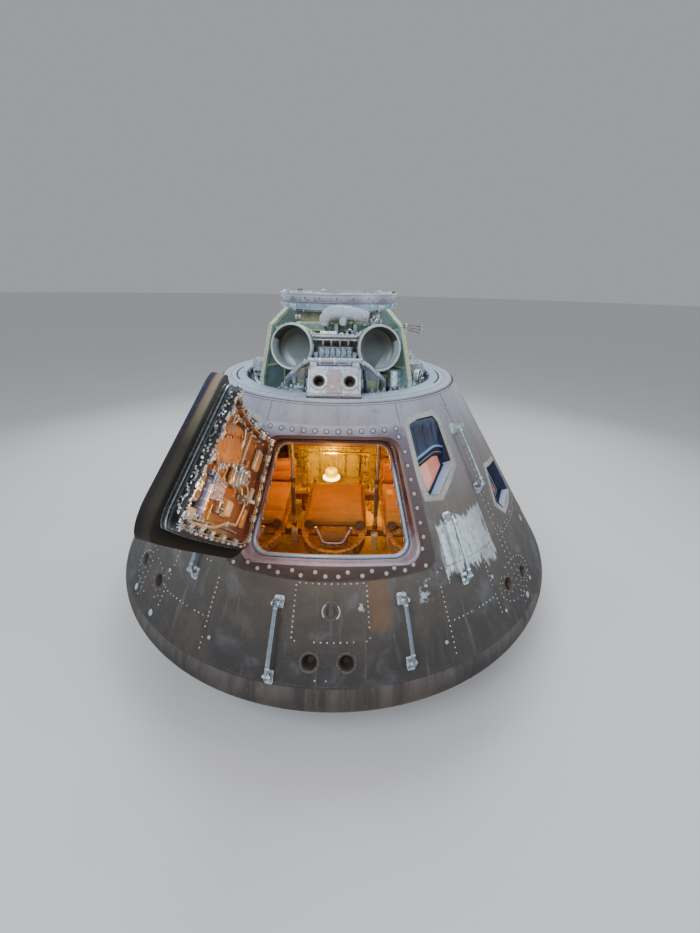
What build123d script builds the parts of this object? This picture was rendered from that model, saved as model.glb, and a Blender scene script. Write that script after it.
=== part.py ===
from build123d import *
from math import sin, cos, tan, radians, sqrt, atan2, degrees, pi
import os

os.makedirs("parts", exist_ok=True)

# ---------------------------------------------------------------------------
# Conical three-seat re-entry capsule, forward heat shield off, side hatch open.
# Millimetres and degrees. Origin on the axis at the lowest point of the base
# dish, +Z towards the apex, the side hatch faces -Y.
# Azimuth 0 is -Y (hatch), and grows towards +X.
# ---------------------------------------------------------------------------

# outer mould line
BASE_SPHERE_R = 4694.0       # radius of the base dish
CORNER_R = 195.6             # toroidal corner between dish and cone
MAX_R = 1956.0               # greatest radius of the capsule
CONE_HALF = 33.0             # half angle of the cone
SKIN_TOP_Z = 2114.0          # top edge of the crew compartment shell
WALL = 150.0                 # whole wall: heat shield, gap and pressure wall
DISH_T = 60.0                # aft heat shield thickness
FLOOR_Z, FLOOR_T, FLOOR_R = 600.0, 30.0, 1742.0

CA, SA, TA = cos(radians(CONE_HALF)), sin(radians(CONE_HALF)), tan(radians(CONE_HALF))
TORUS_R = MAX_R - CORNER_R
TORUS_Z = BASE_SPHERE_R - sqrt((BASE_SPHERE_R - CORNER_R) ** 2 - TORUS_R ** 2)
SEAM_R = TORUS_R + CORNER_R * CA
SEAM_Z = TORUS_Z + CORNER_R * SA
APEX_Z = SEAM_Z + SEAM_R / TA

# side hatch: outlines drawn flat on the plane that touches the cone at azimuth 0
HATCH_Z = 1600.0             # height where that plane touches
HOLE = dict(sb=-400.0, hb=610.0, st=418.0, ht=433.0, bow=15.0, rc=105.0)   # recess in the shell
FRAME = dict(sb=-342.0, hb=512.0, st=388.0, ht=368.0, bow=12.0, rc=85.0)   # clear way through the frame
FRAME_W = 42.0               # width of the sealing frame
FRAME_D0 = 100.0             # depth of the frame's outer face below the skin
HATCH_GAP = 22.0
SHIELD_T = 60.0              # hatch heat shield thickness
SHIELD_RC = 136.0            # corner radius of its outline before the gap
STRUCT_T, STRUCT_SKIN, STRUCT_RIM = 40.0, 14.0, 44.0   # inner structure: a pan with a deep rim
HINGE_AZ, HINGE_Z, HINGE_OFF = -23.4, 1600.0, 34.0
HINGE_MIX = 0.86             # 0: axis along the cone at azimuth 0, 1: along it at the hinge
HATCH_OPEN = 94.0            # how far the hatch stands open at rest

# docking tunnel and forward compartment
TUNNEL_R, TUNNEL_T = 400.0, 22.0
DECK_Z, DECK_T = 2040.0, 35.0
RING_R, RING_Z0, RING_Z1, RING_BORE = 461.0, 2628.0, 2748.0, 381.0
RING_BOLT_PCD, RING_BOLT_R, RING_BOLTS = 850.0, 7.0, 12

out = {}


def keep(name, *solids):
    """one node, one or more solids that do not touch"""
    flat = []
    for s in solids:
        if s is None:
            continue
        for q in ([s] if hasattr(s, "wrapped") else list(s)):
            flat += list(q.solids())
    out[name] = flat


def ro(z, off=0.0):
    """cone radius at height z, moved in by off along the normal"""
    return (APEX_Z - z) * TA - off / CA


def nrm(az):
    t = radians(az)
    return Vector(sin(t) * CA, -cos(t) * CA, SA)


def up(az):
    t = radians(az)
    return Vector(-sin(t) * SA, cos(t) * SA, CA)


def on(az, z, off=0.0):
    """point on the cone, moved out by off along the normal"""
    t = radians(az)
    r = ro(z)
    return Vector(r * sin(t), -r * cos(t), z) + nrm(az) * off


def tangent(az, z, off=0.0):
    """plane that touches the cone: x to the right, y up the slope, z outward"""
    t = radians(az)
    return Plane(origin=on(az, z, off), x_dir=(cos(t), sin(t), 0), z_dir=nrm(az))


def meet(a, b):
    """common part of two shapes, as one shape"""
    r = a.intersect(b)
    r = [r] if hasattr(r, "wrapped") else list(r)
    return r[0] if len(r) == 1 else Part() + r


def rz(shape, az):
    return shape.rotate(Axis.Z, az)


def rev(points, az0=-180.0, az1=180.0):
    """turn an (r, z) outline about the axis from az0 to az1"""
    face = make_face(Plane.XZ * Polyline([(p[0], p[1]) for p in points], close=True))
    s = revolve(face, Axis.Z, az1 - az0)
    return s.rotate(Axis.Z, az0 - 90.0)


def shell(az0, az1, z0, z1, t0, t1):
    """piece of the conical wall between depths t0 and t1"""
    return rev([(ro(z0, t0), z0), (ro(z0, t1), z0), (ro(z1, t1), z1), (ro(z1, t0), z1)], az0, az1)


def trap(sb, hb, st, ht, bow, rc, inset=0.0):
    """hatch outline: bottom edge bows down, top edge bows down, corners round"""
    i = inset
    k = (hb - ht) / (st - sb)
    b, t = sb + i, st - i
    wb, wt = hb - k * i - i * 1.02, ht + k * i - i * 1.02
    c = [Line((-wb, b), (-wt, t)), ThreePointArc((-wt, t), (0, t - bow), (wt, t)),
         Line((wt, t), (wb, b)), ThreePointArc((wb, b), (0, b - bow), (-wb, b))]
    f = make_face(Curve() + c)
    return fillet(f.vertices(), max(rc - i * 0.5, 12.0))


HP = tangent(0.0, HATCH_Z)


def prism(sk, n0=-420.0, n1=160.0, plane=HP):
    p = Plane(origin=plane.origin + plane.z_dir * n0, x_dir=plane.x_dir, z_dir=plane.z_dir)
    return extrude(p * sk, n1 - n0)


def tube(points, r, bend=None):
    """round bar along straight runs joined by arcs"""
    path = FilletPolyline(*points, radius=bend) if bend else Polyline(*points)
    d = Vector(*points[1]) - Vector(*points[0])
    return sweep(Plane(origin=points[0], z_dir=d) * Circle(r), path=path)


def rod(p, q, r):
    p, q = Vector(*p), Vector(*q)
    return extrude(Plane(origin=p, z_dir=q - p) * Circle(r), (q - p).length)


def blk(x0, x1, y0, y1, z0, z1):
    return Pos((x0 + x1) / 2, (y0 + y1) / 2, (z0 + z1) / 2) * Box(x1 - x0, y1 - y0, z1 - z0)


def arc_pts(cr, cz, r, a0, a1):
    am = (a0 + a1) / 2
    return [(cr + r * cos(radians(t)), cz + r * sin(radians(t))) for t in (a0, am, a1)]


# ------------------------------------------------------------------ aft heat shield
def dish_outline(off):
    """sphere, torus corner, up to the seam; off is the depth below the surface"""
    ang = degrees(atan2(TORUS_Z - BASE_SPHERE_R, TORUS_R))
    s = arc_pts(0.0, BASE_SPHERE_R, BASE_SPHERE_R - off, -90.0, ang)
    t = arc_pts(TORUS_R, TORUS_Z, CORNER_R - off, ang, CONE_HALF)
    return s, t


so, to = dish_outline(0.0)
si, ti = dish_outline(DISH_T)
dish = make_face(Plane.XZ * (Curve() + [
    ThreePointArc(*so), ThreePointArc(*to), Line(to[2], ti[2]),
    ThreePointArc(*ti), ThreePointArc(*si), Line(si[0], so[0])]))
dish = revolve(dish, Axis.Z, 360)
keep("aft_heat_shield", dish)

# cabin floor: plate with a rim that meets the wall panels
keep("cabin_floor", rev([(0, FLOOR_Z), (1800, FLOOR_Z), (1800, SEAM_Z), (FLOOR_R, SEAM_Z),
                         (FLOOR_R, FLOOR_Z + FLOOR_T), (0, FLOOR_Z + FLOOR_T)]))

# ------------------------------------------------------------------ crew compartment wall
# name, first azimuth, last azimuth
PANELS = [("front_hatch_panel", -24.5, 24.5),
          ("right_window_panel", 24.5, 50.5), ("left_window_panel", -50.5, -24.5),
          ("right_side_panel", 50.5, 105.0), ("left_side_panel", -105.0, -50.5),
          ("back_panel", 105.0, 255.0)]

# windows: name, plane azimuth, plane height, corners (azimuth, height) of the outer recess
WINDOWS = [("rendezvous_window", 34.5, 1.78e3,
            [(28.1, 1970), (32.4, 1994), (40.3, 1993), (41.8, 1951), (41.5, 1688), (32.5, 1549), (28.7, 1562), (27.8, 1708)]),
           ("side_window", 65.0, 1.39e3,
            [(60.5, 1532), (72.3, 1486), (71.9, 1249), (59.5, 1242), (56.3, 1320)])]
PANE_D0, PANE_D1, PANE_RIM = 84.0, 100.0, 34.0

# reaction nozzles in the wall: azimuth, height, mouth radius
NOZZLES = [(-3.2, 783, 52), (3.7, 783, 52), (45.8, 880, 50), (50.0 - 3.4 + 7.2, 850, 50),
           (-43.6, 888, 50), (-49.1 - 4.2, 888, 50), (88, 860, 50), (96, 860, 50), (-88, 860, 50), (-96, 860, 50),
           (176, 783, 52), (-176, 783, 52)]


def flat_corners(plane, pts, sx=1):
    o = []
    for az, z in pts:
        v = plane.to_local_coords(on(az * sx, z))
        o.append((v.X, v.Y))
    return o


window_cut, panes = {}, {}
for wname, waz, wz, pts in WINDOWS:
    for side, sx in (("right", 1), ("left", -1)):
        pl = tangent(waz * sx, wz)
        outline = make_face(Polyline(flat_corners(pl, pts, sx), close=True))
        wide = fillet(outline.vertices(), 22.0)
        small = offset(outline, amount=-PANE_RIM, kind=Kind.INTERSECTION)
        small = fillet(small.vertices(), 14.0)
        p0 = Plane(origin=pl.origin - pl.z_dir * 330, x_dir=pl.x_dir, z_dir=pl.z_dir)
        a0, a1 = sorted(((waz - 20) * sx, (waz + 20) * sx))
        deep = shell(a0, a1, 1150, 2100, -60, PANE_D0)
        window_cut[(wname, side)] = [extrude(p0 * wide, 500).intersect(deep), extrude(p0 * small, 500)]
        ring = shell(a0, a1, 1150, 2100, PANE_D0, PANE_D1)
        panes[(wname, side)] = extrude(p0 * small, 500).intersect(ring)

hole_outer = prism(trap(**HOLE))
frame_outer = prism(trap(inset=-FRAME_W, **FRAME))
frame_inner = prism(trap(**FRAME))

nozzle_cups = []
nozzle_cut = []
for az, z, r in NOZZLES:
    p = tangent(az, z, 12.0)
    nozzle_cut.append((az, Plane(origin=p.origin - p.z_dir * 92, x_dir=p.x_dir, z_dir=p.z_dir) * extrude(Circle(r + 3), 140)))
    cup = revolve(make_face(Plane.XZ * Polyline([(r + 3, -12), (r - 4, -12), (20, -72), (0, -72), (0, -92), (r + 3, -92)], close=True)), Axis.Z, 360)
    nozzle_cups.append(Location(p) * cup)

for name, a0, a1 in PANELS:
    s = shell(a0, a1, SEAM_Z, SKIN_TOP_Z, 0.0, WALL)
    if name == "front_hatch_panel":
        s = s - hole_outer.intersect(shell(-40, 40, 1000, 2113, -80, FRAME_D0)) - frame_outer
    for (wname, side), cuts in window_cut.items():
        if name.startswith(side) and ((wname == "rendezvous_window") == ("window_panel" in name)) and ("window_panel" in name or "side_panel" in name):
            for c in cuts:
                s = s - c
    for az, cut in nozzle_cut:
        if a0 - 4 < az < a1 + 4 or a0 - 4 < az + 360 < a1 + 4:
            s = s - cut
    keep(name, s)

hatch_frame = (frame_outer - frame_inner).intersect(shell(-40, 40, 1000, 2113, FRAME_D0, WALL))
keep("hatch_frame", hatch_frame)
for wname, *_ in WINDOWS:
    keep(f"{wname}s", *[panes[(wname, side)] for side in ("right", "left")])

# ------------------------------------------------------------------ handrails on the skin
# azimuth, top height, bottom height
RAILS = [(48.85, 1893, 1480), (32.5, 1431, 1060), (-10.3, 1078, 690), (15.8, 1083, 740), (-48.85, 1893, 1480), (-32.5, 1431, 1060)]
RAIL_OFF, RAIL_R = 62.0, 11.0
rails = []
for az, zt, zb in RAILS:
    p = tangent(az, (zt + zb) / 2)
    half = (zt - zb) / CA / 2
    bar = Pos(0, 0, RAIL_OFF) * Rot(90, 0, 0) * Cylinder(RAIL_R, 2 * half - 30)
    foot_t = Pos(0, half - 20, 33) * Box(54, 60, 66) - Pos(0, half + 14, 45) * Box(24, 60, 60)
    cap_t = Pos(0, half - 34, RAIL_OFF) * Rot(0, 90, 0) * Cylinder(17, 54)
    wedge = extrude(Plane.YZ * Polygon((-half - 22, 0), (-half + 62, 0), (-half + 30, 76), (-half + 4, 76), align=None), 22, both=True)
    notch = extrude(Plane.YZ * Polygon((-half - 4, -2), (-half + 40, -2), (-half + 17, 40), align=None), 40, both=True)
    r = bar + foot_t + cap_t + (wedge - notch)
    r = r - Pos(0, 0, -300) * Box(200, 2 * half + 400, 600)
    rails.append(Location(p) * r)
keep("handrails", *rails)

# ------------------------------------------------------------------ forward compartment
deck = rev([(TUNNEL_R - TUNNEL_T, DECK_Z), (826, DECK_Z), (822, DECK_Z + DECK_T - 5), (799, SKIN_TOP_Z), (962, SKIN_TOP_Z), (957, SKIN_TOP_Z + 12),
            (780, SKIN_TOP_Z + 12), (780, DECK_Z + DECK_T), (TUNNEL_R - TUNNEL_T, DECK_Z + DECK_T)])
keep("forward_deck", deck)
tunnel = rev([(TUNNEL_R - TUNNEL_T, DECK_Z + DECK_T), (TUNNEL_R, DECK_Z + DECK_T), (TUNNEL_R, RING_Z0), (TUNNEL_R - TUNNEL_T, RING_Z0)])
keep("docking_tunnel", tunnel)
ring = rev([(RING_BORE, RING_Z0), (RING_R - 14, RING_Z0), (RING_R - 14, RING_Z0 + 14), (RING_R - 3, RING_Z0 + 14), (RING_R - 3, RING_Z0 + 62), (RING_R, RING_Z0 + 66),
            (RING_R, RING_Z1), (RING_BORE, RING_Z1)])
for i in range(RING_BOLTS):
    t = radians(15 + i * 360.0 / RING_BOLTS)
    ring = ring - Pos(RING_BOLT_PCD / 2 * cos(t), RING_BOLT_PCD / 2 * sin(t), RING_Z1 - 20) * Cylinder(RING_BOLT_R, 41)
keep("docking_ring", ring)
keep("tunnel_hatch", rev([(0, DECK_Z + 36), (300, DECK_Z + 40), (376.0, DECK_Z + 60), (376.0, DECK_Z + 85), (0, DECK_Z + 85)]) +
     Pos(0, 0, DECK_Z + 100) * Cylinder(60, 30))

# four gusset plates between tunnel and deck: outline in (r, z)
GUSSET = [(TUNNEL_R, DECK_Z + DECK_T), (776, DECK_Z + DECK_T), (772, 2180), (668, 2540), (520, 2650), (478, 2650), (466, 2600), (TUNNEL_R, 2600)]
FLANGE = [(776, DECK_Z + DECK_T), (772, 2180), (668, 2540), (520, 2650)]
gussets = []
for az in (45, 135, -135, -45):
    plate = extrude(Plane.XZ * Polygon(*GUSSET, align=None), 6, both=True)
    lip = extrude(Plane.XZ * Polygon(*(FLANGE + [(r - 12, z - 8) for r, z in reversed(FLANGE[1:])] + [(762, DECK_Z + DECK_T)]), align=None), 21, both=True)
    g = (plate + lip) - Pos(0, 0, 2350) * Cylinder(TUNNEL_R, 800)
    gussets.append(rz(g, az - 90))
keep("forward_gussets", *gussets)

# drogue mortars: mouth centre, axis (pointing out of the mouth)
MORTAR_R, MORTAR_T, MORTAR_L = 148.0, 6.0, 150.0
mortars = []
for side, sx in (("right", 1), ("left", -1)):
    c = Vector(305 * sx, -650, 2417)
    d = Vector(0.27 * sx, -0.94, 0.17).normalized()
    p = Plane(origin=c, z_dir=d)
    body = Pos(0, 0, -(MORTAR_L + 10) / 2) * Cylinder(MORTAR_R, MORTAR_L + 10) + Pos(0, 0, -12) * Cylinder(MORTAR_R + 8, 10)
    body = body + Pos(0, 0, -205) * Cylinder(80, 90)
    body = Location(p) * body
    foot = blk(250 * sx - 60, 250 * sx + 60, -590, -520, DECK_Z + DECK_T, 2400)
    pad = blk(250 * sx - 66, 250 * sx + 66, -605, -490, DECK_Z + DECK_T, DECK_Z + DECK_T + 14)
    bore = Location(p) * (Pos(0, 0, -MORTAR_L / 2 + 20) * Cylinder(MORTAR_R - MORTAR_T, MORTAR_L + 40))
    mortars.append((body + foot + pad) - bore)
keep("drogue_mortars", *mortars)

# pitch engine housing between them, front face along the cone
HOUSE = [(-622, 2126), (-889, 2126), (-885, 2142), (-778, 2312), (-640, 2320)]
house = extrude(Plane.YZ * Polygon(*HOUSE, align=None), 178, both=True)
house = chamfer(house.edges().filter_by(lambda e: abs(e.length - 138) < 12 or abs(e.length - 201) < 12), 18)
house = house + blk(-150, 150, -740, -640, DECK_Z + DECK_T, 2128)
cups = []
for x in (-103, 103):
    p = Plane(origin=(x, -834, 2224), x_dir=(1, 0, 0), z_dir=(0, -CA, SA))
    house = house - Location(p) * (Pos(0, 0, -20) * Cylinder(52, 120))
    cup = revolve(make_face(Plane.XZ * Polyline([(52, 6), (38, 6), (18, -60), (0, -60), (0, -80), (52, -80)], close=True)), Axis.Z, 360)
    cups.append(Location(p) * cup)
keep("pitch_engine_housing", house)
keep("reaction_nozzles", *nozzle_cups, *cups)

# bent handhold bar in front of the mortars
HAND = [(-352, -590, DECK_Z + DECK_T), (-346, -640, 2190), (-282, -722, 2262), (-178, -765, 2350)]
hand = tube(HAND + [(-x, y, z) for x, y, z in reversed(HAND)], 14, 38)
hand = hand + [Pos(x, -590, DECK_Z + DECK_T + 8) * Cylinder(30, 16) for x in (-352, 352)]
keep("forward_handhold", hand - Pos(0, 0, DECK_Z) * Box(2000, 2000, 2 * DECK_T))

# cross beam, tray and centre column between the mortars
beam = blk(-290, 290, -458, -432, 2500, 2560) + blk(-80, -50, -450, -380, 2505, 2555) + blk(50, 80, -450, -380, 2505, 2555)
beam = beam + blk(-10, 14, -560, -450, 2500, 2552) + blk(120, 144, -560, -450, 2500, 2552)
keep("cross_beam", beam - Pos(0, 0, 2400) * Cylinder(TUNNEL_R, 600))
tray = extrude(Plane.XY.offset(2470) * SlotOverall(306, 90), 24) - extrude(Plane.XY.offset(2480) * SlotOverall(284, 68), 24)
tray = Pos(0, -648, 0) * tray
column = blk(-100, 100, -618, -480, DECK_Z + DECK_T, 2472) + blk(-122, 122, -660, -606, 2350, 2425)
keep("equipment_column", tray + column)
# soft wrapped bundle in front of the ring, with an elbow at its left end
bundle = tube([(210, -528, 2600), (-40, -528, 2604), (-86, -528, 2536)], 44, 36)
keep("wrapped_bundle", bundle)
# small equipment on the deck: canister left, box and drum right
DT = DECK_Z + DECK_T
keep("deck_equipment",
     blk(-320, -216, -696, -628, DT, DT + 62) + Pos(-262, -662, DT + 74) * Cylinder(26, 30),
     rz(Pos(0, -700, DT + 55) * Box(72, 84, 110), 38),
     rz(Pos(0, -700, DT + 72) * (Rot(90, 0, 0) * Cylinder(58, 110) + Pos(0, 0, -40) * Box(70, 80, 64)), 58),
     rz(Pos(0, -640, DT + 70) * Box(180, 140, 140), 90),
     rz(Pos(0, -640, DT + 70) * Box(180, 140, 140), -90),
     rz(Pos(0, -650, DT + 90) * Box(260, 150, 180), 180))

# ------------------------------------------------------------------ cabin
CAV = rev([(0, SEAM_Z + 2), (ro(SEAM_Z + 2, WALL) - 1, SEAM_Z + 2), (ro(DECK_Z, WALL) - 1, DECK_Z), (0, DECK_Z)])
CAVITY = CAV + (Pos(0, 0, (FLOOR_Z + FLOOR_T + SEAM_Z + 4) / 2) * Cylinder(1738, SEAM_Z + 4 - FLOOR_Z - FLOOR_T))
FZ = FLOOR_Z + FLOOR_T


def bay(*boxes):
    s = None
    for b in boxes:
        s = blk(*b) if s is None else s + blk(*b)
    return meet(s, CAVITY)


# cabinets against the wall, their fronts and sides 60 thick or more, nothing behind them
keep("equipment_bays", bay((-620, 620, 900, 1700, FZ, 1240), (-560, 560, 800, 1500, 1240, 1700))
     - blk(-560, 560, 1090, 1800, FZ + 60, 1180) - blk(-500, 500, 990, 1600, 1300, 1640),
     bay((-1700, -1130, -650, 720, FZ, 1180), (-1400, -960, -300, 620, 1180, 1560))
     - blk(-1800, -1260, -590, 660, FZ + 60, 1120) - blk(-1500, -1070, -240, 560, 1240, 1500),
     bay((1130, 1700, -650, 720, FZ, 1180), (960, 1400, -300, 620, 1180, 1560))
     - blk(1260, 1800, -590, 660, FZ + 60, 1120) - blk(1070, 1500, -240, 560, 1240, 1500))
console = extrude(Plane.YZ * Polygon((-500, 1660), (-440, 1600), (330, 1560), (390, 1640), (330, 1790), (-380, 1850), align=None), 900, both=True)
keep("display_console", console.intersect(CAVITY))
# standing lamp: flared foot, column and a domed cap, on the floor beyond the centre couch
keep("cabin_floodlight", Pos(-98, 640, 0) * rev([(0, FZ), (104, FZ), (104, FZ + 16), (78, FZ + 56), (74, FZ + 60), (74, FZ + 216), (62, FZ + 234), (0, FZ + 234)]))

# couches: name, centre x, seat pan angle at rest (0 flat, + raised, - hanging)
COUCHES = [("left", -664.0, 82.0), ("centre", 0.0, -84.0), ("right", 664.0, 82.0)]
C_HALF, C_Y0, C_Y1, C_Z = 262.0, -850.0, -30.0, 1010.0
SEAT_L = 258.0
HZ = C_Z - 41.0              # height of the seat pan hinges
PIN_Y = 14.0
frames = blk(-930, 930, -760, -700, 930, C_Z - 22) + blk(-930, 930, -190, -130, 930, C_Z - 22)
for cname, cx, rest in COUCHES:
    pan = blk(cx - C_HALF, cx + C_HALF, C_Y0, C_Y1, C_Z - 22, C_Z)
    yoke = Pos(cx, C_Y0 - 30, 1000) * (Cylinder(236, 52) - Cylinder(206, 54) - Pos(0, 200, 0) * Box(700, 400, 60))
    ears = [blk(cx + e * 221 - 16, cx + e * 221 + 16, C_Y0 - 40, C_Y0 + 30, 974, 1000) for e in (-1, 1)]
    frames = frames + pan + yoke + ears
    frames = frames + blk(cx - 110, cx + 110, C_Y0 - 150, C_Y0 + 4, C_Z - 22, C_Z)
    for e in (-1, 1):
        lug = blk(cx + e * 215 - 12, cx + e * 215 + 12, C_Y1 - 40, PIN_Y, HZ - 12, HZ + 12) + Pos(cx + e * 215, PIN_Y, HZ) * Rot(0, 90, 0) * Cylinder(14, 24)
        lug = lug + blk(cx + e * 215 - 12, cx + e * 215 + 12, C_Y1 - 40, C_Y1 - 4, HZ, C_Z - 20)
        frames = frames + (lug - Pos(cx + e * 215, PIN_Y, HZ) * Rot(0, 90, 0) * Cylinder(9.5, 30))
for x in (-900, 900):
    frames = frames + blk(x - 30, x + 30, -190, -130, FZ, 932)
frames = frames + [blk(x - 28, x + 28, -760, -700, FZ, 932) for x in (-900, 900)]
keep("couch_frame", frames)
pads, rests = [], []
for cname, cx, rest in COUCHES:
    pad = Pos(cx, (C_Y0 + C_Y1) / 2 + 20, C_Z + 36) * Box(2 * C_HALF - 30, C_Y1 - C_Y0 - 120, 72)
    pads.append(fillet(pad.edges(), 26))
    hr = Pos(cx, C_Y0 - 66, C_Z + 42) * Box(240, 156, 84)
    rests.append(fillet(hr.edges(), 30))
keep("couch_pads", *pads)
keep("headrests", *rests)
# seat pans hinge under the rear edge of each couch pan
for cname, cx, rest in COUCHES:
    hinge = Axis((cx, PIN_Y, HZ), (1, 0, 0))
    pan = blk(cx - C_HALF + 14, cx + C_HALF - 14, 40, 40 + SEAT_L, HZ - 9, HZ + 11)
    pan = pan + [blk(cx + e * 180 - 14, cx + e * 180 + 14, PIN_Y, 44, HZ - 9, HZ + 9) for e in (-1, 1)]
    pan = pan + Pos(cx, PIN_Y, HZ) * Rot(0, 90, 0) * Cylinder(9, 450)
    cush = Pos(cx, 40 + SEAT_L / 2 + 12, HZ + 36) * Box(2 * C_HALF - 60, SEAT_L - 34, 50)
    keep(f"{cname}_seat_pan", pan.rotate(hinge, rest))
    keep(f"{cname}_seat_pad", fillet(cush.edges(), 18).rotate(hinge, rest))

# shock struts that carry the couch frame from the forward bulkhead
STRUT_X = 333.0
struts = [meet(rod((x, -735, 900), (x, -640, 2100), 15), blk(-600, 600, -900, 0, C_Z - 22, DECK_Z)) for x in (-STRUT_X, STRUT_X)]
keep("couch_struts", *struts)

# ------------------------------------------------------------------ side hatch (built shut, then swung open)
LO, LN = HP.origin, HP.z_dir
WIN_S = 212.0                # centre of the round window, up the slope
shield = meet(prism(trap(inset=HATCH_GAP, **{**HOLE, "rc": SHIELD_RC})), shell(-40, 40, 1000, 2150, 0.0, SHIELD_T))
body = meet(prism(trap(inset=24.0, **FRAME)), shell(-40, 40, 1000, 2150, SHIELD_T, SHIELD_T + STRUCT_T))
# the space between the heat shield and the pan's inner plate, with a collar left round the window
well = meet(prism(trap(inset=24.0 + STRUCT_RIM, **FRAME)), shell(-40, 40, 1000, 2150, SHIELD_T - 5, SHIELD_T + STRUCT_T - STRUCT_SKIN))
collar = extrude(Plane(origin=HP.origin + HP.y_dir * WIN_S - HP.z_dir * 420, x_dir=HP.x_dir, z_dir=HP.z_dir) * Circle(128), 700)
body = body - (well - collar)
# raised rim and cross ribs of the inner structure, left open between
rimo = prism(trap(inset=24.0, **FRAME)) - prism(trap(inset=62.0, **FRAME))
rim = meet(rimo, shell(-40, 40, 1000, 2150, SHIELD_T + STRUCT_T, SHIELD_T + STRUCT_T + 30))
wplane = Plane(origin=HP.origin + HP.y_dir * WIN_S - HP.z_dir * 420, x_dir=HP.x_dir, z_dir=HP.z_dir)
wcut = extrude(wplane * Circle(106), 700)
wcut2 = extrude(wplane * Circle(93), 700)
shield = shield - wcut
body = (body + rim) - wcut2
pane = meet(wcut, shell(-40, 40, 1000, 2150, SHIELD_T - 16, SHIELD_T))


def inner(x, s, w, h, d0, d1):
    """block on the inner face of the hatch: centre (x, s), size, depth from d0 to d1 below the skin there"""
    pl = Plane(origin=HP.origin + HP.x_dir * x + HP.y_dir * s, x_dir=HP.x_dir, z_dir=HP.z_dir)
    v = pl.origin
    # depth of the cone below the flat plane at (x, s)
    rr = ro(v.Z)
    sag = sag_at(x, s)
    return Location(pl) * (Pos(0, 0, -sag - (d0 + d1) / 2) * Box(w, h, d1 - d0))


def sag_at(x, s):
    """distance from the flat plane down its normal to the cone"""
    o = HP.origin + HP.x_dir * x + HP.y_dir * s
    lo, hi = 0.0, 400.0
    for _ in range(40):
        m = (lo + hi) / 2
        q = o - HP.z_dir * m
        if sqrt(q.X ** 2 + q.Y ** 2) > ro(q.Z):
            lo = m
        else:
            hi = m
    return lo


def boss(x, s, r, d0, d1):
    pl = Plane(origin=HP.origin + HP.x_dir * x + HP.y_dir * s, x_dir=HP.x_dir, z_dir=HP.z_dir)
    return Location(pl) * (Pos(0, 0, -sag_at(x, s) - (d0 + d1) / 2) * Cylinder(r, d1 - d0))


B1 = SHIELD_T + STRUCT_T
B0 = B1 - 8.0
gear = boss(-120, 40, 72, B0, B1 + 62) + boss(-120, 40, 44, B1 + 60, B1 + 84) + inner(-120, 40, 180, 130, B0, B1 + 20)
gear = gear + inner(-75, -140, 150, 84, B0, B1 + 44)
handle = boss(-236, -50, 22, B0, B1 + 54) + inner(-246, -50, 150, 26, B1 + 48, B1 + 70)
cyl = inner(225, -140, 80, 230, B0, B1 + 56) + inner(225, -60, 56, 60, B1 + 50, B1 + 76)
gear = gear - body
handle = handle - body - gear
cyl = cyl - body
# latches round the rim: x, s
LATCHES = []
for s in (-250, -130, -10, 110, 230, 330):
    k = (FRAME["hb"] - FRAME["ht"]) / (FRAME["st"] - FRAME["sb"])
    w = FRAME["hb"] - k * (s - FRAME["sb"]) - 24.0
    LATCHES += [(w - 36, s), (-(w - 36), s)]
for x in (-300, -150, 0, 150, 300):
    LATCHES.append((x, FRAME["sb"] + 52))
for x in (-200, -70, 70, 200):
    LATCHES.append((x, FRAME["st"] - 66))
latches = [inner(x, s, 44, 40, B1 + 22, B1 + 56) - body for x, s in LATCHES]

# hinge: two knuckles on the axis
h0 = on(HINGE_AZ, HINGE_Z, HINGE_OFF)
e1, e2 = up(0.0), up(HINGE_AZ)
hdir = (e1 * (1 - HINGE_MIX) + e2 * HINGE_MIX).normalized()
hx = Vector(cos(radians(HINGE_AZ)), sin(radians(HINGE_AZ)), 0)
hinge_axis = Axis((h0.X, h0.Y, h0.Z), (hdir.X, hdir.Y, hdir.Z))
brackets, arms = [], []
for s in (-210.0, 215.0):
    o = h0 + hdir * s
    kp = Plane(origin=o, x_dir=hx - hdir * hx.dot(hdir), z_dir=hdir)
    K = Location(kp)
    pin = K * Cylinder(11, 168)
    knuckle = K * Cylinder(24, 56)
    # leaf to the left, down onto the skin
    leaf = K * (Pos(-62, 0, 0) * Box(124, 26, 54))
    foot = K * (Pos(-92, 20, 0) * Box(76, 70, 78))
    brk = (pin + knuckle + leaf + foot) - shell(-60, 0, 1000, 2150, 0.0, 200)
    brackets.append(brk)
    for e in (-1, 1):
        kn = K * (Pos(0, 0, e * 56) * (Cylinder(24, 50) - Cylinder(11.5, 52)))
        arm = K * (Pos(90, 0, e * 56) * (Box(160, 22, 50) - Pos(-90, 0, 0) * Cylinder(11.5, 60)))
        arms.append((kn + arm) if e == -1 else (kn + arm))
    # plate that joins the two arms on the outer face of the hatch
    plate = K * (Pos(148, 12, 0) * Box(120, 84, 162))
    a = arms.pop() + arms.pop() + plate
    arms.append(a - shell(-60, 20, 1000, 2150, 0.0, 300) - K * Cylinder(11.5, 400))
hinge_brackets = brackets
hatch = {"hatch_heat_shield": [shield], "hatch_structure": [body], "hatch_window": [pane],
         "hatch_gearbox": [gear], "hatch_handle": [handle], "hatch_counterbalance": [cyl],
         "hatch_latches": latches, "hatch_hinge_arms": arms}
keep("hinge_brackets", *hinge_brackets)
for name, sol in hatch.items():
    whole = [q for s in sol for q in (s.solids() if hasattr(s, "solids") else s)]
    keep(name, *[q.rotate(hinge_axis, -HATCH_OPEN) for q in whole])

print("hinge", [round(v, 2) for v in (h0.X, h0.Y, h0.Z)], [round(v, 5) for v in (hdir.X, hdir.Y, hdir.Z)])

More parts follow.
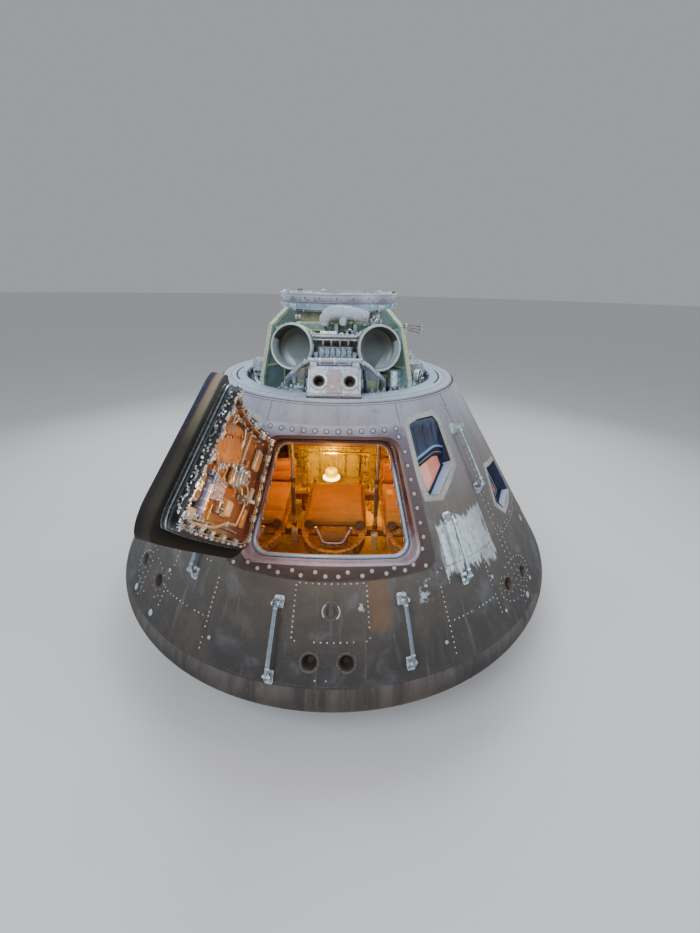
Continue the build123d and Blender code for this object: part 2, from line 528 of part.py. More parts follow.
# ------------------------------------------------------------------ write
for name, sol in out.items():
    sol = [s for s in sol if s.volume > 1.0]
    shape = sol[0] if len(sol) == 1 else Compound(children=sol)
    shape.label = name
    export_step(shape, f"parts/{name}.step")
print(len(out), "nodes")
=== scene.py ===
import bpy, bmesh, random
import numpy as np
from math import sin, cos, tan, radians, degrees, sqrt, atan2, pi
from mathutils import Matrix, Vector


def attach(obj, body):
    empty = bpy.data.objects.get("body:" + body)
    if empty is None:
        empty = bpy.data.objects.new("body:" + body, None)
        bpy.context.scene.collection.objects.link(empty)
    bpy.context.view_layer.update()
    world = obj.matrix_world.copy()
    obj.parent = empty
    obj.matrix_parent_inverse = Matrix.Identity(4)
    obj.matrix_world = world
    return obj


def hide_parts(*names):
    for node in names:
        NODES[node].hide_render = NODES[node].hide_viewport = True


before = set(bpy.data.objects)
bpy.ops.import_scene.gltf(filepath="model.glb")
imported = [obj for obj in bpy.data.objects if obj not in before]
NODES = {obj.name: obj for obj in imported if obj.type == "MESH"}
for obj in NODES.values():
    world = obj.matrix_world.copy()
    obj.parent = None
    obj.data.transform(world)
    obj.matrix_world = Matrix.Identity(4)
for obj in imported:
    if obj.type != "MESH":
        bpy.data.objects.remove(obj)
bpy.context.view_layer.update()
rnd = random.Random(7)

# ---------------------------------------------------------------- the shell, in metres
APEX, T33, C33, S33 = 3.6241, tan(radians(33)), cos(radians(33)), sin(radians(33))
WALL = 0.150
SKIN_TOP, SEAM_Z = 2.114, 0.6608
DECK = 2.075
HINGE_P = Vector((-0.53341, -1.23263, 1.61852))
HINGE_D = Vector((0.18657, 0.50761, 0.84114)).normalized()
OPEN = radians(-94.0)
HATCH_M = Matrix.Translation(HINGE_P) @ Matrix.Rotation(OPEN, 4, HINGE_D) @ Matrix.Translation(-HINGE_P)
HO = Vector((0.0, -(APEX - 1.6) * T33, 1.6))      # flat plane of the hatch outlines
HX, HS, HN = Vector((1, 0, 0)), Vector((0, S33, C33)), Vector((0, -C33, S33))
HOLE = dict(sb=-.400, hb=.610, st=.418, ht=.433, bow=.015, rc=.105)
FRAME = dict(sb=-.342, hb=.512, st=.388, ht=.368, bow=.012, rc=.085)


def cone(az, z, off=0.0):
    """point on the shell at azimuth az (degrees, 0 at the hatch, + to +X), height z, off outward"""
    t = radians(az)
    r = (APEX - z) * T33
    return Vector((r * sin(t) + sin(t) * C33 * off, -r * cos(t) - cos(t) * C33 * off, z + S33 * off))


def cframe(az, z, off=0.0, turn=0.0):
    """matrix there: x to the right, y up the slope, z outward"""
    t = radians(az)
    x = Vector((cos(t), sin(t), 0))
    n = Vector((sin(t) * C33, -cos(t) * C33, S33))
    y = n.cross(x)
    m = Matrix((x, y, n)).transposed().to_4x4()
    m.translation = cone(az, z, off)
    return m @ Matrix.Rotation(radians(turn), 4, 'Z')


def axes(o, z, x=None):
    """matrix at o with its z axis along z"""
    z = Vector(z).normalized()
    x = Vector(x) if x is not None else (Vector((1, 0, 0)) if abs(z.x) < .8 else Vector((0, 1, 0)))
    x = (x - z * x.dot(z)).normalized()
    m = Matrix((x, z.cross(x), z)).transposed().to_4x4()
    m.translation = Vector(o)
    return m


def T(x=0, y=0, z=0):
    return Matrix.Translation((x, y, z))


def R(deg, axis):
    return Matrix.Rotation(radians(deg), 4, axis)


def sag(x, s):
    """how far the shell lies below the hatch plane at (x, s)"""
    o = HO + HX * x + HS * s
    lo, hi = 0.0, 0.4
    for _ in range(34):
        m = (lo + hi) / 2
        q = o - HN * m
        if sqrt(q.x ** 2 + q.y ** 2) > (APEX - q.z) * T33:
            lo = m
        else:
            hi = m
    return lo


def hp(x, s, depth=0.0):
    """point at depth below the shell on the hatch, hatch shut"""
    return HO + HX * x + HS * s - HN * (sag(x, s) + depth)


def hframe(x, s, depth=0.0, turn=0.0):
    """matrix on the hatch, shut: x right, y up the slope, z towards the cabin"""
    m = Matrix((HX, -HS, -HN)).transposed().to_4x4()
    m.translation = hp(x, s, depth)
    return m @ R(turn, 'Z')


def trap(sb, hb, st, ht, bow, rc, inset=0.0, n=10, side=8):
    """the hatch outline as a closed loop of (x, s), corners round"""
    k = (hb - ht) / (st - sb)
    b, t = sb + inset, st - inset
    wb, wt = hb - k * inset - inset * 1.02, ht + k * inset - inset * 1.02
    r = max(rc - inset * .5, .012)
    def edge_y(x, y0, w):
        return y0 - bow * (1 - (x / w) ** 2)
    pts = []
    corners = [((-wb, b), 1), ((-wt, t), 1), ((wt, t), 1), ((wb, b), 1)]
    P = [Vector((-wb, b)), Vector((-wt, t)), Vector((wt, t)), Vector((wb, b))]
    out = []
    for i in range(4):
        a, c, e = P[i - 1], P[i], P[(i + 1) % 4]
        d0, d1 = (a - c).normalized(), (e - c).normalized()
        half = d0.angle(d1) / 2
        cut = r / tan(half)
        q0, q1 = c + d0 * cut, c + d1 * cut
        cen = c + (d0 + d1).normalized() * (r / sin(half))
        a0 = atan2(q0.y - cen.y, q0.x - cen.x)
        a1 = atan2(q1.y - cen.y, q1.x - cen.x)
        while a1 > a0:
            a1 -= 2 * pi
        for j in range(n + 1):
            f = a0 + (a1 - a0) * j / n
            out.append((cen.x + r * cos(f), cen.y + r * sin(f)))
        nxt = P[(i + 1) % 4]
        d2 = (P[(i + 2) % 4] - nxt).normalized()
        h2 = (c - nxt).normalized().angle(d2) / 2
        q2 = nxt + (c - nxt).normalized() * (r / tan(h2))
        for j in range(1, side):
            q = q1 + (q2 - q1) * j / side
            out.append((q.x, q.y))
    res = []
    for x, y in out:
        if abs(y - b) < .2 * (t - b):
            y -= bow * max(0, 1 - (x / wb) ** 2)
        elif abs(y - t) < .2 * (t - b):
            y -= bow * max(0, 1 - (x / wt) ** 2)
        res.append((x, y))
    return res


# ---------------------------------------------------------------- mesh building
def _box_faces():
    idx = {}
    k = 0
    for i in (0, 1):
        for j in (0, 1):
            for l in (0, 1):
                for a in range(3):
                    idx[(i, j, l, a)] = k
                    k += 1
    f = []
    for i in (0, 1):
        f.append([idx[(i, j, l, 0)] for j, l in ((0, 0), (1, 0), (1, 1), (0, 1))])
        f.append([idx[(j, i, l, 1)] for j, l in ((0, 0), (1, 0), (1, 1), (0, 1))])
        f.append([idx[(j, l, i, 2)] for j, l in ((0, 0), (1, 0), (1, 1), (0, 1))])
    for j in (0, 1):
        for l in (0, 1):
            f.append([idx[(0, j, l, 1)], idx[(1, j, l, 1)], idx[(1, j, l, 2)], idx[(0, j, l, 2)]])
            f.append([idx[(j, 0, l, 0)], idx[(j, 1, l, 0)], idx[(j, 1, l, 2)], idx[(j, 0, l, 2)]])
            f.append([idx[(j, l, 0, 0)], idx[(j, l, 1, 0)], idx[(j, l, 1, 1)], idx[(j, l, 0, 1)]])
    for i in (0, 1):
        for j in (0, 1):
            for l in (0, 1):
                f.append([idx[(i, j, l, 0)], idx[(i, j, l, 1)], idx[(i, j, l, 2)]])
    return f


BOX_F = _box_faces()


class G:
    """one piece in the making: primitives are added, then done() makes the object"""

    def __init__(self, name, *mats):
        self.name, self.mats = name, list(mats)
        self.V, self.F, self.I, self.n = [], [], [], 0

    def put(self, verts, faces, m=0, M=None):
        v = np.array([tuple(q) for q in verts], float) if not isinstance(verts, np.ndarray) else verts
        if M is not None:
            A = np.array(M)
            v = v @ A[:3, :3].T + A[:3, 3]
        self.V.append(v)
        n = self.n
        self.F += [[i + n for i in f] for f in faces]
        self.I += [m] * len(faces)
        self.n += len(v)

    def box(self, M, sx, sy, sz, b=.002, m=0, tx=1.0, ty=1.0, at=(0, 0, 0)):
        """chamfered box centred on M; tx, ty scale its top"""
        b = min(b, .42 * min(sx, sy, sz))
        h = (sx / 2, sy / 2, sz / 2)
        v = []
        for i in (-1, 1):
            for j in (-1, 1):
                for l in (-1, 1):
                    for a in range(3):
                        q = [i * (h[0] - (0 if a == 0 else b)), j * (h[1] - (0 if a == 1 else b)), l * (h[2] - (0 if a == 2 else b))]
                        if l > 0:
                            q[0] *= tx
                            q[1] *= ty
                        v.append((q[0] + at[0], q[1] + at[1], q[2] + at[2]))
        self.put(v, BOX_F, m, M)

    def lathe(self, M, prof, n=20, m=0, a0=0.0, a1=360.0):
        """turn a (r, z) outline about the z axis of M"""
        full = abs(a1 - a0) > 359.9
        k = n if full else n + 1
        v, ring = [], []
        for r, z in prof:
            if r < 1e-6:
                ring.append([len(v)])
                v.append((0, 0, z))
            else:
                ring.append(list(range(len(v), len(v) + k)))
                for i in range(k):
                    t = radians(a0 + (a1 - a0) * i / n)
                    v.append((r * cos(t), r * sin(t), z))
        f = []
        for a, b in zip(ring, ring[1:]):
            for i in range(n):
                j = (i + 1) % k if full else i + 1
                if len(a) == 1 and len(b) == 1:
                    continue
                if len(a) == 1:
                    f.append([a[0], b[j], b[i]])
                elif len(b) == 1:
                    f.append([a[i], a[j], b[0]])
                else:
                    f.append([a[i], a[j], b[j], b[i]])
        self.put(v, f, m, M)

    def cyl(self, M, r, h, n=20, b=.0015, m=0, z0=0.0, r2=None):
        """chamfered cylinder from z0 to z0 + h"""
        r2 = r if r2 is None else r2
        b = min(b, .3 * r, .3 * h)
        self.lathe(M, [(0, z0), (r - b, z0), (r, z0 + b), (r2, z0 + h - b), (r2 - b, z0 + h), (0, z0 + h)], n, m)

    def ring(self, M, ro, ri, h, n=28, b=.0015, m=0, z0=0.0):
        self.lathe(M, [(ri, z0 + b), (ri + b, z0), (ro - b, z0), (ro, z0 + b), (ro, z0 + h - b), (ro - b, z0 + h), (ri + b, z0 + h), (ri, z0 + h - b), (ri, z0 + b)], n, m)

    def dome(self, M, r, h, n=8, m=0):
        self.lathe(M, [(0, -.001), (r, -.001), (r * .93, h * .5), (r * .6, h * .88), (0, h)], n, m)

    def slab(self, rows, d, m=0):
        """closed sheet through rows of points, thickened by the vector d"""
        d = Vector(d)
        nr, nc = len(rows), len(rows[0])
        v = [Vector(p) for row in rows for p in row]
        v += [p + d for p in v]
        N, f = nr * nc, []
        for i in range(nr - 1):
            for j in range(nc - 1):
                a = i * nc + j
                f.append([a, a + 1, a + 1 + nc, a + nc])
                f.append([N + a, N + a + nc, N + a + 1 + nc, N + a + 1])
        E = list(range(nc)) + [i * nc + nc - 1 for i in range(1, nr)] + [(nr - 1) * nc + j for j in range(nc - 2, -1, -1)] + [i * nc for i in range(nr - 2, 0, -1)]
        for q, a in enumerate(E):
            b = E[(q + 1) % len(E)]
            f.append([a, N + a, N + b, b])
        self.put(v, f, m)

    def tray(self, M, L, W, H, t=.004, m=0, r=.0):
        """open box: floor at z 0, walls up to H"""
        for sx, sy, w, l in ((0, 1, L, t), (0, -1, L, t), (1, 0, t, W - 2 * t), (-1, 0, t, W - 2 * t)):
            self.box(M, w, l, H, .001, m, at=(sx * (L - t) / 2, sy * (W - t) / 2, H / 2))
        self.box(M, L - 2 * t, W - 2 * t, t, .0005, m, at=(0, 0, t / 2))

    def bolt(self, M, r=.006, h=.005, m=0, washer=True, n=6):
        """hex head on a washer"""
        if washer:
            self.lathe(M, [(0, 0), (r * 1.55, 0), (r * 1.55, h * .2), (r * 1.4, h * .3), (0, h * .3)], 10, m)
        self.lathe(M, [(r, h * .25), (r, h * .85), (r * .82, h), (0, h)], n, m)

    def loop(self, pts, prof, m=0, closed=True, up=None):
        """sweep a closed (a, b) outline along points; b lies along up(i), a across"""
        P = [Vector(p) for p in pts]
        L = len(P)
        rows = []
        for i in range(L):
            d = ((P[(i + 1) % L] if (closed or i < L - 1) else P[i]) - (P[i - 1] if (closed or i) else P[i])).normalized()
            u = Vector(up(i)) if up else Vector((0, 0, 1))
            u = (u - d * u.dot(d)).normalized()
            a = d.cross(u)
            rows.append([P[i] + a * x + u * y for x, y in prof])
        if closed:
            rows.append(rows[0])
        self.grid(rows, m, closed=True)
        if not closed:
            k = len(prof)
            self.put([tuple(p) for p in rows[0]], [list(range(k))], m)
            self.put([tuple(p) for p in rows[-1]], [list(range(k))], m)

    def torus(self, M, R_, r, n=32, k=8, m=0, a0=0.0, a1=360.0):
        prof = [(R_ + r * cos(2 * pi * i / k), r * sin(2 * pi * i / k)) for i in range(k + 1)]
        self.lathe(M, prof, n, m, a0, a1)

    def pipe(self, pts, r, n=8, m=0, smooth=0, cap=True, M=None, flat=1.0, closed=False):
        """tube along points; smooth adds points on a soft curve; flat squeezes it"""
        P = [Vector(p) for p in pts]
        if smooth:
            Q = []
            L = len(P)
            rng = range(L) if closed else range(L - 1)
            for i in rng:
                p0 = P[i - 1] if (i or closed) else P[0]
                p1, p2 = P[i], P[(i + 1) % L]
                p3 = P[(i + 2) % L] if (i + 2 < L or closed) else p2
                for j in range(smooth):
                    t = j / smooth
                    Q.append(.5 * ((2 * p1) + (p2 - p0) * t + (2 * p0 - 5 * p1 + 4 * p2 - p3) * t * t + (3 * p1 - p0 - 3 * p2 + p3) * t ** 3))
            if not closed:
                Q.append(P[-1])
            P = Q
        L = len(P)
        tang = []
        for i in range(L):
            if closed:
                d = P[(i + 1) % L] - P[i - 1]
            else:
                d = P[min(i + 1, L - 1)] - P[max(i - 1, 0)]
            tang.append(d.normalized())
        u = tang[0].orthogonal().normalized()
        v = []
        rr = r if hasattr(r, "__len__") else [r] * L
        if hasattr(r, "__len__") and len(r) != L:
            rr = [r[0] + (r[-1] - r[0]) * i / (L - 1) for i in range(L)]
        for i in range(L):
            t = tang[i]
            u = (u - t * u.dot(t))
            u = u.normalized() if u.length > 1e-9 else t.orthogonal().normalized()
            w = t.cross(u)
            for j in range(n):
                a = 2 * pi * j / n
                v.append(P[i] + u * cos(a) * rr[i] + w * sin(a) * rr[i] * flat)
        f = []
        for i in range(L if closed else L - 1):
            a, b = i * n, ((i + 1) % L) * n
            for j in range(n):
                f.append([a + j, a + (j + 1) % n, b + (j + 1) % n, b + j])
        if cap and not closed:
            f.append(list(range(n))[::-1])
            f.append([(L - 1) * n + j for j in range(n)])
        self.put(v, f, m, M)

    def plate(self, M, pts, z0, z1, b=.001, m=0):
        """outline extruded from z0 to z1 with a chamfered top"""
        n = len(pts)
        P = [Vector((p[0], p[1])) for p in pts]
        area = sum(P[i].x * P[(i + 1) % n].y - P[(i + 1) % n].x * P[i].y for i in range(n))
        if area < 0:
            P = P[::-1]
        ins = []
        for i in range(n):
            a, c, e = P[i - 1], P[i], P[(i + 1) % n]
            d0, d1 = (c - a).normalized(), (e - c).normalized()
            nn = Vector((-d0.y, d0.x)) + Vector((-d1.y, d1.x))
            L = nn.length
            nn = nn / L if L > 1e-6 else Vector((-d0.y, d0.x))
            k = max(nn.dot(Vector((-d0.y, d0.x))), .35)
            ins.append(c + nn * (b / k))
        v = [(p.x, p.y, z0) for p in P] + [(p.x, p.y, z1 - b) for p in P] + [(p.x, p.y, z1) for p in ins]
        f = [list(range(n))[::-1], [2 * n + i for i in range(n)]]
        for i in range(n):
            j = (i + 1) % n
            f.append([i, j, n + j, n + i])
            f.append([n + i, n + j, 2 * n + j, 2 * n + i])
        self.put(v, f, m, M)

    def grid(self, rows, m=0, closed=False, M=None, flip=False):
        """surface through equal rows of points"""
        k = len(rows[0])
        v = [p for row in rows for p in row]
        f = []
        for i in range(len(rows) - 1):
            for j in range(k if closed else k - 1):
                a, b = i * k + j, i * k + (j + 1) % k
                q = [a, b, b + k, a + k]
                f.append(q[::-1] if flip else q)
        self.put(v, f, m, M)

    def screw(self, M, r, h=.003, m=0, n=6):
        self.lathe(M, [(r, 0), (r, h * .8), (r * .85, h), (0, h)], n, m)

    def done(self, body="capsule", replaces=(), angle=38, hatch=False, recalc=True, smooth=True):
        if not self.V:
            raise ValueError(self.name)
        v = np.concatenate(self.V)
        me = bpy.data.meshes.new(self.name)
        me.from_pydata([tuple(map(float, p)) for p in v], [], self.F)
        for i, mt in enumerate(self.mats):
            me.materials.append(mt)
        me.polygons.foreach_set("material_index", self.I)
        if recalc:
            bm = bmesh.new()
            bm.from_mesh(me)
            bmesh.ops.recalc_face_normals(bm, faces=bm.faces)
            bm.to_mesh(me)
            bm.free()
        if hatch:
            me.transform(HATCH_M)
        if smooth:
            me.polygons.foreach_set("use_smooth", [True] * len(me.polygons))
            me.set_sharp_from_angle(angle=radians(angle))
        me.update()
        o = bpy.data.objects.new(self.name, me)
        bpy.context.scene.collection.objects.link(o)
        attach(o, body)
        if replaces:
            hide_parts(*replaces)
        return o


# ---------------------------------------------------------------- material building
class Mat:
    def __init__(self, name):
        self.m = bpy.data.materials.new(name)
        self.m.use_nodes = True
        self.t = self.m.node_tree
        self.t.nodes.clear()
        self.out = self.t.nodes.new("ShaderNodeOutputMaterial")
        self.b = self.t.nodes.new("ShaderNodeBsdfPrincipled")
        self.t.links.new(self.b.outputs[0], self.out.inputs[0])
        self._p = None

    def n(self, kind, **kw):
        q = self.t.nodes.new(kind)
        for k, v in kw.items():
            setattr(q, k, v)
        return q

    def to(self, v, sock):
        if isinstance(v, bpy.types.NodeSocket):
            self.t.links.new(v, sock)
        elif isinstance(v, (tuple, list, Vector)) and len(v) == 3 and sock.type == 'RGBA':
            sock.default_value = (*v, 1.0)
        else:
            sock.default_value = v

    def set(self, **kw):
        for k, v in kw.items():
            self.to(v, self.b.inputs[k.replace("_", " ")])
        return self

    @property
    def p(self):
        if self._p is None:
            self._p = self.n("ShaderNodeTexCoord").outputs["Object"]
        return self._p

    def math(self, op, a, b=None, c=None, clamp=False):
        q = self.n("ShaderNodeMath", operation=op, use_clamp=clamp)
        for i, v in enumerate((a, b, c)):
            if v is not None:
                self.to(v, q.inputs[i])
        return q.outputs[0]

    def mul(self, a, b): return self.math("MULTIPLY", a, b)
    def add(self, a, b): return self.math("ADD", a, b)
    def sub(self, a, b): return self.math("SUBTRACT", a, b)

    def vm(self, op, a, b=None):
        q = self.n("ShaderNodeVectorMath", operation=op)
        self.to(a, q.inputs[0])
        if b is not None:
            self.to(b, q.inputs[1] if op != "SCALE" else q.inputs["Scale"])
        return q.outputs[0]

    def xyz(self, v):
        q = self.n("ShaderNodeSeparateXYZ")
        self.to(v, q.inputs[0])
        return q.outputs[0], q.outputs[1], q.outputs[2]

    def vec(self, x, y, z):
        q = self.n("ShaderNodeCombineXYZ")
        for i, v in enumerate((x, y, z)):
            self.to(v, q.inputs[i])
        return q.outputs[0]

    def noise(self, vec, scale, detail=4.0, rough=.55, dist=0.0):
        q = self.n("ShaderNodeTexNoise")
        self.to(vec, q.inputs["Vector"])
        q.inputs["Scale"].default_value = scale
        q.inputs["Detail"].default_value = detail
        q.inputs["Roughness"].default_value = rough
        q.inputs["Distortion"].default_value = dist
        return q.outputs["Fac"]

    def voro(self, vec, scale, feature="F1", rand=1.0, out="Distance"):
        q = self.n("ShaderNodeTexVoronoi", feature=feature)
        self.to(vec, q.inputs["Vector"])
        q.inputs["Scale"].default_value = scale
        q.inputs["Randomness"].default_value = rand
        return q.outputs[out]

    def wave(self, vec, scale, dist=0.0, direction="X", profile="SIN", detail=2.0):
        q = self.n("ShaderNodeTexWave", bands_direction=direction, wave_profile=profile)
        self.to(vec, q.inputs["Vector"])
        q.inputs["Scale"].default_value = scale
        q.inputs["Distortion"].default_value = dist
        q.inputs["Detail"].default_value = detail
        return q.outputs["Fac"]

    def ramp(self, fac, stops, interp="LINEAR"):
        q = self.n("ShaderNodeValToRGB")
        q.color_ramp.interpolation = interp
        e = q.color_ramp.elements
        while len(e) < len(stops):
            e.new(.5)
        for i, (pos, col) in enumerate(stops):
            e[i].position = pos
            e[i].color = (*col, 1) if hasattr(col, "__len__") else (col, col, col, 1)
        self.to(fac, q.inputs[0])
        return q.outputs[0]

    def mix(self, fac, a, b, mode="MIX"):
        q = self.n("ShaderNodeMix", data_type="RGBA", blend_type=mode, clamp_factor=True)
        self.to(fac, q.inputs[0])
        self.to(a, q.inputs[6])
        self.to(b, q.inputs[7])
        return q.outputs[2]

    def mixf(self, fac, a, b):
        q = self.n("ShaderNodeMix", data_type="FLOAT", clamp_factor=True)
        self.to(fac, q.inputs[0])
        self.to(a, q.inputs[2])
        self.to(b, q.inputs[3])
        return q.outputs[0]

    def rng(self, x, a, b, c=0.0, d=1.0, smooth=True):
        q = self.n("ShaderNodeMapRange", interpolation_type="SMOOTHSTEP" if smooth else "LINEAR")
        for i, v in enumerate((x, a, b, c, d)):
            self.to(v, q.inputs[i])
        return q.outputs[0]

    def band(self, x, lo, hi, soft):
        """1 between lo and hi, 0 outside"""
        return self.mul(self.rng(x, lo - soft, lo + soft), self.rng(x, hi - soft, hi + soft, 1.0, 0.0))

    def bump(self, h, strength=.5, distance=.002, normal=None):
        q = self.n("ShaderNodeBump")
        q.inputs["Strength"].default_value = strength
        q.inputs["Distance"].default_value = distance
        self.to(h, q.inputs["Height"])
        if normal is not None:
            self.to(normal, q.inputs["Normal"])
        return q.outputs[0]

    def shell(self, hatch=False):
        """coordinates on the conical shell; the hatch's are those of the shut hatch"""
        p = self.p
        if hatch:
            q = self.n("ShaderNodeVectorRotate", rotation_type="AXIS_ANGLE")
            self.to(p, q.inputs["Vector"])
            q.inputs["Center"].default_value = HINGE_P
            q.inputs["Axis"].default_value = HINGE_D
            q.inputs["Angle"].default_value = -OPEN
            p = q.outputs[0]
        x, y, z = self.xyz(p)
        r = self.math("SQRT", self.add(self.mul(x, x), self.mul(y, y)))
        depth = self.mul(self.sub(self.mul(self.sub(APEX, z), T33), r), C33)
        dx, dy = self.math("DIVIDE", x, r), self.math("DIVIDE", y, r)
        az = self.mul(self.math("ARCTAN2", x, self.mul(y, -1.0)), 180 / pi)
        return dict(p=p, x=x, y=y, z=z, r=r, depth=depth, dx=dx, dy=dy, az=az)

    def edge(self, size=.004):
        """wear mask: 1 on sharp outer edges"""
        g = self.n("ShaderNodeNewGeometry").outputs["Pointiness"]
        return self.rng(g, .52, .60)


def worn_metal(name, col, rough=.38, metal=.9, dark=.5, tint=None, scale=1.0, edge=(.85, .86, .88), brushed=0.0, paint=False, wear=.5, dirt=(.10, .085, .07), dirtamt=.4, bump=.25):
    """painted or bare metal: colour drift, grime in large patches, bright worn edges, fine scratches"""
    t = Mat(name)
    big = t.noise(t.p, 3.2 * scale, 5, .6)
    mid = t.noise(t.p, 17 * scale, 5, .62)
    fine = t.noise(t.p, 120 * scale, 3, .6)
    c2 = tint or tuple(c * dark for c in col)
    c = t.mix(t.rng(big, .35, .68), col, c2)
    c = t.mix(t.mul(t.rng(mid, .52, .72), dirtamt), c, dirt)
    c = t.mix(t.mul(t.rng(fine, .55, .75), .25), c, tuple(x * .55 for x in col))
    e = t.mul(t.edge(), t.rng(mid, .38, .6))
    c = t.mix(t.mul(e, wear), c, edge)
    r = t.add(t.mul(t.sub(mid, .5), .35), rough)
    r = t.math("ADD", r, t.mul(t.rng(big, .45, .7), .1), clamp=True)
    h = t.add(t.mul(mid, .6), t.mul(fine, .4))
    if brushed:
        st = t.noise(t.vm("MULTIPLY", t.p, (4, 4, 160)), 6, 3, .5)
        h = t.add(h, t.mul(st, brushed))
    t.set(Base_Color=c, Roughness=r, Normal=t.bump(h, bump, .0015))
    if metal and not paint:
        t.set(Metallic=t.math("SUBTRACT", metal, t.mul(t.rng(mid, .55, .75), .45), clamp=True))
    elif paint:
        t.set(Metallic=t.mul(e, .8))
    return t.m


def skin_material(name):
    """scorched ablator over the cone; the cut walls and the cabin side by depth below the surface"""
    t = Mat(name)
    s = t.shell()
    streak = t.vec(t.mul(s["dx"], 1.7), t.mul(s["dy"], 1.7), t.mul(s["z"], .11))
    big = t.noise(s["p"], 1.35, 5, .6, .4)
    blotch = t.noise(s["p"], 3.4, 6, .62, .3)
    st = t.noise(streak, 7.0, 7, .62, .15)
    st2 = t.noise(streak, 26.0, 5, .6)
    mot = t.noise(s["p"], 19, 6, .65)
    grain = t.noise(s["p"], 95, 4, .6)
    pits = t.voro(s["p"], 60)
    # colour by height: darker low down, from char; the bluish tint of the pale top is painted cool light
    hz = t.rng(t.add(s["z"], t.mul(t.sub(big, .5), .55)), .62, 2.12, smooth=False)
    c = t.ramp(hz, [(0, (.030, .028, .029)), (.13, (.046, .043, .041)), (.34, (.086, .080, .070)), (.56, (.165, .146, .134)),
                    (.78, (.255, .236, .242)), (1, (.370, .400, .485))])
    c = t.mix(t.mul(t.rng(blotch, .50, .68), t.rng(s["z"], .8, 1.9, .30, .42)), c, t.mix(hz, (.130, .098, .066), (.300, .240, .200)))
    c = t.mix(t.mul(t.rng(blotch, .34, .48, 1, 0), .40), c, t.mix(hz, (.120, .122, .145), (.335, .335, .405)))
    c = t.mix(t.mul(t.rng(st, .50, .66), t.rng(s["z"], 1.2, .75, .18, .62)), c, (.060, .052, .050))
    c = t.mix(t.mul(t.rng(st2, .56, .74), t.rng(s["z"], 1.3, .8, .18, .30)), c, t.mix(hz, (.190, .180, .165), (.470, .455, .450)))
    c = t.mix(t.mul(t.rng(mot, .55, .72), .35), c, (.120, .100, .088))
    c = t.mix(t.mul(t.rng(grain, .52, .74), .35), c, t.mix(hz, (.060, .056, .050), (.30, .29, .31)))
    c = t.mix(t.mul(t.rng(pits, .10, .03), t.rng(mot, .45, .6)), c, (.035, .03, .03))
    # silver tape left on the right of the hatch, torn along the slope
    az, z = s["az"], s["z"]
    torn = t.add(t.mul(t.sub(t.noise(t.vec(t.mul(az, .30), t.mul(z, 1.6), 0.0), 3.0, 6, .68), .5), 1.0), 0.0)
    left = t.rng(t.add(az, t.mul(torn, 7.0)), 27.6, 28.6)
    right = t.rng(t.add(az, t.mul(torn, 8.0)), 45.4, 46.0, 1, 0)
    top = t.rng(t.add(z, t.mul(torn, .20)), 1.405, 1.385)
    low = t.rng(t.add(t.add(z, t.mul(torn, .34)), t.mul(t.rng(az, 36, 46), .045)), 1.100, 1.118)
    tape = t.mul(t.mul(left, right), t.mul(top, low))
    holes = t.rng(t.noise(t.vec(t.mul(az, .55), t.mul(z, 2.6), 3.0), 4.2, 5, .7), .60, .63, 1, 0)
    tape = t.mul(tape, holes)
    bits = t.mul(t.mul(t.band(az, 20.0, 24.5, .6), t.band(z, 1.02, 1.13, .01)), t.rng(t.noise(s["p"], 15, 5, .7), .54, .56))
    bits2 = t.mul(t.mul(t.band(az, 4.5, 8.0, .6), t.band(z, .98, 1.10, .02)), t.rng(t.noise(s["p"], 17, 5, .7), .60, .62))
    tape = t.math("MAXIMUM", tape, t.math("MAXIMUM", bits, bits2))
    foil = t.mix(t.rng(t.noise(s["p"], 30, 4, .6), .4, .65), (.58, .66, .68), (.40, .49, .53))
    foil = t.mix(t.mul(t.rng(st2, .5, .66), .5), foil, (.28, .30, .31))
    c = t.mix(tape, c, foil)
    # brown run under the hatch, right of centre
    run = t.mul(t.band(t.add(az, t.mul(t.sub(mot, .5), 3)), 8.6, 13.5, .9), t.band(z, .93, 1.19, .03))
    c = t.mix(t.mul(run, .65), c, (.175, .100, .045))
    # cut edges of the wall
    d = s["depth"]
    side = t.rng(t.math("ABSOLUTE", az), 25.6, 26.4)
    bands = t.wave(t.vec(d, 0.0, 0.0), 26, 1.2, "X")
    brown = t.mix(t.rng(bands, .3, .8), (.150, .062, .036), (.245, .120, .070))
    brown = t.mix(t.mul(t.rng(mot, .45, .65), .5), brown, (.060, .030, .024))
    # painted shade: the windows' cut walls are dark blue
    blue = t.mix(t.rng(mot, .4, .65), (.016, .026, .060), (.034, .050, .105))
    wallc = t.mix(side, brown, blue)
    wallc = t.mix(t.band(d, .0015, .012, .0015), wallc, (.050, .042, .042))
    inner = t.mix(t.rng(blotch, .4, .6), (.46, .44, .37), (.34, .33, .28))
    inner = t.mix(t.mul(t.rng(mot, .55, .7), .4), inner, (.14, .12, .09))
    cut = t.rng(d, .0012, .0030)
    c = t.mix(cut, c, wallc)
    c = t.mix(t.rng(d, .1475, .1490), c, inner)
    ro = t.add(t.mul(t.sub(mot, .5), .5), .60)
    ro = t.add(ro, t.mul(t.rng(s["z"], 1.0, 2.1), -.10))
    ro = t.mixf(tape, ro, .34)
    h = t.add(t.mul(mot, .55), t.add(t.mul(grain, .35), t.mul(st2, .35)))
    h = t.sub(h, t.mul(t.rng(pits, .10, .03), .8))
    h = t.add(h, t.mul(tape, .9))
    cells = t.voro(t.vec(t.mul(az, .0262), t.mul(z, 1.19), 0.0), 95, "DISTANCE_TO_EDGE", .25)
    h = t.sub(h, t.mul(t.rng(cells, .10, .02), .22))
    t.set(Base_Color=c, Roughness=ro, Metallic=t.mul(tape, .55), Normal=t.bump(h, .55, .0028), Specular_IOR_Level=.42)
    return t.m


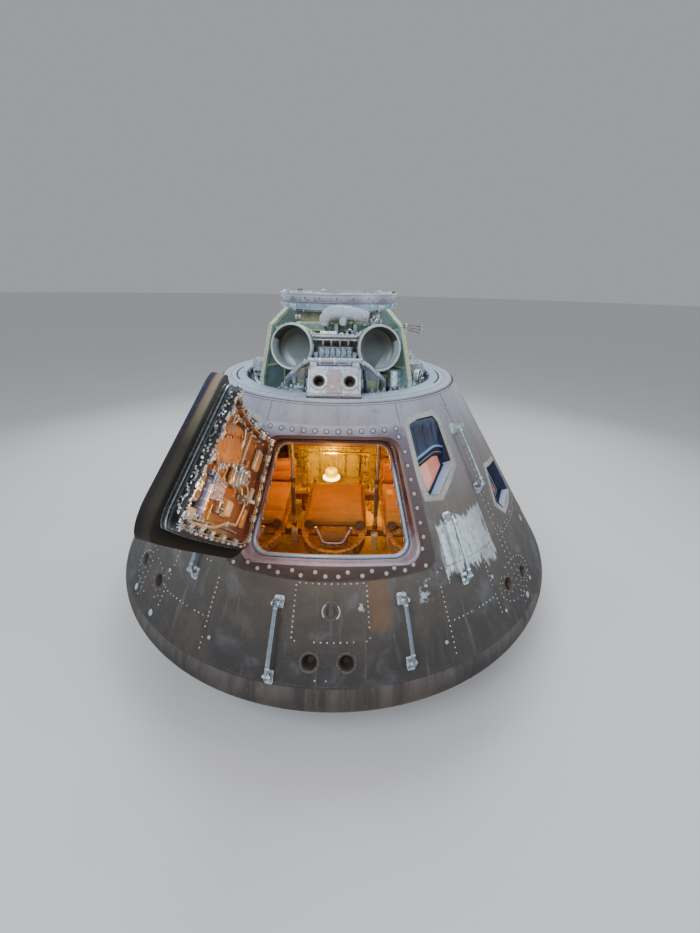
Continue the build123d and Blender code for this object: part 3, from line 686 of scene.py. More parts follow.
def aft_material(name):
    """burnt base dish: black-brown char, pale blotches, streaks out to the corner, paler up at its rim"""
    t = Mat(name)
    s = t.shell()
    streak = t.vec(t.mul(s["dx"], 2.2), t.mul(s["dy"], 2.2), t.mul(s["r"], .35))
    big = t.noise(s["p"], 1.6, 6, .6)
    st = t.noise(streak, 9, 6, .62)
    mot = t.noise(s["p"], 24, 6, .68)
    c = t.mix(t.rng(big, .38, .62), (.038, .033, .032), (.105, .080, .062))
    c = t.mix(t.mul(t.rng(st, .48, .68), .55), c, (.020, .018, .019))
    c = t.mix(t.mul(t.rng(mot, .56, .72), .5), c, (.185, .158, .135))
    c = t.mix(t.rng(s["z"], .52, .66, 0, .55), c, t.mix(t.rng(st, .4, .66), (.150, .140, .142), (.070, .064, .062)))
    cells = t.voro(t.vec(s["x"], s["y"], 0.0), 62, "DISTANCE_TO_EDGE", .3)
    h = t.add(t.mul(mot, .8), t.mul(t.rng(cells, .02, .16), .3))
    t.set(Base_Color=c, Roughness=t.add(.78, t.mul(t.sub(mot, .5), .3)), Normal=t.bump(h, .8, .004), Specular_IOR_Level=.3)
    return t.m


def hatch_edge_material(name, inner=False):
    """the open hatch: char, thin red line, tan ablator, silver flange, by depth below the skin; painted shade darkens
    it towards the bottom
    """
    t = Mat(name)
    s = t.shell(True)
    d = s["depth"]
    streak = t.vec(t.mul(s["dx"], 1.7), t.mul(s["dy"], 1.7), t.mul(s["z"], .11))
    st = t.noise(streak, 12, 6, .6)
    mot = t.noise(s["p"], 26, 5, .65)
    big = t.noise(s["p"], 2.6, 5, .6)
    char = t.mix(t.rng(st, .42, .66), (.040, .050, .075), (.020, .021, .026))
    # painted shade: the char darkens towards the bottom of the hatch, where shade falls
    char = t.mix(t.rng(s["z"], 1.85, 1.45, 0, .8), char, (.016, .014, .013))
    dd = t.add(d, t.mul(t.sub(mot, .5), .006))
    edge = t.ramp(t.mul(dd, 10.0), [(0, (.020, .034, .075)), (.15, (.018, .030, .062)), (.20, (.030, .040, .066)), (.222, (.230, .070, .048)), (.255, (.170, .055, .040)),
                                    (.285, (.215, .185, .120)), (.50, (.270, .240, .160)), (.55, (.190, .175, .125)), (.59, (.090, .088, .075)), (1, (.06, .06, .055))])
    edge = t.mix(t.mul(t.rng(mot, .5, .7), .45), edge, (.16, .13, .10))
    # painted shade: the edge bands darken towards the bottom as well
    edge = t.mix(t.mul(t.rng(t.add(s["z"], t.mul(t.sub(big, .5), .25)), 1.80, 1.46), .93), edge, (.016, .014, .012))
    c = t.mix(t.rng(d, .0010, .0030), char, edge)
    h = t.add(t.mul(mot, .7), t.mul(st, .3))
    t.set(Base_Color=c, Roughness=t.add(.70, t.mul(t.sub(mot, .5), .3)), Normal=t.bump(h, .5, .0025), Specular_IOR_Level=.18)
    return t.m


def fabric(name, col, col2, weave=900.0, rough=.85, sheen=.25, wrinkle=.6, stain=(.2, .15, .1), stainamt=.25):
    t = Mat(name)
    big = t.noise(t.p, 6, 5, .6)
    mid = t.noise(t.p, 34, 5, .6)
    x, y, z = t.xyz(t.vm("SCALE", t.p, weave))
    w = t.math("MULTIPLY", t.math("SINE", t.add(x, t.mul(z, .6))), t.math("SINE", t.add(y, t.mul(z, .8))))
    c = t.mix(t.rng(big, .38, .64), col, col2)
    c = t.mix(t.mul(t.rng(mid, .54, .74), stainamt), c, stain)
    c = t.mix(t.mul(t.rng(w, .2, .9), .16), c, tuple(v * .6 for v in col))
    h = t.add(t.mul(mid, wrinkle), t.mul(w, .12))
    t.set(Base_Color=c, Roughness=t.add(rough, t.mul(t.sub(mid, .5), .2)), Normal=t.bump(h, .45, .003), Sheen_Weight=sheen, Sheen_Roughness=.5)
    return t.m


def glass(name, tint=(.10, .07, .06), rough=.06, trans=.55, painted_glow=None):
    t = Mat(name)
    sm = t.noise(t.p, 14, 4, .6)
    fine = t.noise(t.p, 160, 3, .6)
    c = t.mix(t.rng(sm, .4, .7), tint, tuple(min(1, v * 1.7 + .02) for v in tint))
    t.set(Base_Color=c, Roughness=t.add(rough, t.mul(t.rng(sm, .5, .75), .22)), Transmission_Weight=trans, IOR=1.46,
          Normal=t.bump(fine, .06, .001), Coat_Weight=.4, Coat_Roughness=.05)
    # painted glow: the pane's emission stands in for the lit cabin showing through it
    if painted_glow:
        t.set(Emission_Color=t.mix(t.rng(sm, .35, .65), painted_glow, tuple(v * .7 for v in painted_glow)), Emission_Strength=.35)
    return t.m


def surround_material():
    """plate round the hatch: scorched brown low down, pale lavender towards the top"""
    t = Mat("surround_plate")
    x, y, z = t.xyz(t.p)
    big = t.noise(t.p, 3.4, 5, .6)
    mid = t.noise(t.p, 16, 5, .64)
    fine = t.noise(t.p, 120, 3, .6)
    zz = t.add(z, t.mul(t.sub(big, .5), .22))
    c = t.ramp(t.rng(zz, 1.17, 2.0, smooth=False), [(0, (.052, .034, .030)), (.25, (.078, .054, .052)), (.60, (.110, .084, .092)), (.90, (.170, .145, .185)), (.95, (.290, .290, .390)), (1, (.380, .405, .510))])
    c = t.mix(t.mul(t.rng(mid, .52, .72), .55), c, (.085, .060, .052))
    c = t.mix(t.mul(t.rng(fine, .56, .74), .22), c, (.26, .235, .25))
    e = t.mul(t.edge(), t.rng(mid, .38, .6))
    c = t.mix(t.mul(e, .35), c, (.42, .38, .40))
    h = t.add(t.mul(mid, .6), t.mul(fine, .4))
    t.set(Base_Color=c, Roughness=t.add(.55, t.mul(t.sub(mid, .5), .35)), Normal=t.bump(h, .4, .0016), Specular_IOR_Level=.4)
    return t.m


def banded(name, stops, rough=.40, metal=.3, grime=(.20, .15, .15), amt=.45, lines=(), bump=.3):
    """metal whose colour goes by height: stops are (z, colour); lines are thin dark or light bands"""
    t = Mat(name)
    x, y, z = t.xyz(t.p)
    mid = t.noise(t.p, 15, 5, .62)
    big = t.noise(t.p, 4, 5, .6)
    fine = t.noise(t.p, 120, 3, .6)
    lo, hi = stops[0][0], stops[-1][0]
    c = t.ramp(t.rng(z, lo, hi, smooth=False), [((q - lo) / (hi - lo), col) for q, col in stops])
    for a, b, col in lines:
        c = t.mix(t.band(z, a, b, .0006), c, col)
    c = t.mix(t.mul(t.rng(mid, .52, .72), amt), c, grime)
    c = t.mix(t.mul(t.rng(big, .5, .7), .3), c, tuple(v * .6 for v in grime))
    c = t.mix(t.mul(t.rng(fine, .55, .74), .3), c, (.72, .76, .82))
    c = t.mix(t.mul(t.edge(), .5), c, (.80, .86, .92))
    st = t.noise(t.vm("MULTIPLY", t.p, (3, 3, 90)), 6, 3, .5)
    h = t.add(t.mul(mid, .5), t.add(t.mul(fine, .3), t.mul(st, .3)))
    t.set(Base_Color=c, Roughness=t.add(rough, t.mul(t.sub(mid, .5), .35)), Metallic=metal, Normal=t.bump(h, bump, .0015))
    return t.m


def deck_material():
    """skin-like outer rim, pale inner lip and a dark well round the tunnel"""
    t = Mat("deck_paint")
    x, y, z = t.xyz(t.p)
    r = t.math("SQRT", t.add(t.mul(x, x), t.mul(y, y)))
    big = t.noise(t.p, 3.2, 5, .6)
    mid = t.noise(t.p, 15, 5, .62)
    fine = t.noise(t.p, 110, 3, .6)
    rim = t.mix(t.rng(big, .38, .64), (.350, .385, .470), (.300, .285, .340))
    lip = t.mix(t.rng(big, .35, .68), (.40, .52, .66), (.33, .42, .55))
    well = t.mix(t.rng(mid, .4, .66), (.060, .072, .080), (.030, .032, .034))
    c = t.mix(t.rng(r, .900, .9015), lip, rim)
    c = t.mix(t.rng(z, 2.112, 2.100), c, well)
    c = t.mix(t.mul(t.rng(mid, .52, .72), .45), c, (.150, .125, .125))
    c = t.mix(t.mul(t.edge(), .45), c, (.62, .70, .80))
    h = t.add(t.mul(mid, .6), t.mul(fine, .4))
    t.set(Base_Color=c, Roughness=t.add(.46, t.mul(t.sub(mid, .5), .3)), Normal=t.bump(h, .3, .0016))
    return t.m


def lining_material():
    """mortar liner: grey-green, painted dark as shade inside and darker on its upper side, with a painted lit crescent
    on its lower outer side
    """
    t = Mat("mortar_lining_painted_light_and_shade")
    x, y, z = t.xyz(t.p)
    mid = t.noise(t.p, 14, 5, .62)
    u = t.sub(t.math("ABSOLUTE", x), .305)
    v = t.sub(z, 2.417)
    k = t.sub(t.mul(u, .814), t.mul(v, .579))
    k = t.add(k, t.mul(t.sub(mid, .5), .010))
    # painted light: a lit crescent on the lower outer wall, where light from above falls
    wall = t.mul(t.rng(k, .0660, .0720), t.rng(y, -.50, -.56))
    # painted shade: the liner's dark colour, darker on its upper side and lighter low down
    c = t.mix(t.rng(v, .06, -.10), (.060, .072, .070), (.150, .185, .185))
    c = t.mix(wall, c, (.42, .52, .56))
    c = t.mix(t.mul(t.rng(mid, .52, .72), .35), c, (.12, .13, .11))
    t.set(Base_Color=c, Roughness=t.add(.42, t.mul(t.sub(mid, .5), .35)), Metallic=.15, Normal=t.bump(mid, .2, .0012))
    return t.m


M = {}
M["skin"] = skin_material("charred_skin")
M["aft"] = aft_material("aft_char")
M["hatch_edge"] = hatch_edge_material("hatch_char_and_shade")
M["frame"] = worn_metal("seal_frame", (.50, .49, .62), .30, .55, tint=(.40, .46, .60), edge=(.80, .84, .95), dirt=(.22, .13, .10), dirtamt=.35, wear=.7)


def bead_material():
    """sealing bead: blue and bright along the sill and the right, brown at the top and left"""
    t = Mat("seal_bead")
    x, y, z = t.xyz(t.p)
    mid = t.noise(t.p, 20, 5, .62)
    zz = t.add(z, t.mul(t.sub(mid, .5), .06))
    blue = t.mix(t.rng(mid, .4, .66), (.40, .62, .88), (.46, .60, .84))
    brown = t.mix(t.rng(mid, .4, .66), (.150, .052, .022), (.085, .032, .020))
    up = t.rng(zz, 1.62, 1.78)
    left = t.mul(t.rng(x, .10, -.10), t.rng(zz, 1.34, 1.46))
    c = t.mix(t.math("MAXIMUM", up, left), blue, brown)
    c = t.mix(t.mul(t.rng(mid, .55, .72), .3), c, (.10, .085, .08))
    t.set(Base_Color=c, Roughness=t.add(.26, t.mul(t.sub(mid, .5), .25)), Metallic=.3, Normal=t.bump(mid, .08, .0015))
    return t.m


M["bead"] = bead_material()
M["bead_old"] = worn_metal("seal_bead", (.40, .62, .88), .22, .35, tint=(.46, .60, .84), edge=(.85, .92, 1), dirtamt=.08, wear=.2, bump=.08)
M["surround"] = surround_material()
M["plug"] = worn_metal("plug_pale", (.47, .455, .45), .50, .0, tint=(.38, .36, .36), paint=True, edge=(.7, .7, .7), dirt=(.25, .20, .17), dirtamt=.45, scale=3)
M["plug_ring"] = worn_metal("plug_ring", (.052, .046, .046), .7, .0, paint=True, tint=(.085, .072, .070), edge=(.2, .18, .17), dirtamt=.2, wear=.2)
M["rivet"] = worn_metal("small_rivet", (.52, .51, .50), .42, .55, tint=(.36, .35, .35), dirt=(.16, .14, .12), dirtamt=.6, scale=4)
M["rail"] = worn_metal("rail_metal", (.36, .45, .54), .30, .75, tint=(.26, .34, .43), edge=(.72, .84, .92), dirt=(.10, .09, .08), dirtamt=.35, scale=2, wear=.8)
M["fitting"] = worn_metal("fitting_metal", (.44, .56, .62), .30, .55, tint=(.30, .40, .46), edge=(.85, .93, 1), dirt=(.12, .11, .09), dirtamt=.45, scale=3, wear=.9)
M["deck"] = deck_material()
M["tunnel"] = worn_metal("tunnel_metal", (.30, .29, .15), .42, .45, tint=(.22, .24, .20), edge=(.6, .6, .5), dirt=(.08, .07, .04), dirtamt=.5)
M["ring"] = banded("ring_metal", [(2.628, (.20, .22, .30)), (2.6405, (.34, .42, .52)), (2.6430, (.34, .50, .58)), (2.680, (.30, .44, .55)), (2.688, (.12, .11, .16)), (2.700, (.165, .150, .215)), (2.735, (.21, .185, .26)), (2.746, (.28, .34, .46)), (2.760, (.26, .42, .58))], .40, .25, (.10, .085, .115), .35)
M["ring_upper"] = worn_metal("ring_upper", (.34, .31, .38), .42, .4, tint=(.42, .42, .52), edge=(.7, .74, .85), dirt=(.14, .10, .10), dirtamt=.4)
M["green"] = worn_metal("green_primer", (.20, .33, .33), .46, .0, tint=(.17, .28, .31), paint=True, edge=(.62, .72, .62), dirt=(.10, .13, .09), dirtamt=.45, wear=.55)
M["green_lip"] = worn_metal("green_flange", (.46, .60, .26), .42, .0, tint=(.40, .56, .32), paint=True, edge=(.82, .86, .66), dirt=(.22, .22, .10), dirtamt=.35, wear=.6)
M["port"] = worn_metal("port_centre", (.045, .056, .050), .6, .1, tint=(.030, .034, .034), edge=(.2, .2, .2), dirt=(.02, .02, .02), dirtamt=.4, scale=4)
M["lining"] = lining_material()
M["pale_ledge"] = worn_metal("pale_ledge", (.52, .60, .60), .40, .3, tint=(.42, .50, .50), edge=(.8, .88, .9), dirt=(.24, .25, .22), dirtamt=.4, scale=3)
M["olive"] = worn_metal("olive_band", (.30, .33, .16), .42, .2, tint=(.24, .28, .15), edge=(.6, .62, .42), dirt=(.09, .09, .04), dirtamt=.5, scale=3)
M["tan"] = worn_metal("tan_box", (.46, .38, .27), .48, .1, tint=(.38, .31, .22), edge=(.7, .64, .5), dirt=(.15, .11, .07), dirtamt=.4, scale=4)
M["mortar"] = worn_metal("mortar_metal", (.44, .52, .58), .34, .55, tint=(.36, .43, .48), edge=(.78, .88, .95), dirt=(.18, .19, .17), dirtamt=.4, brushed=.2)
M["mortar_in"] = worn_metal("mortar_lining", (.40, .44, .42), .50, .15, tint=(.30, .34, .33), edge=(.6, .66, .66), dirt=(.16, .17, .14), dirtamt=.5, brushed=.3)
M["nozzle"] = worn_metal("nozzle_lining", (.040, .032, .028), .55, .2, tint=(.085, .050, .030), edge=(.25, .22, .2), dirt=(.02, .015, .012), dirtamt=.5, scale=3)
M["cast"] = worn_metal("housing_metal", (.40, .47, .58), .40, .35, tint=(.44, .42, .50), edge=(.74, .84, .96), dirt=(.22, .15, .13), dirtamt=.5, wear=.7, scale=2)
M["pink"] = worn_metal("housing_front", (.40, .315, .310), .55, .0, tint=(.32, .26, .26), paint=True, edge=(.55, .5, .5), dirt=(.16, .10, .08), dirtamt=.5, scale=2)
M["silver"] = worn_metal("bright_fitting", (.62, .68, .74), .26, .85, tint=(.45, .50, .56), edge=(.95, .98, 1), dirt=(.14, .12, .10), dirtamt=.4, scale=4, wear=.8)
M["dark"] = worn_metal("dark_fitting", (.040, .042, .046), .50, .3, tint=(.075, .072, .070), edge=(.3, .3, .3), dirt=(.02, .018, .015), dirtamt=.4, scale=4, wear=.6)
M["steel"] = worn_metal("mechanism_metal", (.42, .41, .39), .34, .85, tint=(.30, .28, .25), edge=(.82, .82, .80), dirt=(.10, .07, .045), dirtamt=.45, scale=4, wear=.8)
M["hinner"] = worn_metal("hatch_inner", (.36, .26, .17), .45, .25, tint=(.27, .18, .12), edge=(.62, .5, .36), dirt=(.10, .06, .035), dirtamt=.5, scale=2)
M["cabin"] = worn_metal("cabin_paint", (.42, .40, .33), .50, .0, tint=(.33, .31, .26), paint=True, edge=(.62, .58, .48), dirt=(.12, .10, .07), dirtamt=.45, scale=2)
M["cabin_dark"] = worn_metal("cabin_dark", (.115, .105, .085), .55, .0, tint=(.16, .145, .12), paint=True, edge=(.32, .3, .25), dirt=(.05, .04, .03), dirtamt=.4, scale=2)
M["console"] = worn_metal("console_paint", (.30, .31, .31), .48, .0, tint=(.24, .25, .26), paint=True, edge=(.5, .5, .48), dirt=(.10, .09, .08), dirtamt=.35, scale=3)
M["lampcase"] = worn_metal("lamp_case", (.30, .29, .26), .35, .6, tint=(.22, .2, .18), edge=(.7, .7, .65), scale=4)
M["couch"] = worn_metal("couch_metal", (.50, .46, .37), .42, .35, tint=(.40, .36, .29), edge=(.75, .7, .6), dirt=(.16, .12, .08), dirtamt=.4, scale=2)
M["yoke"] = fabric("yoke_band", (.42, .32, .22), (.34, .26, .18), 1100, .7, .2)
M["cloth"] = fabric("couch_fabric", (.47, .39, .28), (.40, .33, .235), 1300, .78, .25, .7, (.26, .19, .12), .35)
M["wrap"] = fabric("wrap_fabric", (.50, .56, .64), (.42, .47, .55), 1500, .7, .2, .8, (.25, .22, .2), .25)
M["pouch"] = fabric("pouch_fabric", (.52, .225, .045), (.36, .135, .030), 1300, .42, .15, .6, (.16, .06, .02), .5)
M["hinge"] = worn_metal("hinge_metal", (.22, .21, .21), .45, .6, tint=(.15, .145, .15), edge=(.6, .6, .6), dirt=(.06, .05, .045), dirtamt=.4, scale=3)
# painted reflection and glow: the salmon tint and orange emission stand in for the lit cabin seen in the panes
M["glass"] = glass("window_glass", (.46, .20, .16), .08, .35, (1.0, .38, .22))
M["hglass"] = glass("hatch_glass", (.05, .055, .06), .08, .2)
M["black"] = worn_metal("black_rubber", (.018, .018, .020), .6, .0, paint=True, tint=(.03, .03, .032), edge=(.08, .08, .08), dirtamt=.1, wear=.2)
M["border"] = worn_metal("border_strip", (.430, .440, .400), .50, .0, tint=(.330, .330, .300), paint=True, edge=(.55, .56, .52), dirt=(.17, .145, .12), dirtamt=.55, wear=.3, scale=1.6, bump=.4)
M["seam"] = worn_metal("seam_filler", (.070, .062, .060), .75, .0, tint=(.125, .110, .100), paint=True, edge=(.2, .19, .18), dirtamt=.2, wear=.2, scale=3)
M["blueplug"] = worn_metal("blue_plug", (.42, .60, .74), .45, .0, tint=(.34, .50, .64), paint=True, edge=(.7, .8, .9), dirt=(.15, .16, .17), dirtamt=.4, scale=5)
M["noz_rim"] = worn_metal("nozzle_rim", (.085, .080, .078), .52, .25, tint=(.060, .055, .054), edge=(.22, .21, .21), dirt=(.08, .07, .06), dirtamt=.5, scale=5)
M["noz_in"] = worn_metal("nozzle_dark", (.050, .042, .038), .6, .15, tint=(.10, .07, .05), edge=(.25, .22, .2), scale=5)
# painted shade: dark blue for the recess walls round the windows, which lie in shade
M["wblue"] = worn_metal("window_painted_shade", (.020, .040, .105), .42, .1, tint=(.012, .020, .050), edge=(.10, .18, .34), dirt=(.020, .014, .014), dirtamt=.6, wear=.4, scale=2, bump=.2)
M["wbead"] = worn_metal("window_bead", (.20, .40, .68), .35, .25, tint=(.13, .28, .50), edge=(.5, .7, .95), dirt=(.05, .07, .12), dirtamt=.35, scale=5)
M["sill"] = worn_metal("window_sill", (.40, .54, .74), .45, .1, tint=(.46, .50, .66), edge=(.65, .78, .95), dirt=(.22, .24, .32), dirtamt=.35, scale=3)
M["band_red"] = worn_metal("recess_band", (.235, .095, .050), .55, .05, tint=(.13, .050, .030), edge=(.45, .24, .14), dirt=(.05, .022, .015), dirtamt=.5, wear=.5, scale=3)
M["amber"] = worn_metal("amber_label", (.62, .52, .32), .5, .0, tint=(.5, .42, .26), paint=True, scale=6)


def frame_material(name):
    """sealing frame: red-brown at the top and sides, lavender where it lies like a sill"""
    t = Mat(name)
    x, y, z = t.xyz(t.p)
    mid = t.noise(t.p, 15, 5, .62)
    fine = t.noise(t.p, 110, 3, .6)
    zz = t.add(z, t.mul(t.sub(mid, .5), .10))
    low = t.rng(zz, 1.385, 1.265)
    red = t.mix(t.rng(mid, .4, .66), (.185, .078, .048), (.095, .038, .030))
    red = t.mix(t.rng(z, 1.78, 1.90, 0, .65), red, (.060, .028, .022))
    lav = t.mix(t.rng(mid, .38, .66), (.47, .40, .47), (.36, .29, .33))
    lav = t.mix(t.mul(t.rng(fine, .5, .72), .4), lav, (.62, .56, .62))
    c = t.mix(low, red, lav)
    c = t.mix(t.mul(t.edge(), .6), c, (.55, .50, .60))
    h = t.add(t.mul(mid, .6), t.mul(fine, .4))
    t.set(Base_Color=c, Roughness=t.add(.42, t.mul(t.sub(mid, .5), .4)), Metallic=t.mul(low, .25), Normal=t.bump(h, .3, .0016))
    return t.m


M["frame"] = frame_material("sealing_frame")
M["lav"] = worn_metal("ledge_lavender", (.46, .38, .45), .45, .15, tint=(.35, .27, .32), edge=(.66, .62, .72), dirt=(.20, .13, .13), dirtamt=.4, scale=2)

NODE_MAT = {
    "front_hatch_panel": "skin", "right_window_panel": "skin", "left_window_panel": "skin", "right_side_panel": "skin", "left_side_panel": "skin", "back_panel": "skin",
    "aft_heat_shield": "aft", "hatch_frame": "frame", "rendezvous_windows": "glass", "side_windows": "glass", "handrails": "rail", "hinge_brackets": "hinge",
    "reaction_nozzles": "nozzle", "forward_deck": "deck", "docking_tunnel": "tunnel", "docking_ring": "ring", "tunnel_hatch": "tunnel", "forward_gussets": "green",
    "drogue_mortars": "mortar", "pitch_engine_housing": "cast", "forward_handhold": "fitting", "cross_beam": "green", "equipment_column": "dark", "wrapped_bundle": "wrap",
    "deck_equipment": "cast", "cabin_floor": "cabin", "equipment_bays": "cabin", "display_console": "console", "cabin_floodlight": "lampcase", "couch_frame": "couch",
    "couch_struts": "steel", "couch_pads": "cloth", "headrests": "cloth", "hatch_heat_shield": "hatch_edge", "hatch_structure": "hinner", "hatch_window": "hglass",
    "hatch_gearbox": "steel", "hatch_handle": "steel", "hatch_counterbalance": "steel", "hatch_latches": "steel", "hatch_hinge_arms": "hinge",
}
for side in ("left", "centre", "right"):
    NODE_MAT[side + "_seat_pan"] = "couch"
    NODE_MAT[side + "_seat_pad"] = "cloth"
for node, key in NODE_MAT.items():
    me = NODES[node].data
    me.materials.clear()
    me.materials.append(M[key])

# ---------------------------------------------------------------- camera, light and floor
cam = bpy.data.cameras.new("camera")
cam.sensor_width, cam.lens, cam.clip_end = 36.0, 15.01, 400
cam_o = bpy.data.objects.new("camera", cam)
bpy.context.scene.collection.objects.link(cam_o)
cam_o.matrix_world = Matrix.Translation((0.1169, -3.4219, 2.8331)) @ R(90 - 25.51, 'X') @ Matrix.Rotation(.0204, 4, 'Z')
bpy.context.scene.camera = cam_o


def area(name, loc, target, size, power, col):
    d = bpy.data.lights.new(name, "AREA")
    d.shape, d.size, d.size_y, d.energy, d.color = "RECTANGLE", size[0], size[1], power, col
    o = bpy.data.objects.new(name, d)
    bpy.context.scene.collection.objects.link(o)
    o.matrix_world = axes(loc, Vector(loc) - Vector(target))
    return o


area("key", (-2.6, -5.4, 6.4), (0, -.6, 1.5), (3.4, 3.4), 300, (.86, .93, 1.0))
area("fill", (5.6, -3.2, 3.4), (0, -.3, 1.3), (3.0, 3.0), 95, (.92, .95, 1.0))
area("top", (0.4, 1.2, 6.6), (0, 0, 2.2), (3.6, 3.6), 170, (.82, .91, 1.0))
area("back", (-4.6, 4.4, 4.2), (0, 0, 1.4), (3.0, 3.0), 120, (.95, .96, 1.0))
area("back_right", (4.8, 4.6, 4.2), (0, 0, 1.4), (3.0, 3.0), 100, (.95, .96, 1.0))
w = bpy.data.worlds.new("studio")
w.use_nodes = True
w.node_tree.nodes["Background"].inputs[0].default_value = (.74, .76, .80, 1)
w.node_tree.nodes["Background"].inputs[1].default_value = .50
bpy.context.scene.world = w

fm = Mat("floor_pale")
fm.set(Base_Color=fm.mix(fm.noise(fm.p, .8, 3, .5), (.76, .76, .77), (.80, .80, .80)), Roughness=.8)
bpy.ops.mesh.primitive_circle_add(vertices=96, radius=90, fill_type="NGON", location=(0, 0, 0))
floor = bpy.context.object
floor.name = "floor"
floor.data.materials.append(fm.m)

# warm lamp in the cabin
SPILL = HATCH_M @ (hp(.06, -.10, .14) - HN * .34)
for i, (loc, pw, rad, col) in enumerate((((-.098, .47, 1.02), 8.5, .06, (1.0, .66, .0)), ((.45, -.20, 1.40), 4.5, .12, (1.0, .33, .003)), ((-.45, -.20, 1.40), 4.5, .12, (1.0, .33, .003)),
                                         ((0, -.50, 1.50), 4, .12, (1.0, .32, .003)), ((.36, -.02, .82), 3, .05, (1.0, .42, .005)), (tuple(SPILL), 7, .10, (1.0, .40, .006)))):
    d = bpy.data.lights.new(f"cabin_lamp_{i}", "POINT")
    d.energy, d.color, d.shadow_soft_size = pw, col, rad
    o = bpy.data.objects.new(f"cabin_lamp_{i}", d)
    o.location = loc
    bpy.context.scene.collection.objects.link(o)

# ---------------------------------------------------------------- outside of the shell
def azz(p):
    return degrees(atan2(p.x, -p.y)), p.z


def az_loop(o, inset=0.0, n=10, side=8):
    return [azz(hp(x, s, 0)) for x, s in trap(inset=inset, n=n, side=side, **o)]


# thin surround plate between the hatch recess and a rounded rectangle
inner = az_loop(HOLE, .003, 10, 10)
ZC, HZ, HA = 1.583, .407, 26.1
outer = []
for a, z in inner:
    u, v = a / HA, (z - ZC) / HZ
    k = (abs(u) ** 16 + abs(v) ** 16) ** (-1 / 16)
    outer.append((u * k * HA, ZC + v * k * HZ))
g = G("hatch_surround", M["surround"])
rows = []
for f, off in ((0, -.002), (0, .0016), (.02, .0026), (.33, .0026), (.66, .0026), (.985, .0026), (1, .0016), (1, -.002)):
    rows.append([cone(a + (b - a) * f, z + (y - z) * f, off) for (a, z), (b, y) in zip(inner, outer)])
rows.append(rows[0])
g.grid(rows, 0, closed=True)
g.done()

# plugs round the hatch, each in its dark counterbore
BIG = []
for a in (2.0, 5.9, 9.9, 14.0, 18.1, 22.4):
    BIG += [(a, 1.960), (-a, 1.960)]
for z in (1.825, 1.746, 1.668, 1.588, 1.510, 1.429, 1.351):
    BIG += [(23.95, z), (-23.95, z)]
BIG += [(s * a, z) for s in (1, -1) for a, z in ((22.85, 1.912), (22.9, 1.292), (22.9, 1.202))]
BIG += [(a, 1.224) for a in (-19.2, -13.7, -8.3, -3.0, 4.3, 9.8, 15.1, 19.8)]
BIG += [(a, 1.203) for a in (-16.6, -11.5, -6.2, -.75, 2.2, 7.6, 13.0, 17.5)]
g = G("hatch_plugs", M["plug"], M["plug_ring"])
for a, z in BIG:
    F = cframe(a + rnd.uniform(-.06, .06), z + rnd.uniform(-.001, .001), .0024, rnd.uniform(0, 360))
    g.lathe(F, [(0, -.001), (.0180, -.001), (.0180, .0007), (.0172, .0012), (.0138, .0010), (.0134, .0004), (0, .0004)], 20, 1)
    h = rnd.uniform(.0022, .0034)
    g.lathe(F, [(0, .0002), (.0124, .0002), (.0126, h * .6), (.0112, h), (.0060, h + .0005), (0, h + .0006)], 18, 0)
g.done()


def line(a0, z0, a1, z1, step):
    """points along the shell at about this spacing in metres"""
    p, q = cone(a0, z0), cone(a1, z1)
    n = max(1, int(round((q - p).length / step)))
    return [(a0 + (a1 - a0) * i / n, z0 + (z1 - z0) * i / n) for i in range(n + 1)]


SMALL = []
SMALL += line(-6.3, 1.1665, 7.7, 1.1665, .0385) + line(8.4, 1.152, 8.4, .895, .031) + line(-7.0, 1.152, -7.0, .895, .031) + line(-6.3, .881, 7.7, .881, .0385)
for s in (1, -1):
    SMALL += line(s * 26.9, 1.163, s * 40, 1.160, .034) + line(s * 25.6, 1.150, s * 25.6, .910, .031) + line(s * 40.2, 1.140, s * 40.2, .780, .033)
    SMALL += line(s * 27, .883, s * 39, .883, .036) + line(s * 25.6, .890, s * 25.6, .72, .034)
    # ring of rivets round each side nozzle pair
    for i in range(26):
        t = 2 * pi * i / 26
        SMALL.append((s * (49.8 if s > 0 else 48.4) + 7.6 * cos(t), .868 + .112 * sin(t)))
    # long seams of the panels
    for a in (49.6, 51.4, 104.1, 105.9):
        SMALL += line(s * a, .705, s * a, 2.085, .046)
    for z in (1.150, 1.175):
        SMALL += line(s * 52.5, z, s * 103, z, .046)
for z in (1.150, 1.175):
    SMALL += line(107, z, 253, z, .046)
for z in (.700, 2.090):
    SMALL += line(0, z, 358.0, z, .050 if z < 1 else .044)
for a in (130, 155, 180, 205, 230):
    SMALL += line(a, .72, a, 2.07, .052)
ZB, SKIP = 0, []
WIN_R = [(28.1, 1.970), (32.4, 1.994), (40.3, 1.993), (41.8, 1.951), (41.5, 1.688), (32.5, 1.549), (28.7, 1.562), (27.8, 1.708)]
WIN_S = [(60.5, 1.532), (72.3, 1.486), (71.9, 1.249), (59.5, 1.242), (56.3, 1.320)]


def grown(poly, w):
    """outline in (az, z) moved out by w metres on the shell"""
    ca, cz = sum(p[0] for p in poly) / len(poly), sum(p[1] for p in poly) / len(poly)
    r = (APEX - cz) * T33
    P = [Vector(((a - ca) * pi / 180 * r, (z - cz) / C33)) for a, z in poly]
    area = sum(P[i].x * P[(i + 1) % len(P)].y - P[(i + 1) % len(P)].x * P[i].y for i in range(len(P)))
    sgn = 1 if area > 0 else -1
    out = []
    for i in range(len(P)):
        d0, d1 = (P[i] - P[i - 1]).normalized(), (P[(i + 1) % len(P)] - P[i]).normalized()
        n0, n1 = Vector((d0.y, -d0.x)) * sgn, Vector((d1.y, -d1.x)) * sgn
        nn = (n0 + n1).normalized()
        q = P[i] + nn * (w / max(nn.dot(n0), .4))
        out.append((ca + degrees(q.x / r), cz + q.y * C33))
    return out


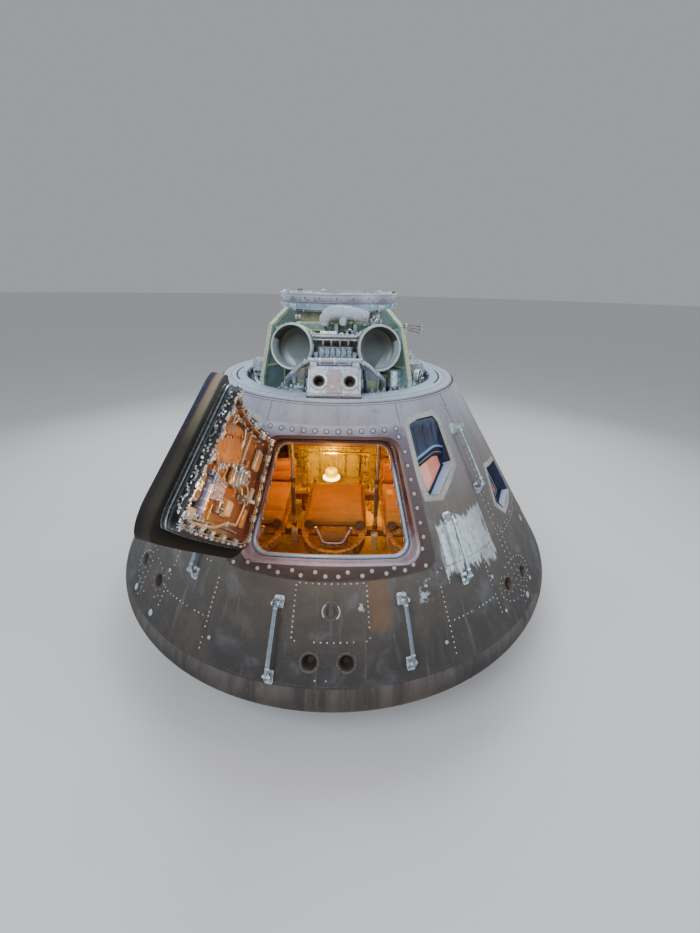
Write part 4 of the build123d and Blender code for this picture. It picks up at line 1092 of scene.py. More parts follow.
def dense(poly, step=.03):
    out = []
    for i in range(len(poly)):
        seg = line(*poly[i], *poly[(i + 1) % len(poly)], step)
        out += seg[:-1]
    return out


for s in (1, -1):
    SMALL += [(s * a, z) for a, z in dense(grown(WIN_R, .020), .034)]
    SMALL += [(s * a, z) for a, z in dense(grown(WIN_S, .022), .036)]


def in_poly(a, z, poly):
    c = False
    for i in range(len(poly)):
        (x0, y0), (x1, y1) = poly[i - 1], poly[i]
        if (y0 > z) != (y1 > z) and a < (x1 - x0) * (z - y0) / (y1 - y0) + x0:
            c = not c
    return c


NOZ = [(-3.2, .783, .052), (3.7, .783, .052), (45.8, .880, .050), (53.8, .850, .050), (-43.6, .888, .050), (-53.3, .888, .050),
       (88, .860, .050), (96, .860, .050), (-88, .860, .050), (-96, .860, .050), (176, .783, .052), (-176, .783, .052)]
RAILS = [(48.85, 1.893, 1.480), (32.5, 1.431, 1.060), (-10.3, 1.078, .690), (15.8, 1.083, .740), (-48.85, 1.893, 1.480), (-32.5, 1.431, 1.060)]
g = G("skin_rivets", M["rivet"], M["plug_ring"])
seen = []
nr = 0
for a, z in SMALL:
    a = (a + 180) % 360 - 180
    if any(in_poly(abs(a), z, grown(w, .006)) for w in (WIN_R, WIN_S)):
        continue
    if any((cone(a, z) - cone(na, nz)).length < r + .016 for na, nz, r in NOZ):
        continue
    if abs(a) < 27.0 and 1.170 < z < 1.995:
        continue
    if any(abs(a - ra) < 1.7 and rb - .03 < z < rt + .03 for ra, rt, rb in RAILS):
        continue
    p = cone(a, z)
    if any((p - q).length < .020 for q in seen[-260:]):
        continue
    seen.append(p)
    F = cframe(a, z, 0, rnd.uniform(0, 90))
    if rnd.random() < .12:
        g.lathe(F, [(0, -.001), (.0050, -.001), (.0050, .0004), (0, .0003)], 8, 1)
        continue
    r = .0052 * rnd.uniform(.9, 1.12)
    g.lathe(F, [(0, -.001), (r, -.001), (r, .0010), (r * .72, .0024), (0, .0029)], 8, 0)
    nr += 1
g.done()

# border plates round the windows
for s, nm in ((1, "right"), (-1, "left")):
    g = G(f"window_borders_{nm}", M["border"])
    for poly, wd in ((WIN_R, .041), (WIN_S, .042)):
        P0, P1 = grown(poly, .0015), grown(poly, wd)
        P0, P1 = [(s * a, z) for a, z in P0], [(s * a, z) for a, z in P1]
        A, B = [], []
        for i in range(len(P0)):
            k = 5
            for j in range(k):
                f = j / k
                q, w_ = P0[(i + 1) % len(P0)], P1[(i + 1) % len(P1)]
                A.append((P0[i][0] + (q[0] - P0[i][0]) * f, P0[i][1] + (q[1] - P0[i][1]) * f))
                B.append((P1[i][0] + (w_[0] - P1[i][0]) * f, P1[i][1] + (w_[1] - P1[i][1]) * f))
        rows = []
        for f, off in ((0, -.002), (0, .0006), (.04, .0013), (.35, .0013), (.65, .0013), (.97, .0013), (1, .0006), (1, -.002)):
            rows.append([cone(a + (b - a) * f, z + (y - z) * f, off) for (a, z), (b, y) in zip(A, B)])
        rows.append(rows[0])
        g.grid(rows, 0, closed=True)
    g.done()

# seams between the panels: a dark gap filler in each
g = G("panel_seams", M["seam"])
for a, z0, z1 in ((-24.5, .690, 1.175), (24.5, .690, 1.175), (-24.5, 1.99, 2.104), (24.5, 1.99, 2.104), (50.5, .675, 2.104), (-50.5, .675, 2.104), (105, .675, 2.104), (-105, .675, 2.104)):
    N = 26
    rows = []
    for i in range(N + 1):
        z = z0 + (z1 - z0) * i / N
        w_ = degrees(.0022 / ((APEX - z) * T33))
        rows.append([cone(a - w_, z, .0), cone(a - w_ * .5, z, .0009), cone(a + w_ * .5, z, .0009), cone(a + w_, z, .0)])
    g.slab(rows, Vector(-cone(a, z0, 1) + cone(a, z0, 0)) * .002)
for z, a0, a1 in ((1.1625, 26.2, 50.4), (1.1625, -50.4, -26.2), (1.1625, 50.6, 104.9), (1.1625, -104.9, -50.6), (1.1625, 105.1, 254.9), (2.1045, 0, 360), (.6725, 0, 360)):
    N = max(8, int(abs(a1 - a0) / 2.5))
    rows = []
    for dz, off in ((-.0018, -.001), (-.0009, .0009), (.0009, .0009), (.0018, -.001)):
        rows.append([cone(a0 + (a1 - a0) * i / N, z + dz, off) for i in range(N + 1)])
    rows.append([cone(a0 + (a1 - a0) * i / N, z, -.003) for i in range(N + 1)])
    rows.append(rows[0])
    g.grid(rows, 0)
g.done()

# ports and plugs on the lower shell
g = G("shell_ports", M["plug"], M["plug_ring"], M["blueplug"], M["noz_rim"], M["port"])
F = cframe(.7, 1.030, 0)
g.lathe(F, [(.044, -.002), (.060, -.002), (.061, .0018), (.058, .0034), (.050, .0036), (.0465, .0022), (.044, -.002)], 40, 3)
for a0_ in (-48, 128):
    g.lathe(F, [(.0480, .0030), (.0572, .0030), (.0568, .0042), (.0500, .0044), (.0480, .0030)], 14, 0, a0_, a0_ + 88)
g.lathe(F, [(0, -.001), (.0445, -.001), (.0445, .0004), (.030, .0012), (0, .0014)], 36, 4)
g.box(F @ T(0, 0, .0022), .030, .066, .0026, .0012, 1)
for a, z, r, m in ((41, .987, .014, 0), (56, .766, .016, 0), (41.6, .769, .012, 0), (-41, .987, .014, 0), (-51.5, .721, .024, 2), (-41.7, .710, .022, 2), (51.5, .721, .022, 0),
                   (24.0, .79, .012, 0), (-24, .79, .012, 0), (120, .92, .045, 0), (150, 1.25, .030, 0), (-120, .92, .045, 0), (-150, 1.25, .030, 0), (70, 1.02, .030, 0), (-70, 1.02, .030, 0),
                   (165, .80, .014, 0), (-165, .80, .014, 0)):
    F = cframe(a, z, 0, rnd.uniform(0, 90))
    g.lathe(F, [(0, -.001), (r * 1.30, -.001), (r * 1.30, .0010), (r * 1.08, .0012), (0, .0010)], 22, 1)
    g.lathe(F, [(0, .0004), (r, .0004), (r, .0030), (r * .86, .0046), (r * .45, .0050), (0, .0050)], 22, m)
    for i in range(3):
        t = i * 2.094
        g.lathe(F @ T(r * .62 * cos(t), r * .62 * sin(t), .0046), [(0, 0), (r * .11, 0), (r * .11, .0009), (0, .0009)], 6, 1)
for a, z, r in ((-47.6, .742, .011), (-44.8, .735, .010), (47.6, .742, .011), (33, .80, .010), (36.5, .80, .010), (28.6, 1.10, .009), (-28.6, 1.10, .009)):
    F = cframe(a, z, 0)
    g.lathe(F, [(0, -.001), (r, -.001), (r, .0006), (0, .0005)], 16, 1)
g.done()

# rims of the small nozzles in the shell
g = G("nozzle_rims", M["noz_rim"], M["noz_in"], M["plug"])
for i, (a, z, r) in enumerate(NOZ):
    F = cframe(a, z, 0)
    g.lathe(F, [(r - .001, -.004), (r + .0095, -.002), (r + .0100, .0014), (r + .0070, .0036), (r + .0015, .0034), (r - .002, .0004), (r - .002, -.004), (r - .001, -.004)], 40, 0)
    if 40 < abs(a) < 60:
        for k in range(8):
            t = pi * 2 * k / 8 + .2
            g.lathe(F @ T((r + .019) * cos(t), (r + .019) * sin(t), 0), [(0, -.001), (.0042, -.001), (.0042, .0016), (0, .0022)], 8, 2)
g.done()

# handrails: clevis with a cross pin at the top, flat bar, looped foot
for i, (a, zt, zb) in enumerate(RAILS):
    g = G(f"handrail_{i + 1}", M["rail"], M["fitting"], M["dark"])
    L = (zt - zb) / C33
    F = cframe(a, (zt + zb) / 2, 0)
    H = .062
    yt, yb = L / 2 - .020, -L / 2 + .020
    # base plate and its bolts
    g.plate(F @ T(0, yt, 0), [(-.027, -.036), (.027, -.036), (.031, -.028), (.031, .028), (.022, .038), (-.022, .038), (-.031, .028), (-.031, -.028)], -.002, .007, .002, 1)
    for sx in (-1, 1):
        for sy in (-1, 1):
            g.bolt(F @ T(sx * .0235, yt + sy * .0240, .007) @ R(rnd.uniform(0, 60), 'Z'), .0052, .0052, 1)
        # ear: a rounded upright
        pts = [(-.026, 0), (-.024, .030), (-.0135, .066)] + [(.0135 * cos(pi - pi * k / 8), .066 + .0125 * sin(pi * k / 8)) for k in range(1, 8)] + [(.0135, .066), (.021, .030), (.022, 0)]
        g.plate(F @ T(sx * .0195 - .0035, yt, .005) @ R(90, 'Y') @ R(90, 'Z'), [(p[0], p[1]) for p in pts], 0, .007, .0015, 1)
        g.bolt(F @ T(sx * .0235, yt, H) @ R(sx * 90, 'Y'), .0068, .0070, 1)
    g.cyl(F @ T(-.024, yt, H) @ R(90, 'Y'), .0062, .048, 14, .001, 2)
    g.box(F @ T(0, yt - .001, .024), .026, .030, .036, .004, 2)
    # bar: rounded flat section with a rib on its edge
    prof = [(-.0115, -.0045), (-.0085, -.0062), (.0085, -.0062), (.0115, -.0045), (.0115, .0045), (.0085, .0062), (-.0020, .0062), (-.0045, .0040), (-.0070, .0040), (-.0080, .0062), (-.0100, .0062), (-.0115, .0045)]
    pts = [(0, yt + .012, H)] + [(0, yt + (yb - yt) * k / 6, H + .0015 * sin(pi * k / 6)) for k in range(0, 7)]
    pts = [F @ Vector(p) for p in pts]
    up = F.to_3x3() @ Vector((0, 0, 1))
    g.loop(pts, prof, 0, closed=False, up=lambda k: up)
    for y in (yt - .030, yb + .050):
        g.box(F @ T(0, y, H), .0275, .012, .0165, .002, 1)
    # looped foot
    g.plate(F @ T(0, yb - .012, 0), [(-.020, -.042), (.020, -.042), (.027, -.030), (.024, .036), (-.024, .036), (-.027, -.030)], -.002, .006, .002, 1)
    for sx in (-1, 1):
        g.bolt(F @ T(sx * .0160, yb - .040, .006) @ R(rnd.uniform(0, 60), 'Z'), .0050, .0050, 1)
        g.bolt(F @ T(sx * .0150, yb + .014, .006) @ R(rnd.uniform(0, 60), 'Z'), .0046, .0048, 1)
    g.pipe([F @ Vector(p) for p in ((-.012, yb + .020, H), (-.016, yb + .002, H - .004), (-.0205, yb - .030, .018), (-.012, yb - .040, .008), (.012, yb - .040, .008), (.0205, yb - .030, .018), (.016, yb + .002, H - .004), (.012, yb + .020, H))], .0058, 10, 1, 4)
    g.cyl(F @ T(-.019, yb + .004, H - .003) @ R(90, 'Y'), .0088, .038, 14, .0015, 1)
    g.bolt(F @ T(.019, yb + .004, H - .003) @ R(90, 'Y'), .0060, .0055, 1)
    g.bolt(F @ T(-.019, yb + .004, H - .003) @ R(-90, 'Y'), .0060, .0055, 1)
    g.box(F @ T(0, yb - .004, .026), .014, .020, .042, .003, 2)
    g.done(replaces=("handrails",))

# ---------------------------------------------------------------- windows
def window_liner(s, nm):
    """the upper part of the recess is a slope painted dark blue as shade, ending in a light bead over a black gasket"""
    F = cframe(s * 34.5, 1.78, 0)
    out = [(-.12, .23), (-.039, .256), (.107, .257), (.138, .209), (.153, -.105), (-.047, -.275), (-.135, -.256), (-.145, -.081)]

    def xs(y, side):
        """left or right edge of the recess at height y"""
        hits = []
        for i in range(len(out)):
            (x0, y0), (x1, y1) = out[i - 1], out[i]
            if (y0 > y) != (y1 > y):
                hits.append(x0 + (x1 - x0) * (y - y0) / (y1 - y0))
        return (min(hits) if side < 0 else max(hits)) if hits else 0.0

    def roof(x, drop=0.0):
        """height of the bead's line at x"""
        f = (x + .135) / .225 if x < .090 else (.150 - x) / .060 * 1.0
        top = .060 - drop
        y = (-.012 - drop) + (top + .012 + drop) * min(1, f) if x < .090 else top - (x - .090) * .52
        return y - .010 * max(0, 1 - abs(x - .090) / .03)

    g = G(f"window_shade_slope_{nm}", M["wblue"], M["wbead"], M["black"], M["sill"])
    N = 18
    rows = []
    for k in range(9):
        f = k / 8
        row = []
        for i in range(N + 1):
            x = -.141 + .287 * i / N
            ytop = .2545 - max(0, (-.039 - x)) * .33 - max(0, x - .107) * 1.45
            y0 = min(ytop, .2525) - .003
            y1 = roof(x)
            y = y0 + (y1 - y0) * f
            lo, hi = xs(y, -1) + .002, xs(y, 1) - .002
            xx = min(max(x, lo), hi)
            d = .016 + .030 * f + .006 * sin(pi * f)
            row.append(F @ Vector((s * xx, y, -d)))
        rows.append(row)
    n = F.to_3x3() @ Vector((0, 0, -1))
    g.slab(rows, n * .006, 0)
    # ribs on the slope
    for x in (-.075, .010, .090):
        pts = []
        for k in range(1, 8):
            f = k / 8
            y = .240 + (roof(x) - .240) * f
            if y < .236:
                pts.append(F @ Vector((s * x, y, -(.014 + .030 * f + .006 * sin(pi * f)))))
        g.pipe(pts, .0022, 6, 0)
    # bead
    pts = []
    for i in range(N + 1):
        x = -.138 + .282 * i / N
        pts.append(F @ Vector((s * x, roof(x) - .001, -.0435)))
    g.pipe(pts, .0085, 10, 1, flat=.7)
    # gasket: two steps below the bead
    for y0, y1, d0, d1, w_ in ((-.006, -.034, .050, .062, 0), (-.034, -.066, .062, .0795, 0)):
        rows = []
        for y, d in ((y0, d0), ((y0 + y1) / 2, d0 + .002), (y1, d1)):
            row = []
            for i in range(N + 1):
                x = -.141 + .289 * i / N
                yy = roof(x) + y
                row.append(F @ Vector((s * min(max(x, xs(yy, -1) + .003), xs(yy, 1) - .003), yy, -d)))
            rows.append(row)
        g.slab(rows, n * .004, 2)
    pts = []
    for i in range(N + 1):
        x = -.136 + .277 * i / N
        pts.append(F @ Vector((s * x, roof(x) - .040, -.0625)))
    g.pipe(pts, .0032, 8, 1, flat=.8)
    # sill along the lower edges
    edge = [(.150, -.080), (.153, -.105), (.053, -.190), (-.047, -.275), (-.135, -.256), (-.139, -.20)]
    rows = []
    for d, inn in ((.003, .0015), (.012, .0030), (.048, .0055), (.0805, .0135)):
        row = []
        for i, (x, y) in enumerate(edge):
            a = Vector(edge[max(i - 1, 0)])
            b = Vector(edge[min(i + 1, len(edge) - 1)])
            t_ = (b - a).normalized()
            nn = Vector((t_.y, -t_.x))
            if nn.dot(Vector((0, 0)) - Vector((x, y))) < 0:
                nn = -nn
            row.append(F @ Vector((s * (x + nn.x * inn), y + nn.y * inn, -d)))
        rows.append(row)
    g.slab(rows, n * .0015, 3)
    g.done()


window_liner(1, "right")
window_liner(-1, "left")
for s, nm in ((1, "right"), (-1, "left")):
    F = cframe(s * 65, 1.39, 0)
    out = [(-.107, .172), (.176, .121), (.185, -.162), (-.148, -.173), (-.226, -.074)]
    # the recess walls are painted dark blue as shade; the lower sills are pale
    g = G(f"side_window_liner_{nm}", M["wblue"], M["black"], M["sill"], M["wbead"])
    ctr = Vector((.0, -.02))

    def inset(k):
        return [Vector(p) + (ctr - Vector(p)).normalized() * k for p in out]
    n = F.to_3x3() @ Vector((0, 0, -1))
    pts0 = []
    for w_ in (0.0015, .004, .010, .026):
        row = []
        P = inset(w_)
        for i in range(len(P)):
            q = P[(i + 1) % len(P)]
            for j in range(5):
                row.append(P[i] + (q - P[i]) * (j / 5))
        pts0.append(row)
    rows = [[F @ Vector((s * p.x, p.y, -d)) for p in row + [row[0]]] for row, d in zip(pts0, (.003, .016, .050, .0795))]
    g.slab(rows, n * .0015, 0)
    ring_ = [F @ Vector((s * p.x, p.y, -.078)) for p in pts0[3]]
    g.pipe(ring_, .0055, 8, 1, closed=True)
    ring_ = [F @ Vector((s * p.x * .90, p.y * .90, -.080)) for p in pts0[3]]
    g.pipe(ring_, .0035, 8, 3, closed=True)
    # pale sill on the lower side and the near side
    for a_, b_ in ((2, 3), (3, 4)):
        rows = []
        for w_, d in ((.002, .0025), (.0055, .014), (.013, .050)):
            P = inset(w_)
            rows.append([F @ Vector((s * (P[a_] + (P[b_] - P[a_]) * (j / 6)).x, (P[a_] + (P[b_] - P[a_]) * (j / 6)).y, -d)) for j in range(7)])
        g.slab(rows, n * .0012, 2)
    g.done()

# ---------------------------------------------------------------- hatch recess and sealing frame
g = G("hatch_seal", M["bead"], M["black"], M["frame"], M["rivet"], M["dark"])


def hloop(o, inset, depth, n=10, side=10):
    return [hp(x, s_, depth) for x, s_ in trap(inset=inset, n=n, side=side, **o)]


g.pipe(hloop(FRAME, -.0105, .0975), .0115, 12, 0, closed=True)
g.pipe(hloop(FRAME, -.0245, .0998), .0022, 8, 1, closed=True)
g.pipe(hloop(FRAME, -.0385, .0992), .0036, 8, 2, closed=True)
g.pipe(hloop(HOLE, .0030, .030), .0042, 8, 2, closed=True)
g.pipe(hloop(HOLE, .0035, .066), .0050, 8, 2, closed=True)
g.pipe(hloop(HOLE, .0040, .0965), .0060, 8, 2, closed=True)
tr = trap(inset=-.0300, n=5, side=14, **FRAME)
for i, (x, s_) in enumerate(tr):
    if i % 3:
        continue
    F = hframe(x, s_, .0998) @ R(180, 'X')
    g.bolt(F, .0040, .0032, 3, washer=False)
# strikers for the latches, inside the clear way
k_ = (FRAME["hb"] - FRAME["ht"]) / (FRAME["st"] - FRAME["sb"])
for s_ in (-.250, -.130, -.010, .110, .230, .330):
    for sx in (-1, 1):
        w_ = FRAME["hb"] - k_ * (s_ - FRAME["sb"])
        F = hframe(sx * (w_ - .003), s_, .137)
        g.box(F, .007, .034, .016, .0015, 4)
        g.cyl(F @ T(-sx * .004, -.012, 0) @ R(90, 'X') @ T(0, 0, -.024), .0032, .024, 10, .001, 3)
g.done()

# lining of the recess, from the bead across the step and out to the surface
g = G("hatch_ledge", M["frame"], M["rivet"], M["black"])
rows = []
for o_, ins, d in ((FRAME, -.0200, .0990), (FRAME, -.0400, .0985), (HOLE, .0060, .0975), (HOLE, .0035, .0940), (HOLE, .0022, .060), (HOLE, .0014, .020), (HOLE, .0008, .0015), (HOLE, .0002, -.0005)):
    L_ = hloop(o_, ins, d)
    rows.append(L_ + [L_[0]])
k_ = len(rows[0])
inn = [[p_ + HN * -.0010 for p_ in row] for row in rows]
g.grid(rows + inn[::-1] + [rows[0]], 0)
g.done()


# ---------------------------------------------------------------- forward compartment
def gf(az, z=0.0):
    """x straight out from the axis at azimuth az, y to the side, z up"""
    t = radians(az)
    x = Vector((sin(t), -cos(t), 0))
    m = Matrix((x, Vector((0, 0, 1)).cross(x), Vector((0, 0, 1)))).transposed().to_4x4()
    m.translation = (0, 0, z)
    return m


# docking ring: flange lips, bolts on both bands, lugs and latches on top
g = G("ring_details", M["ring"], M["ring"], M["dark"], M["olive"], M["ring"])
O = Matrix.Identity(4)
g.lathe(O, [(.4575, 2.6415), (.4625, 2.6420), (.4630, 2.6455), (.4575, 2.6465)], 96, 0)
g.lathe(O, [(.4585, 2.6885), (.4650, 2.6895), (.4655, 2.6935), (.4600, 2.6950)], 96, 0)
g.lathe(O, [(.4600, 2.7395), (.4650, 2.7400), (.4665, 2.7440), (.4650, 2.7495), (.4560, 2.7500), (.4545, 2.7480)], 96, 0)
g.lathe(O, [(.3830, 2.7480), (.3835, 2.7515), (.3900, 2.7520), (.3910, 2.7480)], 80, 1)
g.lathe(O, [(.3790, 2.634), (.3770, 2.640), (.3770, 2.690), (.3800, 2.700), (.3812, 2.700)], 72, 2)
for i in range(36):
    a = i * 10 + 3
    F = gf(a, 2.667) @ T(.4578, 0, 0) @ R(90, 'Y')
    if i % 3:
        g.bolt(F, .0052, .0060, 1)
    else:
        g.box(F @ T(0, 0, .004), .026, .020, .010, .002, 4)
        g.bolt(F @ T(0, 0, .008), .0048, .0055, 1)
for i in range(48):
    a = i * 7.5
    F = gf(a, 2.718) @ T(.4606, 0, 0) @ R(90, 'Y')
    g.lathe(F, [(0, -.001), (.0056, -.001), (.0056, .0016), (.0040, .0026), (0, .0028)], 10, 0 if i % 2 else 2)
    if i % 4 == 1:
        g.box(gf(a, 2.7035) @ T(.4625, 0, 0), .006, .034, .007, .0015, 1)
for i in range(24):
    a = i * 15 + 7.5
    F = gf(a, 2.748) @ T(.404, 0, 0)
    g.bolt(F, .0048, .0050, 1)
for a, w_, h_, k in ((-31, .050, .013, 0), (-26, .018, .016, 0), (-19, .060, .008, 0), (-8.5, .010, .006, 2), (-3, .030, .005, 2), (6, .050, .006, 0), (13.5, .060, .009, 0), (22, .070, .010, 0), (31, .040, .008, 0), (38, .014, .008, 0),
                     (62, .040, .014, 4), (90, .050, .018, 2), (128, .036, .014, 4), (160, .050, .018, 3), (200, .036, .014, 4), (232, .050, .018, 2), (270, .036, .014, 4), (300, .040, .016, 3)):
    F = gf(a, 2.748) @ T(.437, 0, 0)
    g.box(F @ T(0, 0, h_ / 2), .024, w_, h_, .002, k, .82, .9)
    g.bolt(F @ T(0, w_ * .28, h_), .0036, .0036, 1, False)
    g.bolt(F @ T(0, -w_ * .28, h_), .0036, .0036, 1, False)
for a in (-45, 45, 135, 225):
    F = gf(a, 2.650) @ T(.462, 0, 0)
    g.box(F, .012, .070, .050, .003, 4)
    g.box(F @ T(.008, 0, .004), .010, .030, .034, .003, 1)
    for sy in (-1, 1):
        g.bolt(F @ T(.006, sy * .025, .010) @ R(90, 'Y'), .0050, .006, 1)
        g.bolt(F @ T(.006, sy * .025, -.012) @ R(90, 'Y'), .0050, .006, 1)
# tie straps that hang from the lower lip
for a in range(0, 360, 20):
    F = gf(a + 7, 2.634) @ T(.449, 0, 0)
    g.box(F, .006, .012, .020, .0012, 1)
g.done()

# tunnel wall: bands, rivet rows, clips and runs of line
g = G("tunnel_details", M["tunnel"], M["olive"], M["silver"], M["dark"], M["fitting"], M["wrap"])
for z, h_, k in ((2.096, .030, 1), (2.215, .012, 4), (2.395, .012, 4), (2.570, .026, 1), (2.614, .012, 0)):
    g.lathe(O, [(.3990, z - h_ / 2), (.4040, z - h_ / 2 + .001), (.4040, z + h_ / 2 - .001), (.3990, z + h_ / 2)], 80, k)
for z in (2.088, 2.104, 2.563, 2.578):
    for i in range(60):
        F = gf(i * 6 + (3 if z in (2.104, 2.578) else 0), z) @ T(.4038, 0, 0) @ R(90, 'Y')
        g.lathe(F, [(.0040, 0), (.0030, .0018), (0, .0022)], 6, 2)
for i in range(16):
    a = i * 22.5 + 11.25
    if abs(((a + 180) % 360) - 180) < 6:
        continue
    F = gf(a, 2.34) @ T(.402, 0, 0)
    g.box(F, .006, .018, .440, .0015, 0)
    for k in range(9):
        g.lathe(F @ T(.0028, 0, -.19 + .0475 * k) @ R(90, 'Y'), [(.0034, 0), (.0025, .0016), (0, .002)], 6, 2)
for z, r_, k, a0_, a1_ in ((2.150, .0075, 3, -43, 43), (2.172, .0055, 5, -43, 43), (2.300, .0065, 3, 47, 133), (2.325, .0055, 2, 47, 133), (2.300, .0065, 3, 227, 313), (2.325, .0055, 2, 227, 313), (2.180, .0075, 3, 137, 223), (2.450, .0050, 2, 137, 223)):
    g.torus(gf(0, z) @ R(-90, 'Z'), .4115 + r_, r_, 36, 8, k, a0_ + 90, a1_ + 90)
    n_ = 5
    for j in range(n_):
        a = a0_ + (a1_ - a0_) * (j + .5) / n_
        F = gf(a, z) @ T(.4125, 0, 0)
        g.box(F, .020 + r_, .012, r_ * 2 + .010, .0015, 2)
        g.bolt(F @ T(.010 + r_ / 2, 0, r_ + .002) @ R(90, 'Y'), .0034, .004, 2, False)
g.done()

# gusset plates: flange strips with rivets, stiffeners, foot bolts
g = G("gusset_details", M["green_lip"], M["green"], M["silver"], M["dark"])
LIP = [(.776, 2.078), (.772, 2.180), (.668, 2.540), (.520, 2.650)]
for az in (45, 135, 225, 315):
    F = gf(az)
    for i in range(3):
        (r0, z0), (r1, z1) = LIP[i], LIP[i + 1]
        a, b = Vector((r0, 0, z0)), Vector((r1, 0, z1))
        d = (b - a).normalized()
        nrm = Vector((d.z, 0, -d.x))
        L = (b - a).length
        Q = Matrix((d, Vector((0, 1, 0)), d.cross(Vector((0, 1, 0))))).transposed().to_4x4()
        Q.translation = (a + b) / 2 + nrm * .0012
        g.box(F @ Q, L - .004, .0445, .0032, .0008, 0)
        n_ = max(2, int(L / .030))
        for j in range(n_):
            for sy in (-1, 1):
                P = a + d * (L * (j + .5) / n_) + nrm * .0024 + Vector((0, sy * .0145, 0))
                g.lathe(F @ axes(P, nrm), [(.0042, 0), (.0042, .0010), (.0026, .0024), (0, .0028)], 7, 2)
        # angle behind the flange
        for sy in (-1, 1):
            P0, P1 = a - nrm * .014 + Vector((0, sy * .0085, 0)), b - nrm * .014 + Vector((0, sy * .0085, 0))
            Q.translation = (P0 + P1) / 2
            g.box(F @ Q, L - .03, .0055, .020, .001, 0)
    for sy in (-1, 1):
        for (r0, z0), (r1, z1) in (((.412, 2.52), (.640, 2.52)), ((.412, 2.26), (.730, 2.26)), ((.575, 2.10), (.560, 2.46))):
            a, b = Vector((r0, sy * .010, z0)), Vector((r1, sy * .010, z1))
            d = (b - a).normalized()
            Q = Matrix((d, Vector((0, 1, 0)), d.cross(Vector((0, 1, 0))))).transposed().to_4x4()
            Q.translation = (a + b) / 2
            g.box(F @ Q, (b - a).length, .008, .014, .0015, 0)
            for j in range(7):
                P = a + (b - a) * ((j + .5) / 7)
                g.lathe(F @ T(P.x, P.y + sy * .004, P.z) @ R(-90 * sy, 'X'), [(.0030, 0), (.0022, .0014), (0, .0018)], 6, 2)
        for j in range(6):
            E = F @ T(.440 + j * .060, sy * .016, 2.0755)
            g.box(E @ T(0, 0, .003), .040, .020, .006, .001, 0)
            g.bolt(E @ T(0, sy * .002, .006), .0052, .0055, 2)
    for j in range(5):
        E = F @ T(.783, 0, 2.090 + j * .018) @ R(90, 'Y')
        if j % 2 == 0:
            g.bolt(E @ T(0, .013, -.004), .0045, .006, 2)
            g.bolt(E @ T(0, -.013, -.004), .0045, .006, 2)
g.done()

# drogue mortars: bright rim, liner with a painted lit crescent, straps, breech fittings
for sx, nm in ((1, "right"), (-1, "left")):
    g = G(f"mortar_{nm}", M["mortar"], M["lining"], M["pale_ledge"], M["silver"], M["dark"], M["green_lip"])
    c = Vector((.305 * sx, -.650, 2.417))
    F = axes(c, (.27 * sx, -.94, .17), (1, 0, 0))
    if (F.to_3x3() @ Vector((0, 1, 0))).z < 0:
        F = F @ R(180, 'Z')
    g.torus(F @ T(0, 0, .001), .1485, .0055, 72, 10, 2)
    g.lathe(F, [(.1410, .004), (.1445, .0062), (.1500, .0060), (.1545, .002), (.1550, -.008), (.1560, -.009)], 72, 2)
    g.lathe(F, [(.1560, -.0205), (.1575, -.0195), (.1578, -.0110), (.1560, -.0085)], 72, 3)
    # liner with a step and its floor
    g.lathe(F, [(.1415, .0035), (.1402, .0010), (.1396, -.090), (.1340, -.1130), (.1180, -.1250), (.0800, -.1288), (0, -.1296)], 72, 1)
    # bolts on the rim and on the liner's step
    for i in range(24):
        t = 2 * pi * i / 24
        g.bolt(F @ T(.1585 * cos(t), .1585 * sin(t), -.0150) @ axes((0, 0, 0), (cos(t), sin(t), 0)), .0034, .0040, 3, False)
    # straps round the can and their fittings
    for z_, w_ in ((-.052, .020), (-.112, .024), (-.150, .016)):
        g.lathe(F, [(.1480, z_ - w_ / 2), (.1504, z_ - w_ / 2 + .001), (.1504, z_ + w_ / 2 - .001), (.1480, z_ + w_ / 2)], 64, 3 if z_ > -.1 else 5)
        for t_ in ((28, 150, 268) if sx > 0 else (152, 30, 272)):
            t = radians(t_)
            E = F @ T(.1515 * cos(t), .1515 * sin(t), z_) @ axes((0, 0, 0), (cos(t), sin(t), 0), (0, 0, 1))
            g.box(E @ T(0, 0, .006), w_ + .006, .034, .012, .002, 3)
            g.cyl(E @ T(0, -.024, .010) @ R(-90, 'X'), .0042, .048, 10, .001, 0)
            g.bolt(E @ T(0, .024, .010) @ R(-90, 'X'), .0046, .005, 3, False)
    # breech
    g.lathe(F, [(.0800, -.165), (.0830, -.172), (.0830, -.184), (.0800, -.190), (.0800, -.212), (.0845, -.216), (.0845, -.232), (.0800, -.236)], 40, 3)
    g.cyl(F @ T(0, 0, -.262), .052, .014, 28, .002, 0)
    for i in range(8):
        t = 2 * pi * i / 8
        g.bolt(F @ T(.068 * cos(t), .068 * sin(t), -.2505) @ R(180, 'X'), .0048, .006, 3, False)
    # foot: side rails, bolts, stiffening webs and a lead along it
    X = .250 * sx
    for qx in (-.0605, .0605):
        g.box(T(X + qx, -.5925, 2.170), .012, .010, .158, .002, 5)
        for k in range(4):
            g.lathe(T(X + qx, -.5975, 2.116 + .040 * k) @ R(90, 'X'), [(.0036, 0), (.0026, .0016), (0, .002)], 6, 3)
    for qx in (-.048, 0, .048):
        for qy in (-.598, -.497):
            g.bolt(T(X + qx, qy, 2.089), .0058, .0065, 3)
    g.box(T(X, -.5945, 2.150), .085, .008, .060, .003, 5)
    g.pipe([(X - sx * .035, -.602, 2.090), (X - sx * .034, -.606, 2.160), (X - sx * .046, -.604, 2.220), (X - sx * .050, -.596, 2.255)], .0052, 8, 4, 6)
    g.pipe([(X - sx * .022, -.602, 2.090), (X - sx * .022, -.606, 2.170), (X - sx * .030, -.604, 2.230), (X - sx * .036, -.598, 2.262)], .0038, 8, 3, 6)
    g.done()

